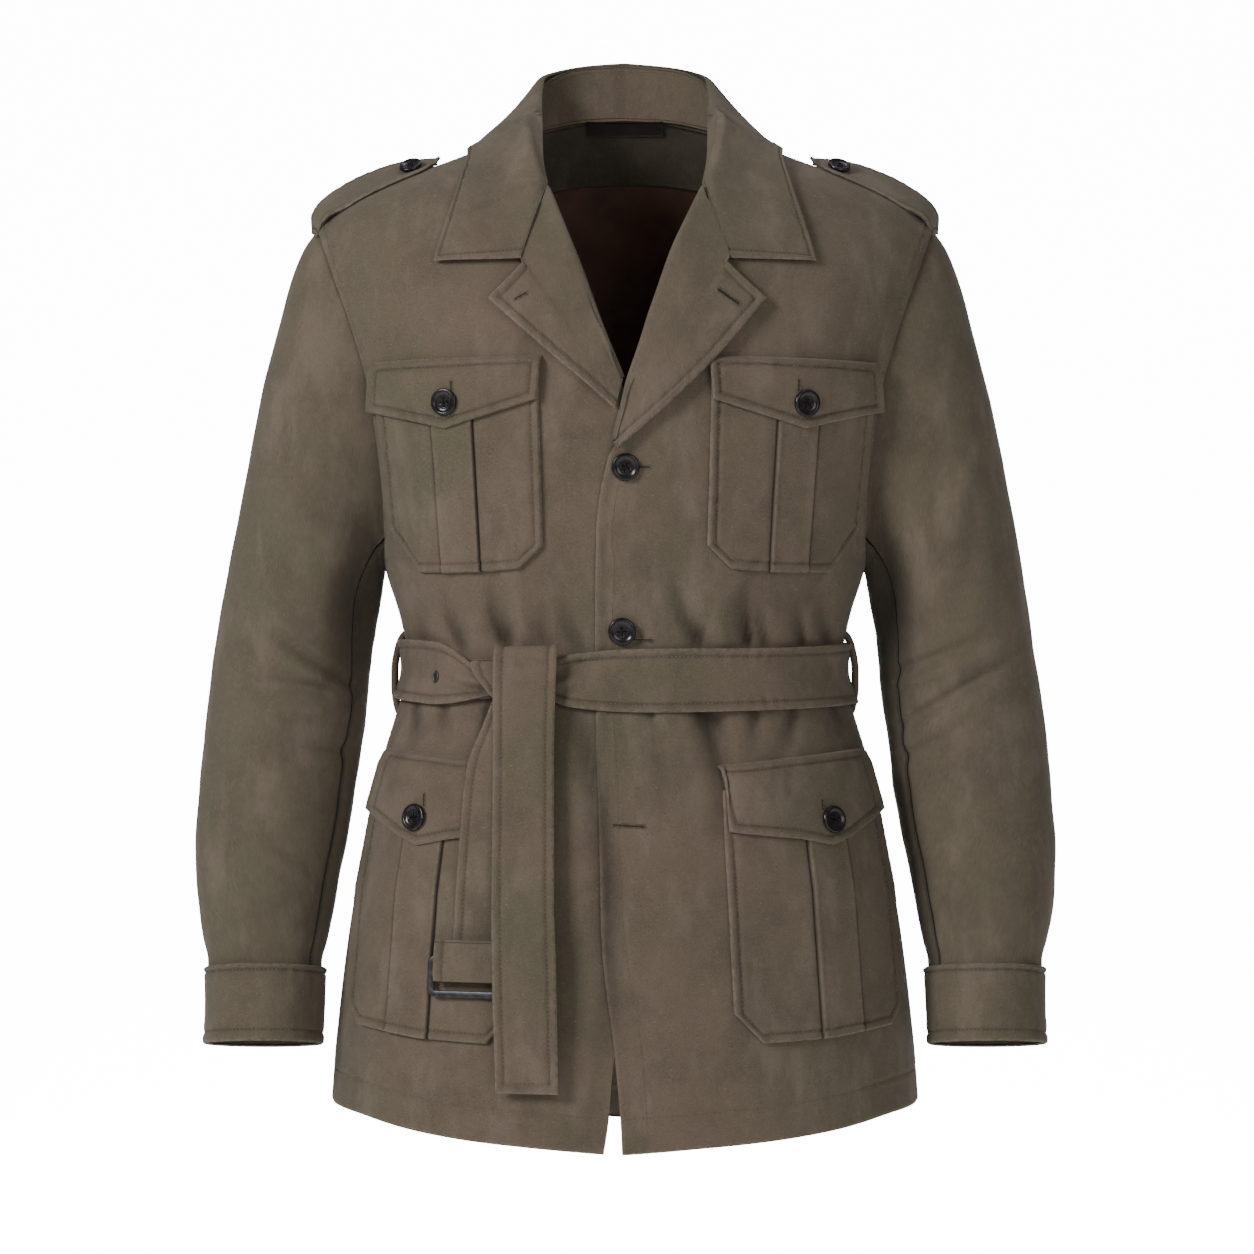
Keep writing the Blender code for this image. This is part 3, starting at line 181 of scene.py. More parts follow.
# Folds that the belt gathers: face, distance from the middle at the belt and at the far end,
# height at the far end, half width, height of the fold
WAIST_FOLDS = (
    # face, at_belt, at_end, end_height, half_width, height
    ("front", -0.138, -0.128, -0.285, 0.0100, 0.0040),
    ("front", -0.104, -0.100, -0.300, 0.0090, 0.0045),
    ("front", -0.074, -0.080, -0.315, 0.0080, 0.0030),
    ("front", 0.052, 0.060, -0.300, 0.0090, 0.0040),
    ("front", 0.092, 0.088, -0.285, 0.0100, 0.0045),
    ("front", 0.146, 0.150, -0.310, 0.0085, 0.0040),
    ("front", -0.150, -0.168, -0.520, 0.0100, 0.0040),
    ("front", -0.118, -0.130, -0.500, 0.0090, 0.0035),
    ("front", 0.038, 0.034, -0.530, 0.0100, 0.0040),
    ("front", 0.064, 0.062, -0.500, 0.0085, 0.0040),
    ("front", 0.094, 0.104, -0.490, 0.0085, 0.0035),
    ("back", -0.120, -0.128, -0.270, 0.0110, 0.0045),
    ("back", -0.060, -0.052, -0.280, 0.0110, 0.0040),
    ("back", 0.058, 0.066, -0.290, 0.0110, 0.0045),
    ("back", 0.112, 0.120, -0.270, 0.0110, 0.0040),
    ("back", -0.110, -0.135, -0.540, 0.0120, 0.0045),
    ("back", -0.048, -0.056, -0.560, 0.0120, 0.0040),
    ("back", 0.052, 0.064, -0.550, 0.0120, 0.0045),
    ("back", 0.118, 0.138, -0.530, 0.0120, 0.0040),
)
BELT_MIDDLE = -0.4100
BELT_CLEAR = 0.026
FOLD_RISE = 0.030

# Sleeves: outer line and inner line seen from the front, height and distance from the middle
SLEEVE_OUTER_ROWS = (
    (-0.648, 0.3140),
    (-0.627, 0.3140),
    (-0.611, 0.3180),
    (-0.595, 0.3215),
    (-0.570, 0.3245),
    (-0.544, 0.3258),
    (-0.4986, 0.3235),
    (-0.453, 0.3195),
    (-0.392, 0.3120),
    (-0.331, 0.3025),
    (-0.286, 0.2940),
    (-0.240, 0.2850),
    (-0.210, 0.2786),
    (-0.179, 0.2720),
    (-0.149, 0.2652),
    (-0.1186, 0.2575),
    (-0.088, 0.2455),
    (-0.0714, 0.2333),
)
SLEEVE_INNER_ROWS = (
    (-0.648, 0.2283),
    (-0.627, 0.2283),
    (-0.611, 0.2245),
    (-0.590, 0.2205),
    (-0.559, 0.2155),
    (-0.529, 0.2095),
    (-0.499, 0.2050),
    (-0.468, 0.2010),
    (-0.430, 0.1950),
    (-0.392, 0.1920),
    (-0.362, 0.1874),
    (-0.346, 0.1854),
    (-0.327, 0.1836),
)
# Height of a ring's middle, how far forward (-) it stands, half depth, tilt in degrees
SLEEVE_DEPTH_ROWS = (
    # height, forward, half_depth, tilt
    (-0.700, -0.0400, 0.0450, 9.0),
    (-0.627, -0.0260, 0.0450, 9.0),
    (-0.611, -0.0220, 0.0490, 8.5),
    (-0.560, -0.0110, 0.0535, 7.0),
    (-0.480, 0.0040, 0.0575, 3.5),
    (-0.400, 0.0100, 0.0620, 1.0),
    (-0.300, 0.0060, 0.0640, 0.0),
    (-0.190, 0.0010, 0.0560, 0.0),
)
SLEEVE_END = -0.646
SLEEVE_LEAN = 1.8
ARMHOLE_BLEND = 0.34
ARMHOLE_GAP = -0.0024
FRONT_SEAM_TURN = 148.0
BACK_SEAM_TURN = -70.0
SEAM_TURN_GAP = 0.78

# Cuffs: height of the ring's middle, middle and half width seen from the front, half depth
CUFF_ROWS = (
    # height, middle, half_width, half_depth
    (-0.6880, 0.2718, 0.0445, 0.0470),
    (-0.6600, 0.2712, 0.0450, 0.0476),
    (-0.6315, 0.2707, 0.0456, 0.0484),
)
CUFF_TILT = 9.0

# Collar: along is 0 at the back middle, 1 where the lapel begins and LEAF_END at the leaf's corner
NECK_ROWS = (
    # along, face, x, height
    (0.00, "back", 0.0000, 0.0190),
    (0.18, "back", 0.0340, 0.0172),
    (0.33, "back", 0.0570, 0.0120),
    (0.45, "back", 0.0720, 0.0062),
    (0.58, "ridge", 0.0800, 0.0010),
    (0.72, "front", 0.0762, -0.0120),
    (0.86, "front", 0.0680, -0.0300),
    (1.00, "front", 0.0567, -0.0486),
)
ROLL_ROWS = (
    # along, x, y, height
    (0.00, 0.0000, 0.0640, 0.0610),
    (0.18, 0.0300, 0.0600, 0.0585),
    (0.33, 0.0500, 0.0490, 0.0535),
    (0.45, 0.0615, 0.0340, 0.0460),
    (0.58, 0.0632, 0.0120, 0.0280),
    (0.72, 0.0622, -0.0200, 0.0005),
    (0.86, 0.0610, -0.0520, -0.0240),
    (1.00, 0.0567, -0.0835, -0.0474),
)
LEAF_EDGE_ROWS = (
    # along, face, x, height
    (0.00, "back", 0.0000, -0.0070),
    (0.18, "back", 0.0400, -0.0085),
    (0.33, "back", 0.0680, -0.0105),
    (0.45, "back", 0.0920, -0.0125),
    (0.58, "ridge", 0.1120, -0.0135),
    (0.72, "front", 0.1180, -0.0330),
    (0.86, "front", 0.1250, -0.0560),
    (1.00, "front", 0.1320, -0.0780),
    (1.30, "front", 0.1400, -0.1066),
)
LEAF_END = 1.30
NOTCH = (0.0755, -0.1062)
# The stand ends this far below the roll, behind and in front
STAND_DROP = (0.0006, 0.0080)
LEAF_OFF = 0.0062
LEAF_EDGE_OFF = 0.0050

# Lapels: outer line, height and distance from the middle; the tip is the first row
LAPEL_ROWS = {
    "left": (
        (-0.1342, 0.1040),
        (-0.1700, 0.0735),
        (-0.1842, 0.0605),
        (-0.2150, 0.0290),
        (-0.2440, -0.0050),
    ),
    "right": (
        (-0.1342, 0.1010),
        (-0.1560, 0.0765),
        (-0.1701, 0.0607),
        (-0.1960, 0.0305),
        (-0.2160, 0.0075),
    ),
}
LAPEL_NOTCH_AT = 0.60
LAPEL_SEAM_DROP = 0.0028
LAPEL_SEAM_SHIFT = 0.0017
# Share of the lapel's width from the roll, height over the front
LAPEL_OFF_ROWS = (
    (0.00, 0.0052),
    (0.40, 0.0066),
    (1.00, 0.0086),
)
LAPEL_ROLL = (
    # inward shift, height over the front
    (0.0000, -0.0012),
    (0.0000, 0.0018),
    (0.0012, 0.0042),
    (0.0040, 0.0052),
)

# Patches on the fronts: edges as distances from the middle, outlines as share of width and height
PATCHES = {
    "chest_pocket": {
        "inner": (0.0630, 0.0592),
        "outer": (0.1860, 0.1725),
        "top": ((0.0, -0.1905), (1.0, -0.1925)),
        "bottom": ((0.0, -0.3150), (0.16, -0.3322), (0.44, -0.3342), (0.80, -0.3342), (1.0, -0.2960)),
        "pleat": (0.405, 0.655),
        "off": (0.0012, 0.0017, 0.0017),
        "seat": 0.0011,
        "wall": 0.0016,
        "pleat_rise": 0.0012,
    },
    "chest_flap": {
        "inner": (0.0607, 0.0650),
        "outer": (0.1862, 0.1885),
        "top": ((0.0, -0.1765), (1.0, -0.1785)),
        "bottom": ((0.0, -0.2090), (0.525, -0.2290), (1.0, -0.2140)),
        "pleat": None,
        "off": (0.0008, 0.0046, 0.0050),
        "seat": None,
        "wall": 0.0021,
        "pleat_rise": 0.0,
    },
    "hip_pocket": {
        "inner": (0.0705, 0.0800),
        "outer": (0.1945, 0.2085),
        "top": ((0.0, -0.4950), (1.0, -0.4900)),
        "bottom": ((0.0, -0.6560), (0.16, -0.6783), (0.55, -0.6760), (0.90, -0.6700), (1.0, -0.6480)),
        "pleat": (0.495, 0.735),
        "off": (0.0012, 0.0017, 0.0017),
        "seat": 0.0012,
        "wall": 0.0018,
        "pleat_rise": 0.0010,
    },
    "hip_flap": {
        "inner": (0.0666, 0.0783),
        "outer": (0.1790, 0.1955),
        "top": ((0.0, -0.4767), (1.0, -0.4655)),
        "bottom": ((0.0, -0.5258), (0.42, -0.5310), (0.62, -0.5366), (0.74, -0.5310), (1.0, -0.5125)),
        "pleat": None,
        "off": (0.0008, 0.0048, 0.0052),
        "seat": None,
        "wall": 0.0021,
        "pleat_rise": 0.0,
    },
}

# Share of the body's half width that a patch's outer edge may reach
PATCH_REACH = 0.985

# Buttons: diameter, thickness, and place: side, x, height, height over the front
BUTTON_DIAMETER = 0.0205
BUTTON_THICK = 0.0032
EPAULETTE_BUTTON_DIAMETER = 0.0180
BUTTONS = (
    # name, x, height, off
    ("button_front_upper", 0.0004, -0.2582, 0.0024),
    ("button_front_waist", -0.0022, -0.3780, 0.0024),
    ("button_chest_left", 0.1300, -0.2107, 0.0074),
    ("button_chest_right", -0.1292, -0.2100, 0.0074),
    ("button_hip_left", 0.1490, -0.5180, 0.0077),
    ("button_hip_right", -0.1505, -0.5165, 0.0077),
)

# Epaulettes: distance from the middle, front edge's and back edge's y and height
EPAULETTE_ROWS = (
    # along, x, front_y, front_height, back_y, back_height
    (0.00, 0.1420, -0.0140, -0.0270, -0.0060, -0.0232),
    (0.06, 0.1480, -0.0240, -0.0325, 0.0040, -0.0205),
    (0.14, 0.1560, -0.0310, -0.0375, 0.0090, -0.0190),
    (0.30, 0.1720, -0.0325, -0.0430, 0.0100, -0.0205),
    (0.55, 0.1980, -0.0335, -0.0530, 0.0110, -0.0290),
    (0.75, 0.2180, -0.0335, -0.0615, 0.0110, -0.0385),
    (0.88, 0.2320, -0.0320, -0.0690, 0.0100, -0.0500),
    (0.95, 0.2375, -0.0300, -0.0750, 0.0090, -0.0600),
    (1.00, 0.2392, -0.0270, -0.0812, 0.0080, -0.0692),
)
EPAULETTE_WALL = 0.0024
EPAULETTE_CLEAR = 0.0005
EPAULETTE_BUTTON_LIFT = 0.0012

# Belt: x on the front, upper edge and lower edge; the band runs round the back between them
BELT_ROWS = (
    # turn, top, bottom; the turn is 0 at the front middle and grows towards the wearer's left
    (-17.0, -0.3990, -0.4280),
    (-11.0, -0.3945, -0.4345),
    (4.0, -0.3905, -0.4385),
    (30.0, -0.3900, -0.4375),
    (90.0, -0.3860, -0.4340),
    (180.0, -0.3850, -0.4330),
    (270.0, -0.3835, -0.4310),
    (300.0, -0.3853, -0.4335),
    (309.0, -0.3905, -0.4340),
    (318.0, -0.4050, -0.4320),
    (325.0, -0.4235, -0.4275),
)
BELT_OFF = 0.0060
BELT_SIDE_OFF = 0.0058
BELT_WALL = 0.0028

TAIL_ROWS = (
    # height, off, inner x, outer x
    (-0.3926, 0.0106, -0.0478, -0.0908),
    (-0.3895, 0.0112, -0.0478, -0.0908),
    (-0.3868, 0.0136, -0.0478, -0.0910),
    (-0.3885, 0.0164, -0.0478, -0.0910),
    (-0.3970, 0.0175, -0.0478, -0.0912),
    (-0.4300, 0.0168, -0.0490, -0.0920),
    (-0.4700, 0.0150, -0.0500, -0.0925),
    (-0.5300, 0.0148, -0.0500, -0.0930),
    (-0.5800, 0.0150, -0.0500, -0.0935),
    (-0.6020, 0.0168, -0.0490, -0.0930),
    (-0.6400, 0.0168, -0.0480, -0.0925),
    (-0.6850, 0.0135, -0.0475, -0.0920),
    (-0.7135, 0.0115, -0.0473, -0.0918),
)
BUCKLE_TAIL_ROWS = (
    # height, off, inner x, outer x
    (-0.4325, 0.0102, -0.0520, -0.0950),
    (-0.4500, 0.0104, -0.0600, -0.1015),
    (-0.4800, 0.0108, -0.0650, -0.1120),
    (-0.5100, 0.0106, -0.0690, -0.1155),
    (-0.5450, 0.0098, -0.0720, -0.1185),
    (-0.5900, 0.0068, -0.0745, -0.1225),
    (-0.6250, 0.0060, -0.0760, -0.1250),
    (-0.6350, 0.0060, -0.0760, -0.1250),
)
KEEPER_ROWS = (
    # height, off, inner x, outer x
    (-0.6040, 0.0132, -0.0765, -0.1335),
    (-0.6080, 0.0138, -0.0765, -0.1338),
    (-0.6280, 0.0140, -0.0765, -0.1348),
    (-0.6340, 0.0138, -0.0765, -0.1345),
)
TAIL_WALL = 0.0024
BUCKLE_MIDDLE = (-0.1120, -0.6300)
BUCKLE_SIZE = (0.0620, 0.0310)
BUCKLE_BAR = 0.0050
BUCKLE_THICK = 0.0028
BUCKLE_OFF = 0.0078

KNOT_ROWS = (
    # height, off, inner x, outer x
    (-0.3945, 0.0096, -0.0420, -0.0900),
    (-0.4040, 0.0110, -0.0385, -0.0955),
    (-0.4150, 0.0112, -0.0385, -0.0970),
    (-0.4290, 0.0100, -0.0410, -0.0960),
)
KNOT_WALL = 0.0030

LOOP_TOP = -0.3740
LOOP_BOTTOM = -0.4440
LOOP_HALF_WIDTH = 0.0050
LOOP_WALL = 0.0016
LOOP_TURN = {"left": 90.0, "right": 270.0}
LOOP_ROWS = (
    # share of the height, off
    (0.00, 0.0024),
    (0.12, 0.0074),
    (0.26, 0.0096),
    (0.74, 0.0096),
    (0.88, 0.0074),
    (1.00, 0.0024),
)

# Inside the back: rows of the back panels that the facing and the lining take, from the top
FACING_ROWS = (-1, -2, -3)
LINING_ROWS = (-4, -5, -6, -7, -8, -9)
LINING_COLUMNS = 8
FACING_OFF = -0.0020
NECK_EDGE_CLEAR = 0.0008
LINING_WALL = 0.0009
LABEL_WIDTH = 0.060
LABEL_HEIGHT = 0.010
LABEL_DROP = 0.0004
LABEL_WALL = 0.0008
LABEL_OFF = -0.0034

# Hem seen from the front: turn round the body, height
HEM_ROWS = ((0.0, -0.7577), (0.11, -0.7543), (0.27, -0.7498), (0.44, -0.7440), (0.70, -0.7345), (1.0, -0.7312))
HEM_STITCH = 0.0250
FRONT_STITCH = 0.0080
ARM_STITCH = 0.0066
COLLAR_STITCH = 0.0065
LAPEL_STITCH = 0.0065
EPAULETTE_STITCH = 0.0050
PLEAT_STEPS = (-0.016, -0.010, -0.006, -0.003, 0.0, 0.004, 0.008, 0.013, 0.020, 0.030)
PLEAT_RISE = 0.0014

# Creases: x and height of the start, x and height of the end, half width, rise
BODY_CREASES = {
    "front": (
        (-0.1450, -0.399, -0.1520, -0.340, 0.0050, -0.0040),
        (-0.1164, -0.399, -0.1300, -0.318, 0.0052, -0.0064),
        (-0.0960, -0.399, -0.1113, -0.355, 0.0030, 0.0022),
        (-0.0820, -0.399, -0.0945, -0.310, 0.0060, -0.0074),
        (-0.0834, -0.399, -0.0840, -0.366, 0.0030, -0.0036),
        (-0.0690, -0.399, -0.0720, -0.322, 0.0050, 0.0026),
        (-0.0560, -0.399, -0.0560, -0.345, 0.0040, -0.0036),
        (-0.0300, -0.399, -0.0440, -0.318, 0.0060, -0.0040),
        (0.0150, -0.396, 0.0120, -0.350, 0.0040, -0.0030),
        (0.0600, -0.396, 0.0330, -0.285, 0.0066, -0.0058),
        (0.0585, -0.396, 0.0580, -0.360, 0.0030, -0.0044),
        (0.0740, -0.396, 0.0780, -0.325, 0.0060, 0.0028),
        (0.0930, -0.396, 0.0960, -0.322, 0.0044, -0.0074),
        (0.1080, -0.396, 0.0990, -0.325, 0.0050, -0.0040),
        (0.1345, -0.396, 0.1300, -0.345, 0.0042, -0.0058),
        (0.1540, -0.396, 0.1480, -0.310, 0.0055, -0.0050),
        (-0.1560, -0.424, -0.1690, -0.482, 0.0040, -0.0064),
        (-0.1354, -0.424, -0.1400, -0.475, 0.0044, -0.0044),
        (-0.0995, -0.424, -0.1140, -0.485, 0.0044, -0.0060),
        (0.0140, -0.424, 0.0250, -0.520, 0.0060, -0.0040),
        (-0.0360, -0.424, -0.0410, -0.800, 0.0100, -0.0048),
        (0.0260, -0.424, 0.0090, -0.490, 0.0050, 0.0026),
        (0.0500, -0.424, 0.0690, -0.500, 0.0066, -0.0076),
        (0.0640, -0.424, 0.0590, -0.580, 0.0070, -0.0050),
        (0.0900, -0.424, 0.0940, -0.478, 0.0044, -0.0052),
        (0.1215, -0.424, 0.1150, -0.478, 0.0046, -0.0048),
        (0.1500, -0.424, 0.1610, -0.476, 0.0046, -0.0052),
        (-0.165, -0.235, -0.120, -0.330, 0.010, 0.0016),
        (0.168, -0.235, 0.128, -0.335, 0.010, 0.0016),
        (-0.185, -0.300, -0.150, -0.370, 0.008, 0.0018),
        (0.180, -0.300, 0.150, -0.372, 0.008, 0.0018),
        (-0.055, -0.440, -0.048, -0.560, 0.010, 0.0014),
        (-0.030, -0.300, -0.022, -0.380, 0.008, 0.0014),
        (0.055, -0.240, 0.040, -0.370, 0.010, 0.0013),
    ),
    "back": (
        (-0.1400, -0.396, -0.1480, -0.310, 0.0060, -0.0052),
        (-0.1000, -0.396, -0.0920, -0.280, 0.0070, -0.0060),
        (-0.0660, -0.396, -0.0700, -0.330, 0.0050, -0.0044),
        (-0.0320, -0.396, -0.0250, -0.290, 0.0065, -0.0056),
        (0.0260, -0.396, 0.0300, -0.320, 0.0055, -0.0046),
        (0.0550, -0.396, 0.0480, -0.285, 0.0070, -0.0060),
        (0.0940, -0.396, 0.1000, -0.320, 0.0055, -0.0050),
        (0.1280, -0.396, 0.1380, -0.300, 0.0060, -0.0054),
        (-0.1300, -0.422, -0.1420, -0.520, 0.0060, -0.0058),
        (-0.0840, -0.422, -0.0900, -0.490, 0.0055, -0.0048),
        (-0.0480, -0.422, -0.0520, -0.540, 0.0070, -0.0060),
        (0.0340, -0.422, 0.0380, -0.500, 0.0060, -0.0050),
        (0.0760, -0.422, 0.0860, -0.530, 0.0070, -0.0060),
        (0.1180, -0.422, 0.1320, -0.490, 0.0060, -0.0052),
        (-0.160, -0.200, -0.060, -0.330, 0.014, 0.0018),
        (0.165, -0.210, 0.070, -0.345, 0.014, 0.0018),
        (-0.030, -0.300, -0.010, -0.380, 0.010, 0.0014),
        (0.030, -0.450, 0.020, -0.620, 0.014, 0.0014),
        (-0.090, -0.450, -0.105, -0.600, 0.014, 0.0014),
    ),
}
# Long shadows beside the hanging tail, as lines: depth is how dark they are
SHADE_LINES = (
    (-0.0370, -0.424, -0.0415, -0.800, 0.0085, 0.42),
    (0.0500, -0.430, 0.0640, -0.540, 0.0080, 0.20),
)
# Creases round a sleeve: place along it, turn, half lengths along and round, slant, rise
ARM_CREASES = {
    "right": (
        (0.28, 146.0, 0.190, 24.0, 0.00, -0.0130),
        (0.505, 112.0, 0.011, 46.0, 0.04, -0.0040),
        (0.530, 108.0, 0.012, 44.0, 0.02, 0.0032),
        (0.565, 96.0, 0.012, 44.0, -0.06, -0.0058),
        (0.600, 100.0, 0.016, 46.0, -0.06, 0.0034),
        (0.655, 128.0, 0.014, 36.0, -0.04, -0.0036),
        (0.42, -120.0, 0.026, 40.0, 0.0, -0.0026),
        (0.30, 60.0, 0.020, 40.0, -0.06, 0.0018),
        (0.36, 70.0, 0.030, 40.0, -0.10, -0.0016),
        (0.74, 70.0, 0.020, 40.0, 0.05, 0.0018),
        (0.84, 110.0, 0.010, 26.0, 0.10, 0.0018),
        (0.92, 80.0, 0.012, 40.0, -0.06, -0.0016),
    ),
    "left": (
        (0.28, 146.0, 0.190, 24.0, 0.00, -0.0130),
        (0.500, 112.0, 0.012, 46.0, -0.03, -0.0042),
        (0.528, 104.0, 0.012, 44.0, -0.02, 0.0034),
        (0.575, 100.0, 0.012, 44.0, 0.05, -0.0058),
        (0.608, 100.0, 0.016, 46.0, 0.05, 0.0032),
        (0.650, 128.0, 0.014, 36.0, 0.03, -0.0036),
        (0.42, -120.0, 0.026, 40.0, 0.0, -0.0026),
        (0.28, 60.0, 0.022, 40.0, 0.05, 0.0018),
        (0.25, 84.0, 0.060, 16.0, 0.40, -0.0022),
        (0.40, 76.0, 0.050, 18.0, 0.30, -0.0020),
        (0.68, 70.0, 0.020, 44.0, -0.07, 0.0019),
        (0.86, 100.0, 0.010, 26.0, -0.10, 0.0018),
    ),
}

# Shoulder straps as worn: place along, then x, y and height of the front edge and of the back edge
EPAULETTE_LOOK = (
    (0.00, 0.1412, -0.0120, -0.0208, 0.1412, -0.0050, -0.0190),
    (0.06, 0.1485, -0.0270, -0.0350, 0.1485, 0.0040, -0.0180),
    (0.14, 0.1560, -0.0325, -0.0388, 0.1560, 0.0090, -0.0182),
    (0.30, 0.1720, -0.0330, -0.0445, 0.1720, 0.0100, -0.0203),
    (0.55, 0.1975, -0.0335, -0.0540, 0.1980, 0.0110, -0.0288),
    (0.75, 0.2130, -0.0335, -0.0605, 0.2180, 0.0110, -0.0393),
    (0.87, 0.2225, -0.0330, -0.0648, 0.2335, 0.0100, -0.0515),
    (0.94, 0.2280, -0.0312, -0.0700, 0.2398, 0.0085, -0.0630),
    (1.00, 0.2325, -0.0280, -0.0815, 0.2388, 0.0040, -0.0765),
)

# The ring that edges the belt's first hole, in the photo's pixels, and its half width and height
EYELET = ("belt_band_cloth", 436.0, 677.0, 0.0022, 0.0040)

# Buttonholes: piece, the two ends in the photo's pixels, and half the slit's width
BUTTONHOLES = (
    ("chest_flap_right_cloth", 451, 381, 451, 391, 0.0005),
    ("chest_flap_left_cloth", 799, 380, 799, 391, 0.0005),
    ("hip_flap_right_cloth", 424, 794, 424, 806, 0.0005),
    ("hip_flap_left_cloth", 822, 800, 823, 810, 0.0005),
    ("front_left_cloth", 638, 467, 650, 467, 0.0005),
    ("front_left_cloth", 622, 639, 652, 640, 0.0005),
    ("front_left_cloth", 613, 825, 644, 827, 0.0006),
    ("lapel_left_cloth", 718, 289, 739, 304, 0.0010),
    ("lapel_right_cloth", 515, 299, 526, 293, 0.0005),
)

CAMERA_AWAY = 3.0
CAMERA_HEIGHT = -0.375
PIXEL = 0.00076
FLOOR = -2.40
WALL_AWAY = 8.2
WALL_GLOW = 14.0
ROOM_LIGHT = 0.16
LIGHTS = (
    ("key", (-2.4, -2.25, 1.05), (0.0, 0.0, -0.38), (1.1, 1.1), 99.0),
    ("fill", (1.3, -3.1, 0.3), (0.05, 0.0, -0.40), (1.6, 1.6), 28.0),
    ("top", (0.1, 0.3, 2.2), (0.0, 0.0, -0.30), (1.4, 1.0), 16.0),
)

COTTON_OLIVE = (0.091, 0.079, 0.050, 1.0)
COTTON_TAUPE = (0.127, 0.093, 0.067, 1.0)
COTTON_DARK = (0.078, 0.059, 0.043, 1.0)
COTTON_LIGHT = (0.172, 0.136, 0.104, 1.0)
COTTON_GREEN = (0.078, 0.077, 0.046, 1.0)
COTTON_DEEP = (0.048, 0.036, 0.026, 1.0)
COTTON_FLECK = (0.270, 0.222, 0.174, 1.0)
COTTON_SHADE = (0.010, 0.007, 0.005, 1.0)

# How far the lapel's upper edge is tucked under the collar's end
LAPEL_TUCK = 0.0042

# The loops' path beside the body, as x and height, and where the facing ends
LOOP_PATH = (
    (0.1600, -0.3775), (0.1664, -0.3800), (0.1700, -0.3845), (0.1730, -0.3940), (0.1749, -0.4080),
    (0.1749, -0.4200), (0.1737, -0.4310), (0.1716, -0.4390), (0.1680, -0.4425), (0.1610, -0.4440),
)
LOOP_HALF_WIDE = 0.0044
LOOP_HALF_THICK = 0.0029
FACING_FOOT = 0.868

# How dark each pleat's inner line is: the line nearer to the middle, the outer line
PLEAT_SHADE = {"right": (1.0, 0.30), "left": (0.85, 0.85)}

# The belt and its knot as they look: turn, top, bottom; then height, off, inner x, outer x
BELT_LOOK = (
    (-17.0, -0.3990, -0.4280),
    (-11.0, -0.3945, -0.4345),
    (4.0, -0.3905, -0.4385),
    (30.0, -0.3900, -0.4375),
    (90.0, -0.3860, -0.4340),
    (180.0, -0.3850, -0.4330),
    (270.0, -0.3828, -0.4300),
    (290.0, -0.3832, -0.4315),
    (300.0, -0.3840, -0.4325),
    (307.6, -0.3855, -0.4335),
    (314.0, -0.3911, -0.4328),
    (322.3, -0.4056, -0.4300),
    (328.3, -0.4246, -0.4262),
)
KNOT_LOOK = (
    (-0.3985, 0.0060, -0.0500, -0.1085),
    (-0.4010, 0.0078, -0.0500, -0.1110),
    (-0.4110, 0.0086, -0.0500, -0.1080),
    (-0.4200, 0.0082, -0.0500, -0.1020),
    (-0.4290, 0.0076, -0.0500, -0.0950),
)
BELT_CREASES = (
    (-0.1000, -0.4205, -0.1400, -0.4110, 0.0030, -0.0040),
    (-0.0980, -0.4150, -0.1380, -0.4050, 0.0030, 0.0020),
    (-0.0640, -0.4160, 0.0300, -0.4150, 0.0040, -0.0018),
    (0.0400, -0.3900, 0.0480, -0.4300, 0.0080, -0.0010),
    (-0.0640, -0.4122, 0.0110, -0.4020, 0.0036, -0.0026),
    (-0.0640, -0.4070, 0.0060, -0.3965, 0.0050, 0.0022),
    (-0.0600, -0.4180, 0.0220, -0.4240, 0.0055, 0.0020),
    (-0.0560, -0.4262, 0.0200, -0.4180, 0.0036, -0.0018),
    (-0.0900, -0.4225, -0.1380, -0.4115, 0.0026, -0.0024),
    (-0.0920, -0.4185, -0.1330, -0.3890, 0.0022, -0.0016),
    (-0.0920, -0.4150, -0.1340, -0.3860, 0.0030, 0.0016),
    (-0.0920, -0.4260, -0.1450, -0.4230, 0.0040, 0.0014),
    (0.1000, -0.4020, 0.1450, -0.4130, 0.0060, -0.0012),
)

SIDE_SIGN = {"left": 1.0, "right": -1.0}


def smooth_curve(keys, values):
    """A smooth curve through a table's rows that never runs past them; it takes arrays."""
    keys = np.array(keys, float)
    values = np.array(values, float)
    steps = np.diff(keys)
    slopes = np.diff(values) / steps
    tangents = np.concatenate([slopes[:1], np.zeros(len(keys) - 2), slopes[-1:]])
    for i in range(1, len(keys) - 1):
        if slopes[i - 1] * slopes[i] > 0.0:
            before = 2.0 * steps[i] + steps[i - 1]
            after = steps[i] + 2.0 * steps[i - 1]
            tangents[i] = (before + after) / (before / slopes[i - 1] + after / slopes[i])

    def value(key):
        key = np.clip(key, keys[0], keys[-1])
        i = np.clip(np.searchsorted(keys, key, side="right") - 1, 0, len(keys) - 2)
        t = (key - keys[i]) / steps[i]
        rest = 1.0 - t
        return (
            values[i] * rest * rest * (1.0 + 2.0 * t)
            + values[i + 1] * t * t * (3.0 - 2.0 * t)
            + steps[i] * t * rest * (tangents[i] * rest - tangents[i + 1] * t)
        )

    return value


def column_curve(rows, column):
    ordered = sorted(rows)
    return smooth_curve([row[0] for row in ordered], [row[column] for row in ordered])


def broken_line(rows, key):
    return np.interp(key, [row[0] for row in rows], [row[1] for row in rows])


def mix(a, b, share):
    return a + (b - a) * share


def ease(share):
    share = np.clip(share, 0.0, 1.0)
    return share * share * (3.0 - 2.0 * share)


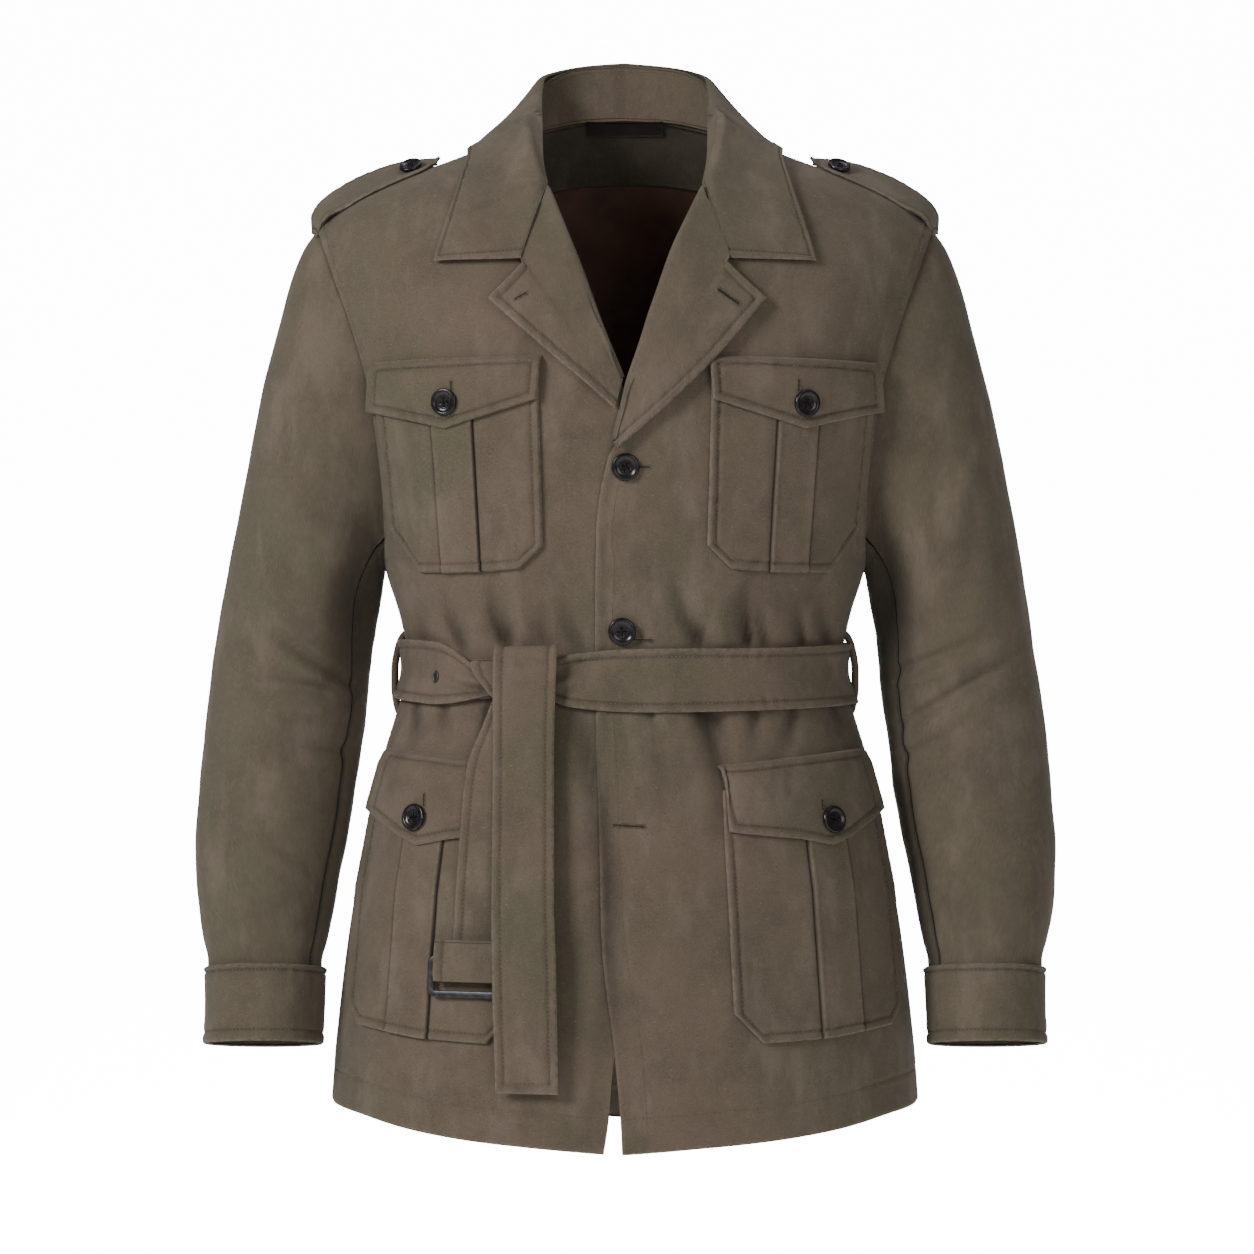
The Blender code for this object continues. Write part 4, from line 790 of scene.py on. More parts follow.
half_width = column_curve(TORSO_ROWS, 1)
full_depth = {"front": column_curve(TORSO_ROWS, 2), "back": column_curve(TORSO_ROWS, 3)}
shoulder_height = column_curve(SHOULDER_ROWS, 1)
armhole = {"front": column_curve(ARMHOLE_ROWS, 1), "back": column_curve(ARMHOLE_ROWS, 2)}
front_edge = {side: column_curve(rows, 1) for side, rows in EDGE_ROWS.items()}


def ripple(points, size, seed):
    """Uneven waves of about one size through space, between -1 and 1."""
    rng = np.random.default_rng(seed)
    total = 0.0
    for _ in range(6):
        way = rng.normal(size=3)
        way /= np.linalg.norm(way)
        length = size * rng.uniform(0.7, 1.6)
        total = total + np.sin(points @ way * (2.0 * math.pi / length) + rng.uniform(0.0, 6.28))
    return total / 3.2


def crease_height(rows, x, z):
    """Creases drawn as lines over a surface: soft ridges and troughs that fade at their ends."""
    total = np.zeros(np.broadcast(x, z).shape)
    for x0, z0, x1, z1, half, rise in rows:
        dx, dz = x1 - x0, z1 - z0
        length = math.hypot(dx, dz)
        along = ((x - x0) * dx + (z - z0) * dz) / length**2
        bend = 0.08 * length * np.sin(math.pi * np.clip(along, 0.0, 1.0))
        across = ((x - x0) * dz - (z - z0) * dx) / length + bend
        width = half * (0.75 + 0.7 * np.clip(along, 0.0, 1.0))
        total += rise * np.exp(-((across / width) ** 2)) * ease(along / 0.16) * ease((1.0 - along) / 0.7)
    return total


def gathers(face, x, height):
    """Folds that the belt gathers, above and below it."""
    total = np.zeros(np.broadcast(x, height).shape)
    for fold_face, at_belt, at_end, end_height, half, rise in WAIST_FOLDS:
        if fold_face != face:
            continue
        along = (height - BELT_MIDDLE) / (end_height - BELT_MIDDLE)
        start = (np.abs(height - BELT_MIDDLE) - BELT_CLEAR) / FOLD_RISE
        wave = np.exp(-(((x - mix(at_belt, at_end, along)) / half) ** 2))
        inside = (along > 0.0) & (along < 1.0)
        total += np.where(inside, rise * wave * ease(start) * ease((1.0 - along) * 1.6), 0.0)
    return total


GATHER_SHARE = {"front": 0.45, "back": 0.7}


def relief(face, x, height):
    """How far the cloth stands off the plain form."""
    points = np.stack(np.broadcast_arrays(x, 0.0 * x + (0.3 if face == "back" else 0.0), height), -1)
    soft = 0.0011 * ripple(points, 0.150, 3) + 0.00045 * ripple(points, 0.055, 4)
    near_belt = ease((np.abs(height - BELT_MIDDLE) - 0.016) / 0.010)
    fine = crease_height(BODY_CREASES[face], x, height)
    at_arm = ease((armhole[face](height) - np.abs(x)) / 0.03)
    keep = np.where(height > ARMHOLE_BOTTOM, at_arm, 1.0) * ease((shoulder_height(np.abs(x)) - height) / 0.03)
    return gathers(face, x, height) * GATHER_SHARE[face] + (fine + soft) * near_belt * keep


def fold_shade(face, x, height):
    """Shade in the folds that the belt gathers, strongest at the belt."""
    near = np.exp(-((np.maximum(np.abs(height - BELT_MIDDLE) - 0.026, 0.0) / 0.022) ** 2))
    shade = 0.55 * np.clip(-crease_height(BODY_CREASES[face], x, height) / 0.006, 0.0, 1.0) * near
    return shade + crease_height(SHADE_LINES, x, height) if face == "front" else shade


def turn_at(distance, height):
    share = np.minimum(np.abs(distance) / half_width(height), 1.0)
    return np.copysign(np.arcsin(share ** (SQUARENESS / 2.0)) * 2.0 / math.pi, distance)


def distance_at(turn, height):
    share = np.sin(np.minimum(np.abs(turn), 1.0) * math.pi / 2.0) ** (2.0 / SQUARENESS)
    return np.copysign(half_width(height) * share, turn)


def body_point(face, side, turn, height, folds=True):
    """Points of the body's outer surface; turn is 0 in the middle and 1 at the side."""
    distance = distance_at(turn, height)
    ridge = shoulder_height(np.abs(distance))
    rise = np.clip((height - ARCH_START) / (ridge - ARCH_START), 0.0, 1.0)
    power = mix(*ARCH_POWER[face], ease(np.abs(distance) / SHOULDER_TIP))
    arch = (1.0 - rise**power) ** (1.0 / power)
    round_off = np.maximum(np.cos(np.minimum(np.abs(turn), 1.0) * math.pi / 2.0), 0.0) ** (2.0 / SQUARENESS)
    depth = full_depth[face](height) * arch * round_off
    x = SIDE_SIGN[side] * distance
    if folds:
        depth = depth + relief(face, x, height) * np.minimum(1.0, 3.0 * round_off) * np.minimum(1.0, 2.0 * arch)
    return np.stack(np.broadcast_arrays(x, -depth if face == "front" else depth, height), -1)


def on_body(face, side, distance, height, off, folds=True):
    """Points at a height over the body's surface, along its own slope."""
    distance, height, off = np.broadcast_arrays(*(np.asarray(v, float) for v in (distance, height, off)))
    turn = turn_at(distance, height)
    low, high = np.maximum(turn - 0.01, -0.999), np.minimum(turn + 0.01, 0.999)
    across = body_point(face, side, high, height, folds) - body_point(face, side, low, height, folds)
    below = body_point(face, side, turn_at(distance, height - 0.004), height - 0.004, folds)
    above = body_point(face, side, turn_at(distance, height + 0.001), height + 0.001, folds)
    normal = np.cross(across, above - below)
    normal /= np.maximum(np.linalg.norm(normal, axis=-1, keepdims=True), 1e-12)
    outward = np.array((SIDE_SIGN[side] * 0.3, -1.0 if face == "front" else 1.0, 0.2))
    normal = np.where((normal @ outward)[..., None] < 0.0, -normal, normal)
    return body_point(face, side, turn, height, folds) + normal * off[..., None]


def overlap_lift(side, distance):
    return OVERLAP_LIFT[side] * (1.0 - ease((distance - OVERLAP_FLAT) / (OVERLAP_END - OVERLAP_FLAT)))




def panel_shares(lower_length, step):
    """Rows of a body panel: close by the hem, even above it, then closer towards the shoulder."""
    low = [0.0, 0.0006, 0.0014, 0.0028, 0.006, 0.011, 0.016, 0.020, 0.0222, 0.0236, HEM_STITCH, 0.0264, 0.028, 0.031]
    count = round((lower_length - low[-1]) / step)
    low += [low[-1] + (lower_length - low[-1]) * i / count for i in range(1, count)]
    upper = round(0.40 / step)
    return np.array(low) / lower_length, np.sin(math.pi / 2.0 * np.arange(upper + 1) / upper) ** 0.92


hem_curve = smooth_curve(*zip(*HEM_ROWS))


def front_points(side, columns, step):
    lower, upper = panel_shares(0.42, step)
    column = columns[None, :]
    height = mix(hem_curve(column), ARMHOLE_BOTTOM, lower[:, None])
    inner = turn_at(front_edge[side](height), height)
    low_part = (distance_at(mix(inner, 1.0, column), height), height)

    share = upper[:, None]
    top_distance = mix(NECK_POINT, SHOULDER_TIP, column)
    top = shoulder_height(top_distance)
    height = mix(ARMHOLE_BOTTOM, top, share)
    inner_height = mix(ARMHOLE_BOTTOM, shoulder_height(NECK_POINT), share)
    outer_height = mix(ARMHOLE_BOTTOM, shoulder_height(SHOULDER_TIP), share)
    room = ease((inner_height - ROOM_START) / ROOM_FADE) * ease(-inner_height / 0.04)
    inner_distance = front_edge[side](inner_height) + ROLL_ROOM * room
    inner = turn_at(inner_distance, inner_height)
    outer = turn_at(np.minimum(armhole["front"](outer_height), half_width(outer_height)), outer_height)
    straight = mix(
        turn_at(NECK_POINT, shoulder_height(NECK_POINT)),
        turn_at(SHOULDER_TIP, shoulder_height(SHOULDER_TIP)),
        column,
    )
    bow = share**2.0 * (turn_at(top_distance, top) - straight)
    high_part = (distance_at(mix(inner, outer, column) + bow, height), height)

    distance = np.concatenate([low_part[0], high_part[0]])
    height = np.concatenate([low_part[1], high_part[1]])
    hem = height - hem_curve(np.broadcast_to(column, height.shape))
    off = overlap_lift(side, distance) + panel_detail("front", side, distance, height, hem)
    edge = np.abs(distance - front_edge[side](height))
    if side == "left":
        shut = ease((LAPEL_END[side] - 0.004 - height) / 0.01)
        off = off + shut * (bead(edge, FRONT_STITCH, 0.0013) + puckers(edge, height, 21, FRONT_STITCH))
    points = on_body("front", side, distance, height, off)
    points[..., 1] = np.minimum(points[..., 1], -SIDE_SEAM_GAP / 2.0)
    return points


def back_neck_height(distance):
    share = np.minimum(distance / NECK_POINT, 1.0)
    return mix(BACK_NECK_HEIGHT, shoulder_height(NECK_POINT), share**2.2)


def panel_detail(face, side, distance, height, hem):
    """Seams of a body panel: the turned hem, and the felled armhole with its ridge."""
    off = -0.0008 * np.exp(-(((hem - HEM_STITCH) / 0.0012) ** 2)) + puckers(hem, distance, 41, HEM_STITCH, 0.0004)
    off = off - 0.0009 * (1.0 - ease(hem / 0.0016))
    seam = armhole[face](height) - distance
    at_arm = ease((height - ARMHOLE_BOTTOM) / 0.01)
    ridge = 0.0009 * (ease(seam / 0.0010) - ease((seam - 0.0085) / 0.0016))
    ridge = ridge - 0.0006 * np.exp(-(((seam - ARM_STITCH) / 0.0011) ** 2))
    return off + at_arm * (ridge + puckers(seam, height, 43, ARM_STITCH, 0.0004))


def back_places(columns, step):
    lower, upper = panel_shares(0.42, step)
    column = columns[None, :]
    back_hem = hem_curve(column) - (HEM_FRONT - HEM_BACK) * (1.0 - column)
    height = mix(back_hem, ARMHOLE_BOTTOM, lower[:, None])
    low_part = (distance_at(np.broadcast_to(column, height.shape), height), height)
    share = upper[:, None]
    top_distance = np.interp(column, (0.0, 0.4, 1.0), (0.0, NECK_POINT, SHOULDER_TIP))
    top = np.where(top_distance < NECK_POINT, back_neck_height(top_distance), shoulder_height(top_distance))
    height = mix(ARMHOLE_BOTTOM, top, share)
    outer_height = mix(ARMHOLE_BOTTOM, shoulder_height(SHOULDER_TIP), share)
    outer = turn_at(np.minimum(armhole["back"](outer_height), half_width(outer_height)), outer_height)
    top_outer = turn_at(SHOULDER_TIP, shoulder_height(SHOULDER_TIP))
    turn = outer * column + share**2.0 * (turn_at(top_distance, top) - top_outer * column)
    high_part = (distance_at(turn, height), height)
    return np.concatenate([low_part[0], high_part[0]]), np.concatenate([low_part[1], high_part[1]])


def back_points(side, columns, step):
    distance, height = back_places(columns, step)
    column = columns[None, :]
    hem = height - hem_curve(np.broadcast_to(column, height.shape)) + (HEM_FRONT - HEM_BACK) * (1.0 - column)
    off = panel_detail("back", side, distance, height, hem)
    off = off - 0.0007 * np.exp(-((distance / 0.0016) ** 2))
    points = on_body("back", side, distance, height, off)
    points[:, 0, 0] = SIDE_SIGN[side] * BACK_SEAM_HALF_GAP
    points[..., 1] = np.maximum(points[..., 1], SIDE_SEAM_GAP / 2.0)
    return points


sleeve_outer = column_curve(SLEEVE_OUTER_ROWS, 1)
sleeve_inner = column_curve(SLEEVE_INNER_ROWS, 1)
sleeve_forward = column_curve(SLEEVE_DEPTH_ROWS, 1)
sleeve_half_depth = column_curve(SLEEVE_DEPTH_ROWS, 2)
sleeve_tilt = column_curve(SLEEVE_DEPTH_ROWS, 3)


def armhole_point(side, turn):
    """The armhole seam: turn 0 at the shoulder, 180 under the arm, the front between them."""
    turn = turn % 360.0
    share = (1.0 - np.cos(np.radians(turn))) / 2.0
    height = mix(shoulder_height(SHOULDER_TIP), ARMHOLE_BOTTOM, share)
    found = []
    for face in ("front", "back"):
        distance = np.minimum(armhole[face](height), half_width(height))
        found.append(body_point(face, side, turn_at(distance, height), height, folds=False))
    return np.where((turn <= 180.0)[..., None], found[0], found[1])


def sleeve_oval(side, along, turn, grow=0.0):
    outer_height = mix(shoulder_height(SHOULDER_TIP), SLEEVE_END, along)
    inner_height = mix(ARMHOLE_BOTTOM, SLEEVE_END, along**SLEEVE_LEAN)
    zero = 0.0 * along
    sign = SIDE_SIGN[side]
    outer = np.stack([sign * sleeve_outer(outer_height), zero, outer_height], -1)
    inner = np.stack([sign * sleeve_inner(inner_height), zero, inner_height], -1)
    middle = (outer + inner) / 2.0
    middle[..., 1] = sleeve_forward(middle[..., 2])
    half = (outer - inner) / 2.0
    tilt = np.radians(sleeve_tilt(middle[..., 2]))
    forward = np.stack([zero, -np.cos(tilt), np.sin(tilt)], -1)
    angle = np.radians(turn)[..., None]
    half_depth = (sleeve_half_depth(middle[..., 2]) + grow)[..., None]
    half = half * (1.0 + np.asarray(grow)[..., None] / np.linalg.norm(half, axis=-1, keepdims=True))
    return middle + half * np.cos(angle) + forward * half_depth * np.sin(angle)


def sleeve_relief(side, along, turn):
    """Creases of a sleeve, as lines over the place along it and the turn round it."""
    total = 0.0
    for fold_along, fold_turn, half_along, half_turn, slant, rise in ARM_CREASES[side]:
        apart = (turn - fold_turn + 180.0) % 360.0 - 180.0
        across = along - fold_along - slant * apart / 100.0
        total = total + rise * np.exp(-((across / half_along) ** 2) - np.abs(apart / half_turn) ** 3)
    angle = np.radians(turn)
    flat = np.stack([0.06 * np.cos(angle), 0.06 * np.sin(angle), 0.6 * along], -1)
    seed = 11 if side == "left" else 12
    soft = 0.0010 * ripple(flat, 0.120, seed) + 0.0004 * ripple(flat, 0.045, seed + 5)
    return total + soft * ease(along / 0.15) * ease((0.97 - along) / 0.08)


def sleeve_points(side, alongs, turns):
    along, turn = np.meshgrid(alongs, turns, indexing="ij")
    points = sleeve_oval(side, along, turn, sleeve_relief(side, along, turn))
    keep = (1.0 - ease(along / ARMHOLE_BLEND))[..., None]
    seam = armhole_point(side, turn) - sleeve_oval(side, 0.0 * along, turn)
    points = points + seam * keep
    points[..., 0] += SIDE_SIGN[side] * ARMHOLE_GAP * keep[..., 0]
    return points


cuff_middle = column_curve(CUFF_ROWS, 1)
cuff_half_width = column_curve(CUFF_ROWS, 2)
cuff_half_depth = column_curve(CUFF_ROWS, 3)


def cuff_points(side, heights, turns):
    height, turn = np.meshgrid(heights, turns, indexing="ij")
    tilt = math.radians(CUFF_TILT)
    angle = np.radians(turn)
    flat = np.stack([0.046 * np.cos(angle), 0.047 * np.sin(angle), height], -1)
    soft = 0.0005 * ripple(flat, 0.060, 31 if side == "left" else 32)
    half_x = cuff_half_width(height) + soft
    half_y = cuff_half_depth(height) + soft
    x = SIDE_SIGN[side] * (cuff_middle(height) + half_x * np.cos(angle))
    y = sleeve_forward(height) - half_y * math.cos(tilt) * np.sin(angle)
    return np.stack([x, y, height + half_y * math.sin(tilt) * np.sin(angle)], -1)

STITCH = 0.0065


def fine_lines(length, step, first=STITCH, last=STITCH):
    """Places of grid lines along a length, as shares: close by both edges and exactly on the stitch lines."""
    def near(stitch):
        return [0.0, 0.0004, 0.0010, 0.0018, 0.42 * stitch, 0.66 * stitch, 0.86 * stitch, stitch,
                1.14 * stitch, 1.36 * stitch, 1.64 * stitch, 2.0 * stitch]
    start, end = near(first), near(last)
    room = length - start[-1] - end[-1]
    count = max(2, round(room / step))
    middle = [start[-1] + room * i / count for i in range(1, count)]
    places = start + middle + [length - place for place in reversed(end)]
    return np.array(places) / length


def bead(d, stitch=STITCH, rim=0.0011, groove=0.0009):
    """Height of a turned and stitched edge at a distance from it."""
    rim, groove = 0.72 * rim, 0.85 * groove
    lift = rim * (ease(d / 0.0014) - ease((d - 0.55 * stitch) / (0.42 * stitch)))
    lift = lift - groove * np.exp(-(((d - stitch) / 0.0011) ** 2))
    return lift + 0.35 * rim * np.exp(-(((d - 1.7 * stitch) / 0.0028) ** 2)) - 0.0007 * (1.0 - ease(d / 0.0012))


def stitch_shade(d, stitch=STITCH):
    """The thin shadow that a row of stitches leaves in the cloth."""
    return 0.40 * np.exp(-(((d - stitch) / 0.0007) ** 2))


def puckers(d, along, seed, stitch=STITCH, rise=0.00035):
    """Small uneven waves that a seam's thread pulls up beside it."""
    rng = np.random.default_rng(seed)
    wave = sum(
        np.sin(along * 6.2832 / (0.011 * rng.uniform(0.6, 1.6)) + rng.uniform(0.0, 6.28)) for _ in range(4)
    )
    return rise * wave / 2.0 * np.exp(-(((d - 1.1 * stitch) / (0.9 * stitch)) ** 2))


def grid_normals(points, ring=False):
    if ring:
        wide = np.concatenate([points[:, -1:], points, points[:, :1]], 1)
        across = wide[:, 2:] - wide[:, :-2]
    else:
        across = np.gradient(points, axis=1)
    down = np.gradient(points, axis=0)
    normals = np.cross(across, down)
    return normals / np.maximum(np.linalg.norm(normals, axis=-1, keepdims=True), 1e-12)


class Cloth:
    """A sheet as rows of points, with its outward normals."""

    def __init__(self, points, wall, centre=None, ring=False):
        self.points, self.wall, self.ring = points, wall, ring
        self.normals = grid_normals(points, ring)
        away = points - (np.array((0.0, 0.0, 0.0)) if centre is None else centre)
        if centre is None:
            away = away * np.array((1.0, 1.0, 0.0))
        if (self.normals * away).sum() < 0.0:
            self.normals = -self.normals
            self.turned = True
        else:
            self.turned = False

    def raise_by(self, height):
        self.points = self.points + self.normals * height[..., None]
        normals = grid_normals(self.points, self.ring)
        self.normals = -normals if self.turned else normals

    def uv(self):
        points = self.points
        u = np.zeros(points.shape[:2])
        v = np.zeros(points.shape[:2])
        u[:, 1:] = np.cumsum(np.linalg.norm(np.diff(points, axis=1), axis=-1), 1)
        v[1:] = np.cumsum(np.linalg.norm(np.diff(points, axis=0), axis=-1), 0)
        return np.stack([u - u[:, :1] * 0.0, v], -1)


def build_mesh(name, points, quads, material, uv=None, marks=None, smooth=True):
    mesh = bpy.data.meshes.new(name)
    mesh.from_pydata(points.reshape(-1, 3).tolist(), [], quads)
    mesh.update()
    if smooth:
        mesh.shade_smooth()
    if uv is not None:
        layer = mesh.uv_layers.new(name="weave")
        order = np.zeros(len(mesh.loops), int)
        mesh.loops.foreach_get("vertex_index", order)
        layer.data.foreach_set("uv", uv.reshape(-1, 2)[order].astype(np.float32).ravel())
    for mark, values in (marks or {}).items():
        layer = mesh.attributes.new(mark, "FLOAT", "POINT")
        layer.data.foreach_set("value", np.asarray(values, np.float32).ravel())
    mesh.materials.append(material)
    thing = bpy.data.objects.new(name, mesh)
    bpy.context.scene.collection.objects.link(thing)
    return thing


def finish_cloth(name, cloth, material, nodes, wear=None, deep=None, rim_shade=0.0, flat=None, area=None):
    """Closes a sheet into a thin shell and puts it in place of its solid."""
    rows, columns = cloth.points.shape[:2]
    outer = cloth.points
    inner = outer - cloth.normals * cloth.wall
    index = np.arange(rows * columns).reshape(rows, columns)
    if cloth.ring:
        wide = np.concatenate([index, index[:, :1]], 1)
    else:
        wide = index
    a, b, c, d = wide[:-1, :-1], wide[:-1, 1:], wide[1:, 1:], wide[1:, :-1]
    front = np.stack([a, b, c, d], -1).reshape(-1, 4)
    shift = rows * columns
    back = front[:, ::-1] + shift
    sides = []
    for line, flip in ((wide[0], True), (wide[-1], False)):
        strip = np.stack([line[:-1], line[1:], line[1:] + shift, line[:-1] + shift], -1)
        sides.append(strip[:, ::-1] if flip else strip)
    if not cloth.ring:
        for line, flip in ((index[:, 0], False), (index[:, -1], True)):
            strip = np.stack([line[:-1], line[1:], line[1:] + shift, line[:-1] + shift], -1)
            sides.append(strip[:, ::-1] if flip else strip)
    faces = np.concatenate([front, back] + [side[:, ::-1] for side in sides])
    if not cloth.turned:
        pass
    else:
        faces = faces[:, ::-1]
    uv = cloth.uv()
    wear = np.zeros((rows, columns)) if wear is None else np.clip(wear, 0.0, 1.0)
    deep = np.zeros((rows, columns)) if deep is None else np.clip(deep, 0.0, 1.0)
    # The inner face and the rim walls carry painted shade: the outer face's deep, and at least rim_shade along every
    # edge.
    inside = deep.copy()
    for edge in ((0, slice(None)), (-1, slice(None))) + (() if cloth.ring else ((slice(None), 0), (slice(None), -1))):
        inside[edge] = np.maximum(inside[edge], rim_shade)
    thing = build_mesh(
        name,
        np.concatenate([outer.reshape(-1, 3), inner.reshape(-1, 3)]),
        faces.tolist(),
        material,
        np.concatenate([uv.reshape(-1, 2), uv.reshape(-1, 2)]),
        {"wear": np.concatenate([wear.ravel()] * 2), "deep": np.concatenate([deep.ravel(), inside.ravel()])},
    )
    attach(thing, "root")
    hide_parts(*nodes)
    spans = np.linalg.norm(np.diff(outer, axis=1), axis=-1).sum(1)
    drops = np.linalg.norm(np.diff(outer, axis=0), axis=-1).sum(0)
    if cloth.ring:
        spans = spans + np.linalg.norm(outer[:, 0] - outer[:, -1], axis=-1)
    quad_area = np.linalg.norm(
        np.cross(outer[1:, 1:] - outer[:-1, :-1], outer[1:, :-1] - outer[:-1, 1:]), axis=-1
    ).sum() / 2.0
    print("sheet", name, round(float(spans.max()), 4), round(float(drops.max()), 4), round(float(quad_area), 5))
    if flat is None:
        flat = (float(spans.max()) + 0.001, float(drops.max()) + 0.001)
    if area is None:
        area = min(quad_area * 1.0, flat[0] * flat[1])
        if cloth.ring:
            area = min(flat[0] * flat[1], quad_area + float(np.mean(np.linalg.norm(outer[:, 0] - outer[:, -1], axis=-1))) * drops.mean())
    return thing


stitch_ends = {}


def sew(group, points, normals, pitch=0.0031, share=0.62, lift=0.00012, closed=False):
    """Running stitches along a line on the cloth."""
    points = points + normals * lift
    if closed:
        points = np.concatenate([points, points[:1]])
    places = np.concatenate([[0.0], np.cumsum(np.linalg.norm(np.diff(points, axis=0), axis=-1))])
    count = int(places[-1] / pitch)
    if count < 1:
        return
    starts = (np.arange(count) + 0.2) * places[-1] / count
    ends = starts + share * pitch
    for axis_at in (starts, ends):
        stitch_ends.setdefault(group, []).append(
            np.stack([np.interp(axis_at, places, points[:, k]) for k in range(3)], -1)
        )


def sew_frame(group, cloth, rows, columns, at, open_top=False, **how):
    """A stitch line round the edges of a sheet, on the grid lines that lie under it."""
    i, j = at
    p, n = cloth.points, cloth.normals
    last_i, last_j = p.shape[0] - 1 - i, p.shape[1] - 1 - j
    sew(group, p[i:last_i + 1, j], n[i:last_i + 1, j], **how)
    sew(group, p[i:last_i + 1, last_j], n[i:last_i + 1, last_j], **how)
    sew(group, p[last_i, j:last_j + 1], n[last_i, j:last_j + 1], **how)
    if not open_top:
        sew(group, p[i, j:last_j + 1], n[i, j:last_j + 1], **how)


def seam_place(side, face, x, height, off):
    if face == "ridge":
        return np.array((SIDE_SIGN[side] * x, 0.0, shoulder_height(x) + off))
    return on_body(face, side, x, height, off, folds=False)


def point_curve(keys, points):
    axes = [smooth_curve(keys, [point[i] for point in points]) for i in range(3)]
    return lambda key: np.stack([axis(key) for axis in axes], -1)


def collar_curves(side):
    sign = SIDE_SIGN[side]
    neck = point_curve([row[0] for row in NECK_ROWS], [seam_place(side, *row[1:], 0.0) for row in NECK_ROWS])
    roll = point_curve([row[0] for row in ROLL_ROWS], [(sign * row[1], row[2], row[3]) for row in ROLL_ROWS])
    places = [seam_place(side, *row[1:], LEAF_EDGE_OFF) for row in LEAF_EDGE_ROWS]
    return neck, roll, point_curve([row[0] for row in LEAF_EDGE_ROWS], places)


collar_lines = {side: collar_curves(side) for side in SIDE_SIGN}


def outward_of(points):
    flat = points * np.array((1.0, 1.0, 0.0)) + np.array((0.0, 0.010, 0.0))
    return flat / np.linalg.norm(flat, axis=-1, keepdims=True)


def unit(vectors):
    return vectors / np.maximum(np.linalg.norm(vectors, axis=-1, keepdims=True), 1e-12)


def stand_points(side, along, share):
    neck, roll, edge = collar_lines[side]
    bottom, top = neck(along), roll(along)
    rise = unit(top - bottom)
    bottom = bottom - rise * 0.0026 - outward_of(bottom) * 0.0010
    top = top - rise * mix(*STAND_DROP, ease((along - 0.24) / 0.36))[..., None]
    bow = outward_of(top) * (0.0012 * np.sin(math.pi * share) * (1.0 - along))[..., None]
    return bottom + (top - bottom) * share[..., None] + bow


def either_face(side, distance, height, off, is_front):
    front = on_body("front", side, distance, height, off, folds=False)
    back = on_body("back", side, distance, height, off, folds=False)
    return np.where(is_front[..., None], front, back)


def push_off(side, points, off):
    """Points moved out along the body's slope where they are nearer than a distance."""
    for _ in range(3):
        is_front = points[..., 1] < 0.0
        distance = np.abs(points[..., 0])
        height = np.minimum(points[..., 2], shoulder_height(distance) - 0.0004)
        foot = either_face(side, distance, height, 0.0 * height, is_front)
        normal = (either_face(side, distance, height, 0.0 * height + 0.01, is_front) - foot) / 0.01
        depth = ((points - foot) * normal).sum(-1)
        points = points + normal * np.maximum(off - depth, 0.0)[..., None]
    return points


def leaf_points(side, along, share):
    """The leaf leaves the roll, goes over it and lies on the body."""
    neck, roll, edge = collar_lines[side]
    outer = edge(along)
    down = np.clip((along - 1.0) / (LEAF_END - 1.0), 0.0, 1.0)
    x = mix(GORGE[0], NOTCH[0], down)
    height = mix(GORGE[1], NOTCH[1], down)
    flat = on_body("front", side, x, height, LEAF_OFF, folds=False)
    past = roll(np.minimum(along, 1.0))
    inner = past + (flat - past) * ease(down * 2.5)[..., None] * (along > 1.0)[..., None]
    outward = outward_of(inner)
    lift = np.array((0.0, 0.0, 0.012)) * (1.0 - 0.6 * np.minimum(along, 1.0))[..., None]
    first = np.where((along <= 1.0)[..., None], inner + outward * 0.0080 + lift, inner + (outer - inner) * 0.3)
    second = outer + (inner - outer) * 0.35 + outward * 0.006
    t = share[..., None]
    rest = 1.0 - t
    points = inner * rest**3 + first * (3.0 * rest**2 * t) + second * (3.0 * rest * t**2) + outer * t**3
    off = mix(LEAF_OFF, LEAF_EDGE_OFF, share) * ease(share * 6.0 + np.where(along > 1.0, 0.4, 0.0))
    points = np.where(t > 0.0, push_off(side, points, off), points)
    points[..., 0] = SIDE_SIGN[side] * np.abs(points[..., 0])
    return points


def collar_points(points_at, alongs, shares):
    along, share = np.meshgrid(alongs, shares, indexing="ij")
    left = points_at("left", along, share)
    right = points_at("right", along, share)
    return np.concatenate([right[:0:-1], left])


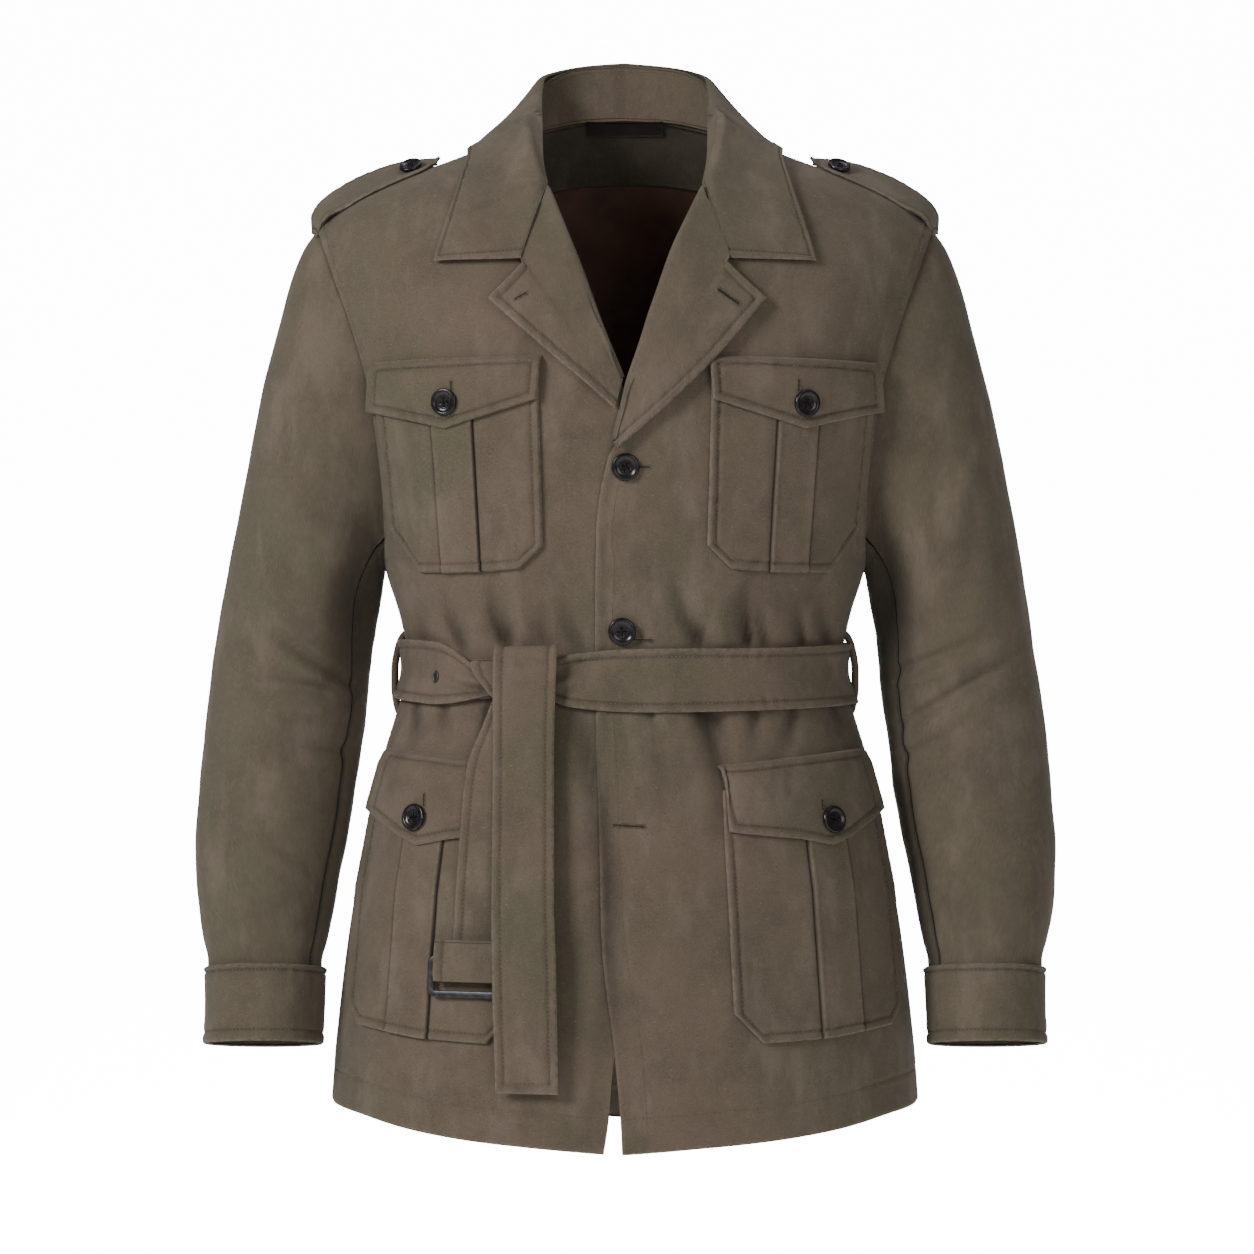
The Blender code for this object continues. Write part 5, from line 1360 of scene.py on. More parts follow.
def lapel_points(side, rows, shares):
    outer_line = column_curve(LAPEL_ROWS[side], 1)
    tip_height, low_outer = LAPEL_ROWS[side][0][0], LAPEL_ROWS[side][-1][0]
    tip = (outer_line(tip_height), tip_height)
    lapel_off = column_curve(LAPEL_OFF_ROWS, 1)
    down = rows[:, None]
    inner_height = mix(GORGE[1] - LAPEL_SEAM_DROP, LAPEL_END[side], down)
    outer_height = mix(tip_height, low_outer, down)
    inner_distance = front_edge[side](inner_height)
    outer_distance = outer_line(outer_height)
    roll_at = np.linspace(0.0, 1.0, 9)
    keys = np.linspace(0.0, 1.0, len(LAPEL_ROLL))
    shift = np.interp(roll_at, keys, [row[0] for row in LAPEL_ROLL])[None, :]
    off = smooth_curve(keys, [row[1] for row in LAPEL_ROLL])(roll_at)[None, :]
    distance = inner_distance + shift * ease(0.35 + 2.0 * down)
    roll = on_body("front", side, distance, inner_height + 0.0 * shift, off + overlap_lift(side, distance))
    share = shares[None, :]
    distance = mix(inner_distance, outer_distance, share)
    height = mix(inner_height, outer_height, share)
    first = np.clip(share / LAPEL_NOTCH_AT, 0.0, 1.0)
    last = np.clip((share - LAPEL_NOTCH_AT) / (1.0 - LAPEL_NOTCH_AT), 0.0, 1.0)
    top_x = mix(mix(GORGE[0], NOTCH[0], first), tip[0], last)
    top_z = mix(mix(GORGE[1], NOTCH[1], first), tip[1], last)
    bend = (1.0 - down) ** 2
    distance = distance + bend * (top_x - mix(GORGE[0], tip[0], share)) - LAPEL_SEAM_SHIFT * (1.0 - down)
    height = height + bend * (top_z - mix(GORGE[1], tip[1], share)) - 0.5 * LAPEL_SEAM_DROP * (1.0 - down)
    tucked = bend * ease(first * 4.0) * (share <= LAPEL_NOTCH_AT)
    distance = distance + LAPEL_TUCK * tucked
    height = height + 0.3 * LAPEL_TUCK * tucked
    flat = on_body("front", side, distance, height, lapel_off(share) - 0.0010 * tucked + overlap_lift(side, distance))
    return np.concatenate([roll, flat], 1)


def patch_frame(patch, side):
    """Grid lines of a pocket or flap, and its size."""
    width = abs(patch["outer"][0] - patch["inner"][0]) * 1.02
    tall = abs(patch["top"][0][1] - min(z for _, z in patch["bottom"]))
    shares = fine_lines(width, 0.0032)
    if patch["pleat"]:
        lines = [edge + step for edge in patch["pleat"] for step in PLEAT_STEPS]
        shares = np.array([s for s in shares if all(abs(s - line) > 0.006 for line in lines)] + lines)
    shares = np.unique(np.concatenate([shares, [share for share, _ in patch["bottom"]][1:-1]]))
    shares = shares[np.concatenate([[True], np.diff(shares) > 0.0015])]
    return shares, fine_lines(tall, 0.0034), width, tall


def patch_points(patch, side, shares, downs, detail):
    share, down = np.meshgrid(shares, downs)
    top = broken_line(patch["top"], share)
    bottom = broken_line(patch["bottom"], share)
    height = mix(top, bottom, down)
    first, last = patch["top"][0][1], min(z for _, z in patch["bottom"])
    edge_share = (height - first) / (last - first)
    inner = mix(*patch["inner"], edge_share)
    outer = np.minimum(mix(*patch["outer"], edge_share), PATCH_REACH * half_width(height))
    distance = mix(inner, outer, share)
    low_off, mid_off, far_off = patch["off"]
    off = mix(mix(low_off, mid_off, ease(down / 0.28)), far_off, down) + detail
    return on_body("front", side, distance, height, off + patch["wall"])


def around(turn, height, off):
    """Points over the body at turns in degrees: 0 at the front middle, 90 at the wearer's left."""
    turn, height, off = np.broadcast_arrays(np.asarray(turn, float) % 360.0, height, off)
    points = np.zeros(turn.shape + (3,))
    for quarter, (face, side) in enumerate((("front", "left"), ("back", "left"), ("back", "right"), ("front", "right"))):
        here = (turn // 90.0).astype(int) == quarter
        if not here.any():
            continue
        share = (turn[here] % 90.0) / 90.0
        if quarter in (1, 3):
            share = 1.0 - share
        points[here] = on_body(face, side, distance_at(share, height[here]), height[here], off[here], folds=False)
    return points


def strip_points(rows, places, shares, shape=None):
    """A strap over the right front; places run from 0 to 1 along its table."""
    keys = np.linspace(0.0, 1.0, len(rows))
    steps = np.array([(row[0], row[1] * 1.0) for row in rows])
    lengths = np.concatenate([[0.0], np.cumsum(np.linalg.norm(np.diff(steps, axis=0), axis=1))])
    keys = lengths / lengths[-1]
    height, off, inner, outer = (smooth_curve(keys, [row[k] for row in rows]) for k in range(4))
    place = np.asarray(places)[:, None]
    share = np.asarray(shares)[None, :]
    x = mix(inner(place), outer(place), share)
    lift = 0.0 if shape is None else shape(place, share, x)
    z = height(place) + 0.0 * share
    return on_body("front", "right", -x, z, off(place) + lift, folds=False)


def shoulder_surface(side, x, y):
    is_front = y < 0.0
    low = np.full(np.broadcast(x, y).shape, ARCH_START)
    high = shoulder_height(x) + 0.0 * low
    for _ in range(24):
        middle = (low + high) / 2.0
        turn = turn_at(x, middle)
        front = np.abs(body_point("front", side, turn, middle, folds=False)[..., 1])
        back = np.abs(body_point("back", side, turn, middle, folds=False)[..., 1])
        deep = np.where(is_front, front, back) > np.abs(y)
        low, high = np.where(deep, middle, low), np.where(deep, high, middle)
    return low


def rest_height(side, x, y, off):
    step = 0.001
    slope = (shoulder_surface(side, x, y + step) - shoulder_surface(side, x, y - step)) / (2.0 * step)
    return shoulder_surface(side, x, y) + off * np.sqrt(1.0 + np.clip(slope, -1.2, 1.2) ** 2)


def epaulette_points(side, places, shares):
    sign = SIDE_SIGN[side]
    curves = [smooth_curve([row[0] for row in EPAULETTE_LOOK], [row[k] for row in EPAULETTE_LOOK]) for k in range(1, 7)]
    place = places[:, None]
    front_x, front_y, front_z, back_x, back_y, back_z = (curve(place) for curve in curves)
    share = shares[None, :]
    x = mix(front_x, back_x, share)
    y = mix(front_y, back_y, share)
    z = mix(front_z, back_z, share) + 0.0022 * np.sin(math.pi * share)
    rest = rest_height(side, x, y, EPAULETTE_WALL + EPAULETTE_CLEAR)
    z = z + np.maximum(rest - z, 0.0) * (1.0 - ease((place - 0.62) / 0.16))
    return np.stack([sign * x, y, z], -1)


def node_group(name, inputs, outputs):
    """A shader group with named sockets, and a helper that adds nodes to it."""
    tree = bpy.data.node_groups.new(name, "ShaderNodeTree")
    for kind, label, default in inputs:
        socket = tree.interface.new_socket(label, in_out="INPUT", socket_type=kind)
        if default is not None:
            socket.default_value = default
    for kind, label in outputs:
        tree.interface.new_socket(label, in_out="OUTPUT", socket_type=kind)
    return tree, tree.nodes.new("NodeGroupInput"), tree.nodes.new("NodeGroupOutput")


def add_node(tree, kind, links=(), **settings):
    node = tree.nodes.new(kind)
    for key, value in settings.items():
        setattr(node, key, value)
    for socket, source in dict(links).items():
        target = node.inputs[socket]
        if isinstance(source, bpy.types.NodeSocket):
            tree.links.new(source, target)
        else:
            target.default_value = source
    return node


def maths(tree, operation, a, b=0.0, c=0.0):
    node = add_node(tree, "ShaderNodeMath", operation=operation)
    for socket, value in zip(node.inputs, (a, b, c)):
        if isinstance(value, bpy.types.NodeSocket):
            tree.links.new(value, socket)
        else:
            socket.default_value = value
    return node.outputs[0]


def ramp(tree, value, low, high):
    return add_node(
        tree, "ShaderNodeMapRange", {"Value": value, "From Min": low, "From Max": high}, interpolation_type="SMOOTHSTEP"
    ).outputs["Result"]


def blend_colour(tree, share, first, second, mode="MIX"):
    node = add_node(tree, "ShaderNodeMix", data_type="RGBA", blend_type=mode)
    for socket, value in ((node.inputs[0], share), (node.inputs[6], first), (node.inputs[7], second)):
        if isinstance(value, bpy.types.NodeSocket):
            tree.links.new(value, socket)
        else:
            socket.default_value = value
    return node.outputs[2]


def noise(tree, vector, scale, detail=2.0, rough=0.5):
    return add_node(
        tree, "ShaderNodeTexNoise", {"Vector": vector, "Scale": scale, "Detail": detail, "Roughness": rough}
    ).outputs["Fac"]


def stretched(tree, vector, scale):
    return add_node(tree, "ShaderNodeMapping", {"Vector": vector, "Scale": scale}).outputs["Vector"]


def woven_cotton_group():
    """Colour, roughness and height of the washed cotton: soft mottling, light slubs and thread grain."""
    tree, ins, outs = node_group(
        "woven_cotton",
        [("NodeSocketVector", "Weave", None), ("NodeSocketVector", "Place", None), ("NodeSocketFloat", "Wear", 0.0),
         ("NodeSocketFloat", "Deep", 0.0), ("NodeSocketFloat", "Tone", 1.0)],
        [("NodeSocketColor", "Colour"), ("NodeSocketFloat", "Roughness"), ("NodeSocketFloat", "Height")],
    )
    place, weave = ins.outputs["Place"], ins.outputs["Weave"]
    cloud = ramp(tree, noise(tree, place, 8.0, 4.0, 0.6), 0.34, 0.66)
    colour = blend_colour(tree, cloud, COTTON_OLIVE, COTTON_TAUPE)
    aside = maths(tree, "ABSOLUTE", add_node(tree, "ShaderNodeSeparateXYZ", {"Vector": place}).outputs["X"])
    greener = maths(tree, "MULTIPLY", ramp(tree, aside, 0.10, 0.27), maths(tree, "ADD", cloud, 0.25))
    colour = blend_colour(tree, maths(tree, "MULTIPLY", greener, 0.40), colour, COTTON_GREEN)
    patchy = noise(tree, place, 26.0, 4.0, 0.6)
    colour = blend_colour(tree, maths(tree, "MULTIPLY", ramp(tree, patchy, 0.44, 0.68), 0.52), colour, COTTON_DARK)
    brushed = noise(tree, stretched(tree, place, (34.0, 34.0, 15.0)), 1.0, 4.0, 0.6)
    colour = blend_colour(tree, maths(tree, "MULTIPLY", ramp(tree, brushed, 0.48, 0.70), 0.44), colour, COTTON_LIGHT)
    rubbed = noise(tree, place, 150.0, 3.0, 0.65)
    colour = blend_colour(tree, maths(tree, "MULTIPLY", ramp(tree, rubbed, 0.46, 0.72), 0.14), colour, COTTON_LIGHT)
    grain = noise(tree, stretched(tree, weave, (620.0, 880.0, 1.0)), 1.0, 2.0, 0.6)
    colour = blend_colour(tree, maths(tree, "MULTIPLY", ramp(tree, grain, 0.46, 0.72), 0.32), colour, COTTON_LIGHT)
    pits = noise(tree, stretched(tree, weave, (900.0, 560.0, 1.0)), 1.0, 1.0, 0.5)
    colour = blend_colour(tree, maths(tree, "MULTIPLY", ramp(tree, pits, 0.54, 0.78), 0.42), colour, COTTON_DEEP)
    slub = noise(tree, stretched(tree, weave, (260.0, 900.0, 1.0)), 1.0, 1.0, 0.4)
    slubs = ramp(tree, slub, 0.68, 0.78)
    colour = blend_colour(tree, maths(tree, "MULTIPLY", slubs, 0.30), colour, COTTON_FLECK)
    upright = noise(tree, stretched(tree, weave, (900.0, 300.0, 1.0)), 1.0, 1.0, 0.4)
    colour = blend_colour(tree, maths(tree, "MULTIPLY", ramp(tree, upright, 0.69, 0.80), 0.22), colour, COTTON_FLECK)
    worn = maths(tree, "MULTIPLY", ins.outputs["Wear"], ramp(tree, noise(tree, place, 260.0, 2.0), 0.30, 0.62))
    colour = blend_colour(tree, maths(tree, "MULTIPLY", worn, 0.28), colour, COTTON_FLECK)
    # Deep mixes in COTTON_SHADE: painted shade in creases, seams, stitch lines, pleat lines, rim walls and under the
    # arms
    colour = blend_colour(tree, ins.outputs["Deep"], colour, COTTON_SHADE)
    toned = add_node(tree, "ShaderNodeHueSaturation", {"Value": ins.outputs["Tone"], "Color": colour}).outputs["Color"]
    tree.links.new(toned, outs.inputs["Colour"])
    rough = add_node(
        tree, "ShaderNodeMapRange", {"Value": grain, "From Min": 0.3, "From Max": 0.7, "To Min": 0.86, "To Max": 0.96}
    ).outputs["Result"]
    tree.links.new(rough, outs.inputs["Roughness"])
    height = maths(tree, "ADD", maths(tree, "MULTIPLY", grain, 0.7), maths(tree, "MULTIPLY", slubs, 0.3))
    tree.links.new(height, outs.inputs["Height"])
    return tree


def plain_group(name, colour, speck, scale, rough, spread):
    """Colour and roughness of a smooth material with a faint uneven tone."""
    tree, ins, outs = node_group(
        name, [("NodeSocketVector", "Place", None)], [("NodeSocketColor", "Colour"), ("NodeSocketFloat", "Roughness")]
    )
    cloud = noise(tree, ins.outputs["Place"], scale, 3.0)
    tone = blend_colour(tree, ramp(tree, cloud, 0.35, 0.7), colour, speck)
    tree.links.new(tone, outs.inputs["Colour"])
    made = add_node(
        tree, "ShaderNodeMapRange", {"Value": cloud, "To Min": rough - spread, "To Max": rough + spread}
    ).outputs["Result"]
    tree.links.new(made, outs.inputs["Roughness"])
    return tree


def add_group(tree, group, links):
    node = tree.nodes.new("ShaderNodeGroup")
    node.node_tree = group
    for socket, source in links.items():
        if isinstance(source, bpy.types.NodeSocket):
            tree.links.new(source, node.inputs[socket])
        else:
            node.inputs[socket].default_value = source
    return node


def new_material(name):
    material = bpy.data.materials.new(name)
    material.use_nodes = True
    tree = material.node_tree
    return material, tree, tree.nodes["Principled BSDF"]


cotton_group = woven_cotton_group()


def cotton_material(name, tone=1.0, wear=1.0):
    material, tree, shader = new_material(name)
    weave = add_node(tree, "ShaderNodeUVMap", uv_map="weave").outputs["UV"]
    place = add_node(tree, "ShaderNodeTexCoord").outputs["Object"]
    worn = add_node(tree, "ShaderNodeAttribute", attribute_name="wear").outputs["Fac"]
    deep = add_node(tree, "ShaderNodeAttribute", attribute_name="deep").outputs["Fac"]
    group = add_group(
        tree,
        cotton_group,
        {"Weave": weave, "Place": place, "Wear": maths(tree, "MULTIPLY", worn, wear), "Deep": deep, "Tone": tone},
    )
    bump = add_node(
        tree, "ShaderNodeBump", {"Strength": 0.55, "Distance": 0.0006, "Height": group.outputs["Height"]}
    ).outputs["Normal"]
    tree.links.new(group.outputs["Colour"], shader.inputs["Base Color"])
    tree.links.new(group.outputs["Roughness"], shader.inputs["Roughness"])
    tree.links.new(bump, shader.inputs["Normal"])
    shader.inputs["Specular IOR Level"].default_value = 0.22
    shader.inputs["Sheen Weight"].default_value = 0.07
    shader.inputs["Sheen Roughness"].default_value = 0.6
    return material


def plain_material(name, group, metallic=0.0, coat=0.0, specular=0.5):
    material, tree, shader = new_material(name)
    place = add_node(tree, "ShaderNodeTexCoord").outputs["Object"]
    node = add_group(tree, group, {"Place": place})
    tree.links.new(node.outputs["Colour"], shader.inputs["Base Color"])
    tree.links.new(node.outputs["Roughness"], shader.inputs["Roughness"])
    shader.inputs["Metallic"].default_value = metallic
    shader.inputs["Coat Weight"].default_value = coat
    shader.inputs["Coat Roughness"].default_value = 0.12
    shader.inputs["Specular IOR Level"].default_value = specular
    return material


cotton = cotton_material("cotton_cloth")
cotton_rim = cotton_material("cotton_straps", 1.0, 1.0)
# A darker copy of the cotton: painted shade for the facing inside the neck.
cotton_painted_shade = cotton_material("cotton_painted_shade", 0.53, 0.5)
lining_cloth = plain_material("lining_cloth", plain_group("smooth_lining", (0.088, 0.042, 0.027, 1.0), (0.062, 0.030, 0.021, 1.0), 30.0, 0.55, 0.08), specular=0.3)
label_tape = plain_material("label_tape", plain_group("label_weave", (0.016, 0.013, 0.012, 1.0), (0.022, 0.018, 0.015, 1.0), 300.0, 0.6, 0.1), specular=0.3)
horn = plain_material("button_horn", plain_group("dark_horn", (0.007, 0.005, 0.006, 1.0), (0.017, 0.012, 0.014, 1.0), 160.0, 0.24, 0.06), coat=0.12, specular=0.4)
dark_metal = plain_material("buckle_metal", plain_group("dark_metal", (0.045, 0.045, 0.047, 1.0), (0.070, 0.070, 0.072, 1.0), 220.0, 0.36, 0.10), metallic=0.75)
thread_dark = plain_material("thread_tone", plain_group("thread", (0.105, 0.082, 0.057, 1.0), (0.170, 0.135, 0.098, 1.0), 400.0, 0.8, 0.1), specular=0.25)
# Black for the button threads; the same material is painted shade in the buttonhole slits and the belt's hole.
thread_black_and_slit_shade = plain_material("thread_black_and_slit_shade", plain_group("dark_thread_and_slit_shade", (0.016, 0.013, 0.012, 1.0), (0.030, 0.024, 0.02, 1.0), 400.0, 0.7, 0.1), specular=0.25)


def wear_near(d, width=0.0016):
    """Wear that is strongest on an edge."""
    return np.exp(-((d / width) ** 2))


# Body panels
def body_columns(width, step, first):
    near = [0.0, 0.0004, 0.0010, 0.0018, 0.42 * first, 0.66 * first, 0.86 * first, first, 1.14 * first, 1.36 * first, 1.64 * first, 2.0 * first]
    far = [0.0, 0.0006, 0.0014, 0.0028, 0.0046, 0.0058, ARM_STITCH, 0.0076, 0.0088, 0.0098, 0.0120]
    count = round((width - near[-1] - far[-1]) / step)
    middle = [near[-1] + (width - near[-1] - far[-1]) * i / count for i in range(1, count)]
    return np.array(near + middle + [width - place for place in reversed(far)]) / width


panels = {}
for side in ("left", "right"):
    columns = body_columns(0.225, 0.0036, FRONT_STITCH)
    points = front_points(side, columns, 0.0036)
    cloth = Cloth(points, WALL)
    panels["front", side] = cloth
    edge = np.linalg.norm(np.cumsum(np.diff(points, axis=1, prepend=points[:, :1]), axis=1), axis=-1)
    wear = wear_near(edge) * (side == "left") + wear_near(points[..., 2] - points[:1, :, 2], 0.002)
    shade = fold_shade("front", points[..., 0], points[..., 2])
    finish_cloth(f"front_{side}_cloth", cloth, cotton, [f"front_{side}"], wear=wear, deep=shade, rim_shade=0.6)
    columns = body_columns(0.225, 0.0050, 0.003)
    points = back_points(side, columns, 0.0050)
    cloth = Cloth(points, WALL)
    panels["back", side] = cloth
    wear = wear_near(points[..., 2] - points[:1, :, 2], 0.002)
    shade = fold_shade("back", points[..., 0], points[..., 2])
    finish_cloth(f"back_{side}_cloth", cloth, cotton, [f"back_{side}"], wear=wear, deep=shade)

for face in ("front", "back"):
    for side in ("left", "right"):
        cloth = panels[face, side]
        p, n = cloth.points, cloth.normals
        sew("body", p[10], n[10])
        low = len(p) // 2
        rows = range(int(np.argmax(p[:, -1, 2] > ARMHOLE_BOTTOM + 0.004)), p.shape[0] - 1)
        sew("body", p[rows.start:, -7], n[rows.start:, -7])
        if (face, side) == ("front", "left"):
            stop = int(np.argmax(p[:, 0, 2] > LAPEL_END[side] - 0.006))
            sew("body", p[4:stop, 7], n[4:stop, 7])

# Sleeves and cuffs
for side in ("left", "right"):
    sign = SIDE_SIGN[side]
    alongs = np.concatenate([[0.0, 0.0012, 0.003, 0.006, 0.010], np.linspace(0.016, 1.0, 156)])
    for part, first, last, count in (
        ("top", BACK_SEAM_TURN + SEAM_TURN_GAP, FRONT_SEAM_TURN - SEAM_TURN_GAP, 66),
        ("under", FRONT_SEAM_TURN + SEAM_TURN_GAP, 360.0 + BACK_SEAM_TURN - SEAM_TURN_GAP, 44),
    ):
        turns = np.linspace(first, last, count)
        points = sleeve_points(side, alongs, turns)
        axis = points.mean(1, keepdims=True)
        cloth = Cloth(points, WALL, axis)
        from_seam = alongs[:, None] * 0.56 + 0.0 * points[..., 0]
        dip = -0.0022 * np.exp(-((from_seam / 0.0024) ** 2)) + puckers(from_seam, points[..., 2], 61, 0.004, 0.0004)
        angle = np.radians(turns)[None, :] * 0.055
        at_side = np.minimum(angle - angle[:, :1], angle[:, -1:] - angle)
        dip = dip - 0.0007 * np.exp(-((at_side / 0.0016) ** 2))
        cloth.raise_by(dip)
        # Painted shade in the armhole seam and along the sleeve's two seams.
        deep = 0.7 * np.exp(-((from_seam / 0.0016) ** 2)) + 0.5 * np.exp(-((at_side / 0.0009) ** 2))
        # Painted shade on the sleeve's under side, where it lies against the body.
        apart = np.abs((turns - 160.0 + 180.0) % 360.0 - 180.0)[None, :]
        underarm_shade = np.exp(-((apart / 36.0) ** 4)) * (ease(alongs / 0.08) * ease((0.66 - alongs) / 0.30))[:, None]
        deep = np.maximum(deep, 0.55 * underarm_shade)
        finish_cloth(f"sleeve_{side}_{part}_cloth", cloth, cotton, [f"sleeve_{side}_{part}"], deep=deep)
    heights = mix(-0.6315, -0.6880, fine_lines(0.0565, 0.0032, 0.0045, 0.0085))
    turns = np.linspace(0.0, 360.0, 121)[:-1]
    points = cuff_points(side, heights, turns)
    cloth = Cloth(points, CUFF_WALL, points.mean(1, keepdims=True), ring=True)
    d_top = (heights[0] - heights)[:, None] + 0.0 * points[..., 0]
    d_low = (heights - heights[-1])[:, None] + 0.0 * points[..., 0]
    round_way = np.radians(turns)[None, :] * 0.047 + 0.0 * points[..., 0]
    relief_height = np.where(d_top < 0.014, bead(d_top, 0.0045), 0.0) + np.where(d_low < 0.024, bead(d_low, 0.0085), 0.0)
    relief_height = relief_height + puckers(d_top, round_way, 71, 0.0045) + puckers(d_low, round_way, 72, 0.0085)
    cloth.raise_by(relief_height)
    finish_cloth(
        f"cuff_{side}_cloth", cloth, cotton, [f"cuff_{side}"],
        wear=np.clip(wear_near(d_top, 0.002) + wear_near(d_low, 0.002), 0.0, 1.0),
        deep=stitch_shade(d_top, 0.0045) + stitch_shade(d_low, 0.0085), rim_shade=0.7,
        flat=(0.302, 0.0575),
    )
    sew("cuffs", cloth.points[7], cloth.normals[7], closed=True)
    sew("cuffs", cloth.points[-8], cloth.normals[-8], closed=True)

# Collar
leaf_length = 0.250
shares = fine_lines(0.105, 0.0034, 0.004, COLLAR_STITCH)
alongs = LEAF_END * (1.0 - fine_lines(leaf_length, 0.0036, COLLAR_STITCH, 0.003)[::-1])[::-1]
alongs = np.unique(np.concatenate([[0.0], LEAF_END - LEAF_END * fine_lines(leaf_length, 0.0036, COLLAR_STITCH, 0.003)]))
leaf = Cloth(collar_points(leaf_points, alongs, shares), DOUBLE_WALL)
d_edge = (1.0 - shares)[None, :] * 0.105 + 0.0 * leaf.points[..., 0]
ends = np.abs(LEAF_END - np.concatenate([alongs[:0:-1], alongs]))[:, None] / LEAF_END * leaf_length + 0.0 * d_edge
d = np.minimum(d_edge, ends)
along_run = np.cumsum(np.linalg.norm(np.diff(leaf.points[:, -1], axis=0, prepend=leaf.points[:1, -1]), axis=-1))[:, None]
soft = 0.0007 * ripple(leaf.points, 0.07, 51) * ease(d_edge / 0.02) * ease((0.105 - d_edge) / 0.02)
leaf.raise_by(bead(d, COLLAR_STITCH, 0.0010, 0.0008) + puckers(d, along_run + 0.0 * d, 52, COLLAR_STITCH) + soft)
finish_cloth(
    "collar_leaf_cloth", leaf, cotton, ["collar_leaf"], wear=wear_near(d),
    deep=stitch_shade(d, COLLAR_STITCH), rim_shade=0.7,
)
sew("collar", leaf.points[8:-8, -8], leaf.normals[8:-8, -8])
for i in (7, -8):
    sew("collar", leaf.points[i, 8:-8], leaf.normals[i, 8:-8])
stand_alongs = np.linspace(0.0, 0.90, 70)
stand = Cloth(collar_points(stand_points, stand_alongs, fine_lines(0.042, 0.004, 0.004, 0.004)), WALL)
d_top = (1.0 - fine_lines(0.042, 0.004, 0.004, 0.004))[None, :] * 0.042 + 0.0 * stand.points[..., 0]
finish_cloth("collar_stand_cloth", stand, cotton, ["collar_stand"])
sew("collar", stand.points[6:-6, -8] - stand.normals[6:-6, -8] * WALL, -stand.normals[6:-6, -8])

# Lapels
for side in ("left", "right"):
    tall = 0.19
    rows = fine_lines(tall, 0.0034, LAPEL_STITCH, 0.003)
    shares = fine_lines(0.085, 0.0034, 0.004, LAPEL_STITCH)
    shares = shares[shares > 0.09]
    points = lapel_points(side, rows, shares)
    lapel = Cloth(points, DOUBLE_WALL)
    from_edge = np.linalg.norm(np.diff(points[:, ::-1], axis=1, prepend=points[:, -1:]), axis=-1).cumsum(1)[:, ::-1]
    from_top = np.linalg.norm(np.diff(points, axis=0, prepend=points[:1]), axis=-1).cumsum(0)
    from_top = np.where(np.concatenate([np.zeros(9), shares])[None, :] > LAPEL_NOTCH_AT, from_top, 0.03)
    d = np.minimum(from_edge, from_top)
    soft = 0.0006 * ripple(points, 0.06, 53 if side == "left" else 54) * ease(from_edge / 0.02)
    lapel.raise_by(bead(d, LAPEL_STITCH, 0.0010, 0.0008) + puckers(d, from_top + from_edge, 55, LAPEL_STITCH) + soft)
    finish_cloth(
        f"lapel_{side}_cloth", lapel, cotton, [f"lapel_{side}"], wear=wear_near(d),
        deep=stitch_shade(d, LAPEL_STITCH), rim_shade=0.7,
    )
    sew("collar", lapel.points[4:-6, -8], lapel.normals[4:-6, -8])

# Pockets and flaps
flaps = {}
for side in ("left", "right"):
    for kind, patch in PATCHES.items():
        shares, downs, width, tall = patch_frame(patch, side)
        share, down = np.meshgrid(shares, downs)
        low = broken_line(patch["bottom"], share)
        top = broken_line(patch["top"], share)
        across_in, across_out = share * width, (1.0 - share) * width
        to_top, to_low = down * (top - low), (1.0 - down) * (top - low)
        is_flap = "flap" in kind
        d = np.minimum(np.minimum(across_in, across_out), to_low)
        d = np.minimum(d, to_top) if is_flap else d
        detail = bead(d, STITCH, *((0.0015, 0.0010) if is_flap else (0.0013, 0.0009)))
        detail = detail + puckers(d, across_in + down * tall, 81 + len(kind), STITCH, 0.0004)
        if is_flap:
            detail = detail + 0.0008 * np.exp(-(((to_top - 0.004) / 0.003) ** 2)) - 0.0016 * (1.0 - ease(to_top / 0.003))
        else:
            detail = detail - 0.0010 * (1.0 - ease(np.minimum(across_in, across_out) / 0.0016))
        if patch["pleat"]:
            start, end = patch["pleat"]
            inside = ease((share - start) * width / 0.0010) * ease((end - share) * width / 0.0010)
            detail = detail + PLEAT_RISE * inside
            for line, side_way in ((start, 1.0), (end, -1.0)):
                off_line = (share - line) * width * side_way
                detail = detail - 0.0009 * np.exp(-(((off_line + 0.0006) / 0.0007) ** 2))
                detail = detail + 0.0005 * np.exp(-(((off_line - 0.0022) / 0.0016) ** 2))
        points = patch_points(patch, side, shares, downs, detail)
        cloth = Cloth(points, patch["wall"])
        wear = wear_near(d, 0.0016)
        deep = 0.0 * d
        for line, way, depth in zip(patch["pleat"] or (), (1.0, -1.0), PLEAT_SHADE[side]):
            off_line = (share - line) * width * way
            deep = deep + depth * np.exp(-(((off_line + 0.0003) / 0.0007) ** 2))
            wear = wear + 0.5 * np.exp(-(((off_line - 0.0016) / 0.0009) ** 2))
        finish_cloth(
            f"{kind}_{side}_cloth", cloth, cotton, [f"{kind}_{side}"], wear=wear, deep=deep + stitch_shade(d), rim_shade=0.75,
        )
        i, j = (7, 7)
        jj = int(np.argmin(np.abs(shares * width - STITCH)))
        kk = len(shares) - 1 - int(np.argmin(np.abs((1.0 - shares) * width - STITCH)))
        p, n = cloth.points, cloth.normals
        last = len(shares) - 1 - kk
        start_row = 7 if is_flap else 0
        sew("pockets", p[start_row:-7, jj], n[start_row:-7, jj])
        sew("pockets", p[start_row:-7, last], n[start_row:-7, last])
        sew("pockets", p[-8, jj:last + 1], n[-8, jj:last + 1])
        if is_flap:
            sew("pockets", p[7, jj:last + 1], n[7, jj:last + 1])
        flaps[kind, side] = cloth

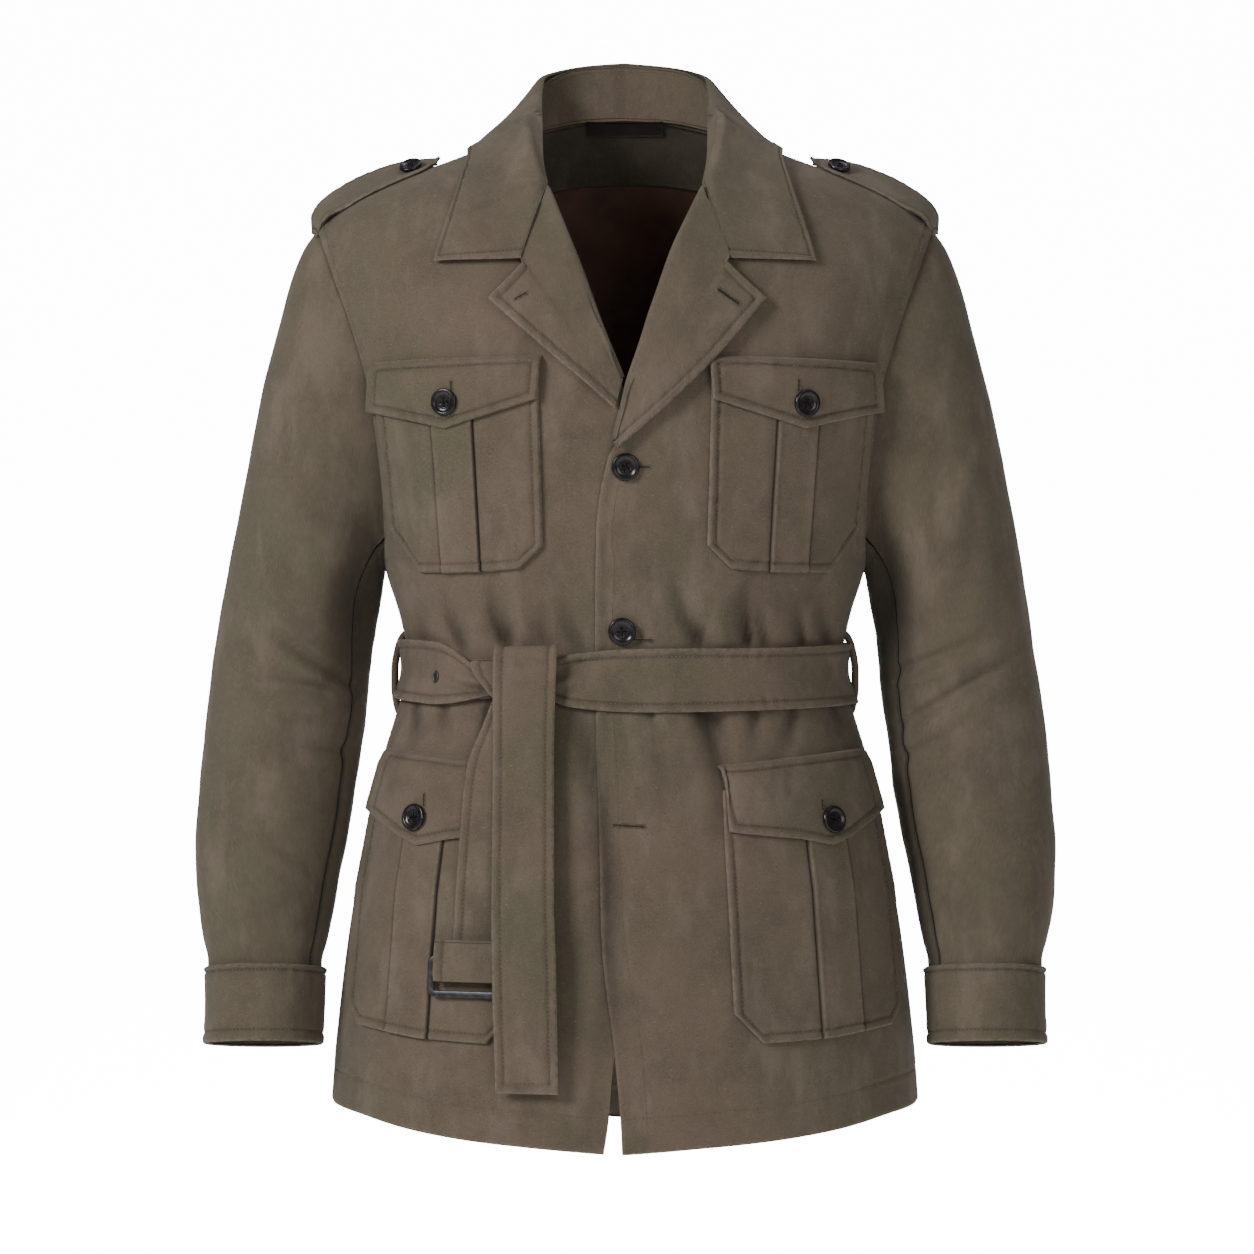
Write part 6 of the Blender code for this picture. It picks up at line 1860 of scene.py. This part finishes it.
# Shoulder straps
for side in ("left", "right"):
    places = fine_lines(0.115, 0.0032, EPAULETTE_STITCH, 0.004)
    shares = fine_lines(0.048, 0.0030, EPAULETTE_STITCH, EPAULETTE_STITCH)
    points = epaulette_points(side, places, shares)
    strap = Cloth(points, EPAULETTE_WALL, np.array((SIDE_SIGN[side] * 0.19, 0.0, -0.15)))
    across = np.minimum(shares, 1.0 - shares)[None, :] * 0.046 + 0.0 * points[..., 0]
    along = places[:, None] * 0.115 + 0.0 * across
    d = np.minimum(across, along)
    ends = ease(along / 0.012) * ease((0.115 - along) / 0.012)
    strap.raise_by((bead(d, EPAULETTE_STITCH, 0.0009, 0.0007) + puckers(d, along, 91, EPAULETTE_STITCH)) * ends - 0.0003)
    finish_cloth(
        f"epaulette_{side}_cloth", strap, cotton_rim, [f"epaulette_{side}"], wear=wear_near(d),
        deep=stitch_shade(d, EPAULETTE_STITCH), rim_shade=0.7,
    )
    for j in (7, -8):
        sew("collar", strap.points[6:-1, j], strap.normals[6:-1, j])
    sew("collar", strap.points[7, 7:-7], strap.normals[7, 7:-7])

# Belt
belt_top, belt_bottom = column_curve(BELT_LOOK, 1), column_curve(BELT_LOOK, 2)
turns = np.concatenate([np.linspace(BELT_LOOK[0][0], 40.0, 90)[:-1], np.linspace(40.0, 270.0, 120)[:-1], np.linspace(270.0, BELT_LOOK[-1][0], 80)])
shares = fine_lines(0.048, 0.0034, 0.0060, 0.0060)
turn, share = np.meshgrid(turns, shares)
height = mix(belt_top(turn), belt_bottom(turn), share)
near_front = 1.0 - ease((np.abs((turn + 180.0) % 360.0 - 180.0) - 30.0) / 30.0)
points = around(turn, height, mix(BELT_SIDE_OFF, BELT_OFF, near_front))
belt = Cloth(points, BELT_WALL)
tall = np.linalg.norm(np.diff(points, axis=0), axis=-1).sum(0)[None, :]
d = np.minimum(share, 1.0 - share) * tall
run = np.radians(turn) * 0.15
soft = 0.0009 * ripple(points, 0.045, 57) * ease(d / 0.012)
folds = crease_height(BELT_CREASES, points[..., 0], points[..., 2]) * (points[..., 1] < 0.0)
belt.raise_by(bead(d, 0.0060, 0.0009, 0.0008) * ease(tall / 0.03) + puckers(d, run, 58, 0.0060) + soft + folds)
finish_cloth(
    "belt_band_cloth", belt, cotton_rim, ["belt_band"], wear=wear_near(d),
    deep=stitch_shade(d, 0.0060), rim_shade=0.7, flat=(0.96, 0.050),
)
for i in (7, -8):
    sew("belt", belt.points[i, 4:-4], belt.normals[i, 4:-4])


def add_strap(name, node, rows, length, width, wall, step=0.0032, end_stitch=True, shape=None, ripples=0.0008, seed=1):
    places = fine_lines(length, step, 0.004, 0.0078)
    shares = fine_lines(width, 0.0030, 0.0060, 0.0060)
    points = strip_points(rows, places, shares, shape)
    strap = Cloth(points, wall)
    across = np.minimum(shares, 1.0 - shares)[None, :] * width + 0.0 * points[..., 0]
    from_end = (1.0 - places)[:, None] * length + 0.0 * across
    d = np.minimum(across, from_end) if end_stitch else across
    run = places[:, None] * length + 0.0 * across
    soft = ripples * ripple(points * np.array((1.0, 0.3, 1.0)), 0.06, seed) * ease(across / 0.010 + 0.3)
    strap.raise_by(bead(d, 0.0060, 0.0009, 0.0008) + puckers(d, run, seed + 2, 0.0060) + soft)
    finish_cloth(name, strap, cotton_rim, [node], wear=wear_near(d), deep=stitch_shade(d, 0.0060), rim_shade=0.7)
    for j in (7, -8):
        sew("belt", strap.points[2:-7, j], strap.normals[2:-7, j])
    if end_stitch:
        sew("belt", strap.points[-8, 7:-7], strap.normals[-8, 7:-7])
    return strap


tail = add_strap("belt_tail_cloth", "belt_tail", TAIL_ROWS, 0.335, 0.0435, TAIL_WALL, seed=101)
buckle_tail = add_strap(
    "belt_buckle_tail_cloth", "belt_buckle_tail", BUCKLE_TAIL_ROWS, 0.205, 0.047, TAIL_WALL, end_stitch=False, seed=105
)
keeper = add_strap("belt_keeper_cloth", "belt_keeper", KEEPER_ROWS, 0.030, 0.057, TAIL_WALL, step=0.003, end_stitch=False, seed=107, ripples=0.0003)
knot = add_strap("belt_knot_cloth", "belt_knot", KNOT_LOOK, 0.037, 0.054, KNOT_WALL, step=0.003, end_stitch=False, seed=109, ripples=0.0006)

# Belt loops: a narrow folded strip, bowed out over the belt
for side in ("left", "right"):
    rows = np.linspace(0.0, 1.0, len(LOOP_PATH))
    downs = np.linspace(0.0, 1.0, 70)
    x, z = (smooth_curve(rows, [row[k] for row in LOOP_PATH])(downs) for k in (0, 1))
    low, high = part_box(f"belt_loop_{side}")
    y = 0.0 * x + (low[1] + high[1]) / 2.0
    middle = np.stack([SIDE_SIGN[side] * x, y, z], -1)[:, None]
    aside = np.array((0.0, 1.0, 0.0))
    outward = SIDE_SIGN[side] * unit(np.cross(aside, np.gradient(middle[:, 0], axis=0)))[:, None]
    angle = np.linspace(0.0, 2.0 * math.pi, 21)[None, :-1, None]
    points = middle + aside * LOOP_HALF_WIDE * np.cos(angle) + outward * LOOP_HALF_THICK * np.sin(angle)
    loop = Cloth(points, 0.0007, middle, ring=True)
    finish_cloth(
        f"belt_loop_{side}_cloth", loop, cotton_rim, [f"belt_loop_{side}"], wear=np.full(points.shape[:2], 0.2)
    )

# Inside the back
def inner_sheet(first, last, columns, off, rows):
    """A sheet inside both halves of the back, between two shares of the height above the armholes."""
    sheets = []
    for way in ("right", "left"):
        column = np.linspace(0.0, columns / 10.0, 40)[None, :]
        share = np.linspace(first, last, rows)[:, None]
        top_distance = np.interp(column, (0.0, 0.4, 1.0), (0.0, NECK_POINT, SHOULDER_TIP))
        top = np.where(top_distance < NECK_POINT, back_neck_height(top_distance), shoulder_height(top_distance))
        height = mix(ARMHOLE_BOTTOM, top, share)
        outer_height = mix(ARMHOLE_BOTTOM, shoulder_height(SHOULDER_TIP), share)
        outer = turn_at(np.minimum(armhole["back"](outer_height), half_width(outer_height)), outer_height)
        top_outer = turn_at(SHOULDER_TIP, shoulder_height(SHOULDER_TIP))
        turn = outer * column + share**2.0 * (turn_at(top_distance, top) - top_outer * column)
        distance = distance_at(turn, height)
        seam = 0.0008 * np.exp(-((distance / 0.0016) ** 2))
        sheets.append(on_body("back", way, distance, height - NECK_EDGE_CLEAR, off - seam, folds=False))
    return np.concatenate([sheets[0][:, :0:-1], sheets[1]], 1)


facing = Cloth(inner_sheet(UPPER_SHARES[FACING_ROWS[0]], FACING_FOOT, 10, FACING_OFF, 24), LINING_WALL)
# The facing wears the darker copy of the cotton, as painted shade inside the neck.
finish_cloth("neck_facing_cloth", facing, cotton_painted_shade, ["neck_facing"])
lining = Cloth(inner_sheet(FACING_FOOT - 0.002, UPPER_SHARES[LINING_ROWS[-1]], LINING_COLUMNS, FACING_OFF, 60), LINING_WALL)
soft = 0.0006 * ripple(lining.points, 0.06, 63)
lining.raise_by(np.minimum(soft, 0.0))
finish_cloth("back_lining_cloth", lining, lining_cloth, ["back_lining"])
share = np.linspace(-1.0, 1.0, 41)[None, :]
height = BACK_NECK_HEIGHT - LABEL_DROP - LABEL_HEIGHT * np.linspace(0.0, 1.0, 9)[:, None]
label_points = np.where(
    (share > 0.0)[..., None],
    on_body("back", "left", np.abs(share) * LABEL_WIDTH / 2.0, height + 0.0 * share, LABEL_OFF, folds=False),
    on_body("back", "right", np.abs(share) * LABEL_WIDTH / 2.0, height + 0.0 * share, LABEL_OFF, folds=False),
)
label = Cloth(label_points, LABEL_WALL)
finish_cloth("neck_label_cloth", label, label_tape, ["neck_label"], flat=(0.0602, 0.0122))


# Small hard pieces
def surface_normal(face, side, distance, height):
    here = on_body(face, side, distance, height, 0.0, folds=False)
    out = on_body(face, side, distance, height, 0.01, folds=False)
    return Vector(unit(out - here))


def add_piece(name, thing, nodes):
    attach(thing, "root")
    if nodes:
        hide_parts(*nodes)
    return thing


HOLES = [(0.0019 * a, 0.0019 * b) for a in (-1, 1) for b in (-1, 1)]


def add_button(name, node, place, normal, diameter, spin):
    """A turned button: a raised rim, a dished middle and four holes, sewn on with a crossed thread."""
    radius = diameter / 2.0
    half = BUTTON_THICK / 2.0
    rings = np.concatenate([np.linspace(0.02, 0.36, 15), np.linspace(0.42, 1.0, 20)]) * radius
    profile = smooth_curve(
        [0.0, 0.50 * radius, 0.66 * radius, 0.78 * radius, 0.90 * radius, 0.97 * radius, radius],
        [0.15 * half, 0.22 * half, 0.55 * half, 0.98 * half, 0.95 * half, 0.6 * half, 0.0],
    )
    count = 72
    angle = np.linspace(0.0, 2.0 * math.pi, count + 1)[:-1]
    x, y = rings[:, None] * np.cos(angle), rings[:, None] * np.sin(angle)
    z = profile(rings)[:, None] + 0.0 * x
    for hole_x, hole_y in HOLES:
        away = np.hypot(x - hole_x, y - hole_y)
        z = z - 0.0016 * (1.0 - ease((away - 0.00055) / 0.00045))
    under = np.array([(radius * 0.99, -0.45 * half), (radius * 0.86, -half)])
    low = [np.stack([r * np.cos(angle), r * np.sin(angle), 0.0 * angle + h], -1) for r, h in under]
    top = np.stack([x, y, z], -1)
    layers = np.concatenate([top, np.stack(low)])
    middle = np.array([(0.0, 0.0, float(profile(0.0))), (0.0, 0.0, -half)])
    turn = Matrix.Rotation(spin, 3, "Z")
    frame_turn = normal.to_track_quat("Z", "Y").to_matrix() @ turn
    spot = np.array(place + normal * half)
    basis = np.array(frame_turn).T
    points = np.concatenate([layers.reshape(-1, 3), middle]) @ basis + spot
    rows = len(layers)
    index = np.arange(rows * count).reshape(rows, count)
    wide = np.concatenate([index, index[:, :1]], 1)
    quads = np.stack([wide[:-1, :-1], wide[1:, :-1], wide[1:, 1:], wide[:-1, 1:]], -1).reshape(-1, 4).tolist()
    centre, bottom = rows * count, rows * count + 1
    quads += [(centre, int(a), int(b)) for a, b in zip(wide[0, :-1], wide[0, 1:])]
    quads += [(bottom, int(b), int(a)) for a, b in zip(wide[-1, :-1], wide[-1, 1:])]
    thing = build_mesh(name, points, quads, horn)
    add_piece(name, thing, [node])
    lift = 0.35 * half
    corners = [np.array((hx, hy, -0.0002)) for hx, hy in HOLES]
    for a, b in ((0, 3), (1, 2), (0, 3), (1, 2)):
        start, end = corners[a], corners[b]
        bow = np.array([mix(start, end, t) + np.array((0.0, 0.0, lift + 0.0011 * math.sin(math.pi * t))) for t in np.linspace(0, 1, 6)])
        bow = bow @ basis + spot
        stitch_ends.setdefault("button_threads", []).append(bow[:-1])
        stitch_ends.setdefault("button_threads", []).append(bow[1:])


for name, x, height, off in BUTTONS:
    side = "left" if x >= 0.0 else "right"
    normal = surface_normal("front", side, abs(x), height)
    place = Vector(on_body("front", side, abs(x), height, off, folds=False))
    add_button(f"{name}_turned", name, place, normal, BUTTON_DIAMETER, 0.4 if side == "left" else 0.9)
for side in ("left", "right"):
    places = np.array([EPAULETTE_ROWS[2][0], EPAULETTE_ROWS[3][0]])
    grid = epaulette_points(side, places, np.linspace(0.0, 1.0, 5))
    normal = Vector(np.cross(grid[1, 2] - grid[0, 2], grid[1, 4] - grid[1, 0])).normalized()
    normal = -normal if normal.z < 0.0 else normal
    normal = (normal + Vector((0.0, -0.22, 0.0))).normalized()
    place = Vector(mix(grid[0, 2], grid[1, 2], 0.36)) + normal * EPAULETTE_BUTTON_LIFT
    add_button(f"button_epaulette_{side}_turned", f"button_epaulette_{side}", place, normal, EPAULETTE_BUTTON_DIAMETER, 0.2)


# Buckle: a bent bar with rounded edges, and a bar across
def ring_path(half_x, half_y, radius, steps=7):
    path = []
    for cx, cy, start in ((1, 1, 0.0), (-1, 1, 90.0), (-1, -1, 180.0), (1, -1, 270.0)):
        for angle in np.radians(start + np.linspace(0.0, 90.0, steps)):
            path.append((cx * (half_x - radius) + radius * math.cos(angle), cy * (half_y - radius) + radius * math.sin(angle), 0.0))
    return np.array(path)


def sweep(path, half_wide, half_thick, closed, round_off=0.45):
    """A bar with softly rounded edges along a flat path."""
    if closed:
        ahead, behind = np.roll(path, -1, 0), np.roll(path, 1, 0)
    else:
        ahead = np.concatenate([path[1:], path[-1:] * 2 - path[-2:-1]])
        behind = np.concatenate([path[:1] * 2 - path[1:2], path[:-1]])
    tangent = unit(ahead - behind)
    sideways = np.stack([tangent[:, 1], -tangent[:, 0], 0.0 * tangent[:, 0]], -1)
    section = []
    for angle in np.linspace(0.0, 2.0 * math.pi, 17)[:-1]:
        c, s = math.cos(angle), math.sin(angle)
        section.append((half_wide * math.copysign(abs(c) ** round_off, c), half_thick * math.copysign(abs(s) ** round_off, s)))
    rings = np.stack([path + sideways * a + np.array((0.0, 0.0, b)) for a, b in section], 1)
    count = len(section)
    index = np.arange(rings.shape[0] * count).reshape(-1, count)
    wide = np.concatenate([index, index[:, :1]], 1)
    if closed:
        wide = np.concatenate([wide, wide[:1]], 0)
    quads = np.stack([wide[:-1, :-1], wide[1:, :-1], wide[1:, 1:], wide[:-1, 1:]], -1).reshape(-1, 4).tolist()
    if not closed:
        quads.append([int(i) for i in index[0]])
        quads.append([int(i) for i in index[-1][::-1]])
    return rings.reshape(-1, 3), quads


width, tall = BUCKLE_SIZE
bar = BUCKLE_BAR / 2.0
made = [sweep(ring_path(width / 2.0 - bar, tall / 2.0 - bar, 0.0042), bar, BUCKLE_THICK / 2.0, True)]
made.append(sweep(np.array([(x, 0.0, 0.0) for x in np.linspace(-width / 2.0 + bar, width / 2.0 - bar, 12)]), bar * 0.8, BUCKLE_THICK * 0.42, False))
all_points, all_faces, base = [], [], 0
for piece_points, piece_faces in made:
    all_points.append(piece_points)
    all_faces += [[i + base for i in face] for face in piece_faces]
    base += len(piece_points)
x, height = BUCKLE_MIDDLE
normal = surface_normal("front", "right", -x, height)
across = Vector((0.0, 0.0, 1.0)).cross(normal).normalized()
basis = np.array([across, normal.cross(across), normal])
middle = on_body("front", "right", -x, height, BUCKLE_OFF, folds=False)
buckle = build_mesh("belt_buckle_frame", np.concatenate(all_points) @ basis + middle, all_faces, dark_metal)
add_piece("belt_buckle_frame", buckle, ["belt_buckle"])


# Buttonholes and the belt's hole: a slit of painted shade with whipped edges, placed where the camera sees them
def seen(name, px, row):
    """The point and normal on a piece that lie under a point of the photo."""
    thing = bpy.data.objects[name]
    if name not in trees:
        trees[name] = BVHTree.FromPolygons([v.co for v in thing.data.vertices], [p.vertices for p in thing.data.polygons])
    start = Vector((0.0, -CAMERA_AWAY, CAMERA_HEIGHT))
    way = Vector(((px - 625.0) * PIXEL, CAMERA_AWAY, -(row - 627.0) * PIXEL)).normalized()
    found = trees[name].ray_cast(start, way)
    return (np.array(found[0]), np.array(found[1])) if found[0] is not None else None


trees = {}
slits = []
for name, x0, y0, x1, y1, half in BUTTONHOLES:
    spots = [seen(name, mix(x0, x1, t), mix(y0, y1, t)) for t in np.linspace(0.0, 1.0, 9)]
    if None in spots:
        print("no place for a buttonhole on", name, x0, y0)
        continue
    line = np.array([spot for spot, _ in spots])
    normal = unit(sum(facing_way for _, facing_way in spots))
    if normal[1] > 0.0:
        normal = -normal
    along = line[-1] - line[0]
    length = np.linalg.norm(along)
    along = along / length
    aside = np.cross(normal, along)
    count = max(5, int(length / 0.00075))
    places = np.linspace(0.0, 1.0, count)
    middle = np.stack([np.interp(places, np.linspace(0.0, 1.0, 9), line[:, k]) for k in range(3)], -1)
    for way in (-1.0, 1.0):
        inner = middle + aside * way * half * 0.8 + normal * 0.0003
        outer = inner + aside * way * 0.0014 - normal * 0.00015
        stitch_ends.setdefault("buttonholes", []).append(inner)
        stitch_ends.setdefault("buttonholes", []).append(outer)
    for at, way in ((line[0], -1.0), (line[-1], 1.0)):
        centre = at + along * way * 0.0002
        for angle in np.linspace(-1.3, 1.3, 5):
            ray = along * way * math.cos(angle) + aside * math.sin(angle)
            stitch_ends["buttonholes"].append((centre + ray * 0.0004 + normal * 0.0003)[None])
            stitch_ends["buttonholes"].append((centre + ray * 0.0016 + normal * 0.0001)[None])
    # Painted shade: a dark strip along each slit.
    for start, end in zip(line[:-1], line[1:]):
        slits.append(np.array([start - aside * half, end - aside * half, end + aside * half, start + aside * half]) + normal * 0.00025)
name, px, row, half_x, half_z = EYELET
centre, normal = seen(name, px, row)
angle = np.linspace(0.0, 2.0 * math.pi, 25)[:-1]
ring = np.stack([half_x * np.cos(angle), half_z * np.sin(angle), 0.0 * angle], -1)
ring_points, ring_faces = sweep(ring, 0.0008, 0.0007, True, 1.0)
across = unit(np.cross(np.array((0.0, 0.0, 1.0)), normal))
basis = np.array([across, np.cross(normal, across), normal])
eyelet = build_mesh("belt_eyelet", ring_points @ basis + centre + normal * 0.0002, ring_faces, dark_metal)
add_piece("belt_eyelet", eyelet, [])
# Painted shade: a dark patch inside the eyelet ring.
hole = np.array([(-0.6, -0.7, 0.0), (0.6, -0.7, 0.0), (0.6, 0.7, 0.0), (-0.6, 0.7, 0.0)]) * np.array((half_x, half_z, 1.0))
slits.append(hole @ basis + centre + normal * 0.0002)
slit_points = np.concatenate(slits)
slit_faces = [list(range(4 * i, 4 * i + 4)) for i in range(len(slits))]
slit = build_mesh("buttonhole_slits", slit_points, slit_faces, thread_black_and_slit_shade, smooth=False)
add_piece("buttonhole_slits", slit, [])


# Stitches
def stitch_tree():
    """One stitch on each edge of a mesh of loose edges."""
    tree = bpy.data.node_groups.new("stitches", "GeometryNodeTree")
    tree.interface.new_socket("Geometry", in_out="INPUT", socket_type="NodeSocketGeometry")
    tree.interface.new_socket("Thickness", in_out="INPUT", socket_type="NodeSocketFloat")
    tree.interface.new_socket("Thread", in_out="INPUT", socket_type="NodeSocketMaterial")
    tree.interface.new_socket("Geometry", in_out="OUTPUT", socket_type="NodeSocketGeometry")
    ins, outs = tree.nodes.new("NodeGroupInput"), tree.nodes.new("NodeGroupOutput")
    link = tree.links.new
    ends = tree.nodes.new("GeometryNodeInputMeshEdgeVertices")
    along = add_node(tree, "ShaderNodeVectorMath", operation="SUBTRACT")
    link(ends.outputs["Position 2"], along.inputs[0])
    link(ends.outputs["Position 1"], along.inputs[1])
    keep = tree.nodes.new("GeometryNodeCaptureAttribute")
    keep.domain = "EDGE"
    keep.capture_items.new("VECTOR", "Along")
    link(ins.outputs["Geometry"], keep.inputs["Geometry"])
    link(along.outputs[0], keep.inputs["Along"])
    to_points = tree.nodes.new("GeometryNodeMeshToPoints")
    to_points.mode = "EDGES"
    link(keep.outputs["Geometry"], to_points.inputs["Mesh"])
    length = add_node(tree, "ShaderNodeVectorMath", operation="LENGTH")
    link(keep.outputs["Along"], length.inputs[0])
    half = add_node(tree, "ShaderNodeMath", operation="MULTIPLY")
    link(length.outputs["Value"], half.inputs[0])
    half.inputs[1].default_value = 0.56
    size = tree.nodes.new("ShaderNodeCombineXYZ")
    link(ins.outputs["Thickness"], size.inputs["X"])
    link(ins.outputs["Thickness"], size.inputs["Y"])
    link(half.outputs[0], size.inputs["Z"])
    aim = tree.nodes.new("FunctionNodeAlignRotationToVector")
    aim.axis = "Z"
    link(keep.outputs["Along"], aim.inputs["Vector"])
    bead_shape = tree.nodes.new("GeometryNodeMeshUVSphere")
    bead_shape.inputs["Segments"].default_value = 6
    bead_shape.inputs["Rings"].default_value = 4
    bead_shape.inputs["Radius"].default_value = 1.0
    place = tree.nodes.new("GeometryNodeInstanceOnPoints")
    link(to_points.outputs["Points"], place.inputs["Points"])
    link(bead_shape.outputs["Mesh"], place.inputs["Instance"])
    link(aim.outputs["Rotation"], place.inputs["Rotation"])
    link(size.outputs["Vector"], place.inputs["Scale"])
    real = tree.nodes.new("GeometryNodeRealizeInstances")
    link(place.outputs["Instances"], real.inputs["Geometry"])
    paint = tree.nodes.new("GeometryNodeSetMaterial")
    link(real.outputs["Geometry"], paint.inputs["Geometry"])
    link(ins.outputs["Thread"], paint.inputs["Material"])
    link(paint.outputs["Geometry"], outs.inputs["Geometry"])
    return tree


stitching = stitch_tree()
sockets = {item.name: item.identifier for item in stitching.interface.items_tree if item.in_out == "INPUT"}


def add_stitches(group, thickness, thread):
    found = stitch_ends[group]
    starts = np.concatenate(found[0::2])
    ends = np.concatenate(found[1::2])
    points = np.stack([starts, ends], 1).reshape(-1, 3)
    mesh = bpy.data.meshes.new(f"{group}_lines")
    mesh.from_pydata(points.tolist(), [(2 * i, 2 * i + 1) for i in range(len(starts))], [])
    lines = bpy.data.objects.new(f"{group}_lines", mesh)
    bpy.context.scene.collection.objects.link(lines)
    modifier = lines.modifiers.new("stitches", "NODES")
    modifier.node_group = stitching
    modifier[sockets["Thickness"]] = thickness
    modifier[sockets["Thread"]] = thread
    bpy.context.view_layer.update()
    made = bpy.data.meshes.new_from_object(lines.evaluated_get(bpy.context.evaluated_depsgraph_get()))
    made.name = f"{group}_stitches"
    bpy.data.objects.remove(lines, do_unlink=True)
    made.shade_smooth()
    thing = bpy.data.objects.new(f"{group}_stitches", made)
    bpy.context.scene.collection.objects.link(thing)
    add_piece(thing.name, thing, [])
    print("stitches", group, len(starts), len(made.polygons))
    return thing


for group in list(stitch_ends):
    if group == "button_threads":
        add_stitches(group, 0.00034, thread_black_and_slit_shade)
    elif group == "buttonholes":
        add_stitches(group, 0.00032, thread_dark)
    else:
        add_stitches(group, 0.00030, thread_dark)


# Floor, light and camera
def add_sweep():
    profile = [(-9.0, 0.0), (WALL_AWAY - 0.4, 0.0)]
    profile += [(WALL_AWAY - 0.4 * (1.0 - math.sin(a)), 0.4 - 0.4 * math.cos(a)) for a in np.linspace(0.0, math.pi / 2.0, 16)[1:]]
    profile += [(WALL_AWAY, 9.0)]
    points = [(x, y, FLOOR + z) for y, z in profile for x in (-9.0, 9.0)]
    faces = [(2 * i, 2 * i + 1, 2 * i + 3, 2 * i + 2) for i in range(len(profile) - 1)]
    material, tree, shader = new_material("pale_floor")
    shader.inputs["Base Color"].default_value = (0.92, 0.92, 0.92, 1.0)
    shader.inputs["Roughness"].default_value = 0.9
    shader.inputs["Specular IOR Level"].default_value = 0.1
    place = add_node(tree, "ShaderNodeTexCoord").outputs["Object"]
    parts = add_node(tree, "ShaderNodeSeparateXYZ", {"Vector": place})
    aside = maths(tree, "ABSOLUTE", parts.outputs["X"])
    behind = ramp(tree, parts.outputs["Y"], WALL_AWAY - 0.4, WALL_AWAY - 0.1)
    glow = maths(tree, "MULTIPLY", maths(tree, "SUBTRACT", 1.0, ramp(tree, aside, 1.95, 2.15)), behind)
    raised = maths(tree, "ABSOLUTE", maths(tree, "ADD", parts.outputs["Z"], 0.375))
    glow = maths(tree, "MULTIPLY", glow, maths(tree, "SUBTRACT", 1.0, ramp(tree, raised, 1.95, 2.15)))
    lit = blend_colour(tree, glow, (0.03, 0.03, 0.03, 1.0), (1.0, 1.0, 1.0, 1.0))
    tree.links.new(lit, shader.inputs["Emission Color"])
    shader.inputs["Emission Strength"].default_value = WALL_GLOW
    sweep_piece = build_mesh("pale_sweep", np.array(points), faces, material)
    sweep_piece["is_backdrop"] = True


def add_light(name, place, target, size, power, colour=(1.0, 1.0, 1.0)):
    data = bpy.data.lights.new(name, "AREA")
    data.shape = "RECTANGLE"
    data.size, data.size_y = size
    data.energy = power
    data.color = colour
    light = bpy.data.objects.new(name, data)
    light.location = place
    light.rotation_euler = (Vector(target) - Vector(place)).to_track_quat("-Z", "Y").to_euler()
    bpy.context.scene.collection.objects.link(light)


add_sweep()
for light in LIGHTS:
    add_light(*light)
world = bpy.data.worlds.new("soft_room")
world.use_nodes = True
world.node_tree.nodes["Background"].inputs["Color"].default_value = (1.0, 1.0, 1.0, 1.0)
world.node_tree.nodes["Background"].inputs["Strength"].default_value = ROOM_LIGHT
bpy.context.scene.world = world

camera_data = bpy.data.cameras.new("camera")
camera_data.lens = 113.32
camera_data.sensor_width = 36.0
camera_data.shift_x = 2.0 / 1254.0
camera = bpy.data.objects.new("camera", camera_data)
camera.location = (0.0, -CAMERA_AWAY, CAMERA_HEIGHT)
camera.rotation_euler = (math.pi / 2.0, 0.0, 0.0)
bpy.context.scene.collection.objects.link(camera)
bpy.context.scene.camera = camera

low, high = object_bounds()
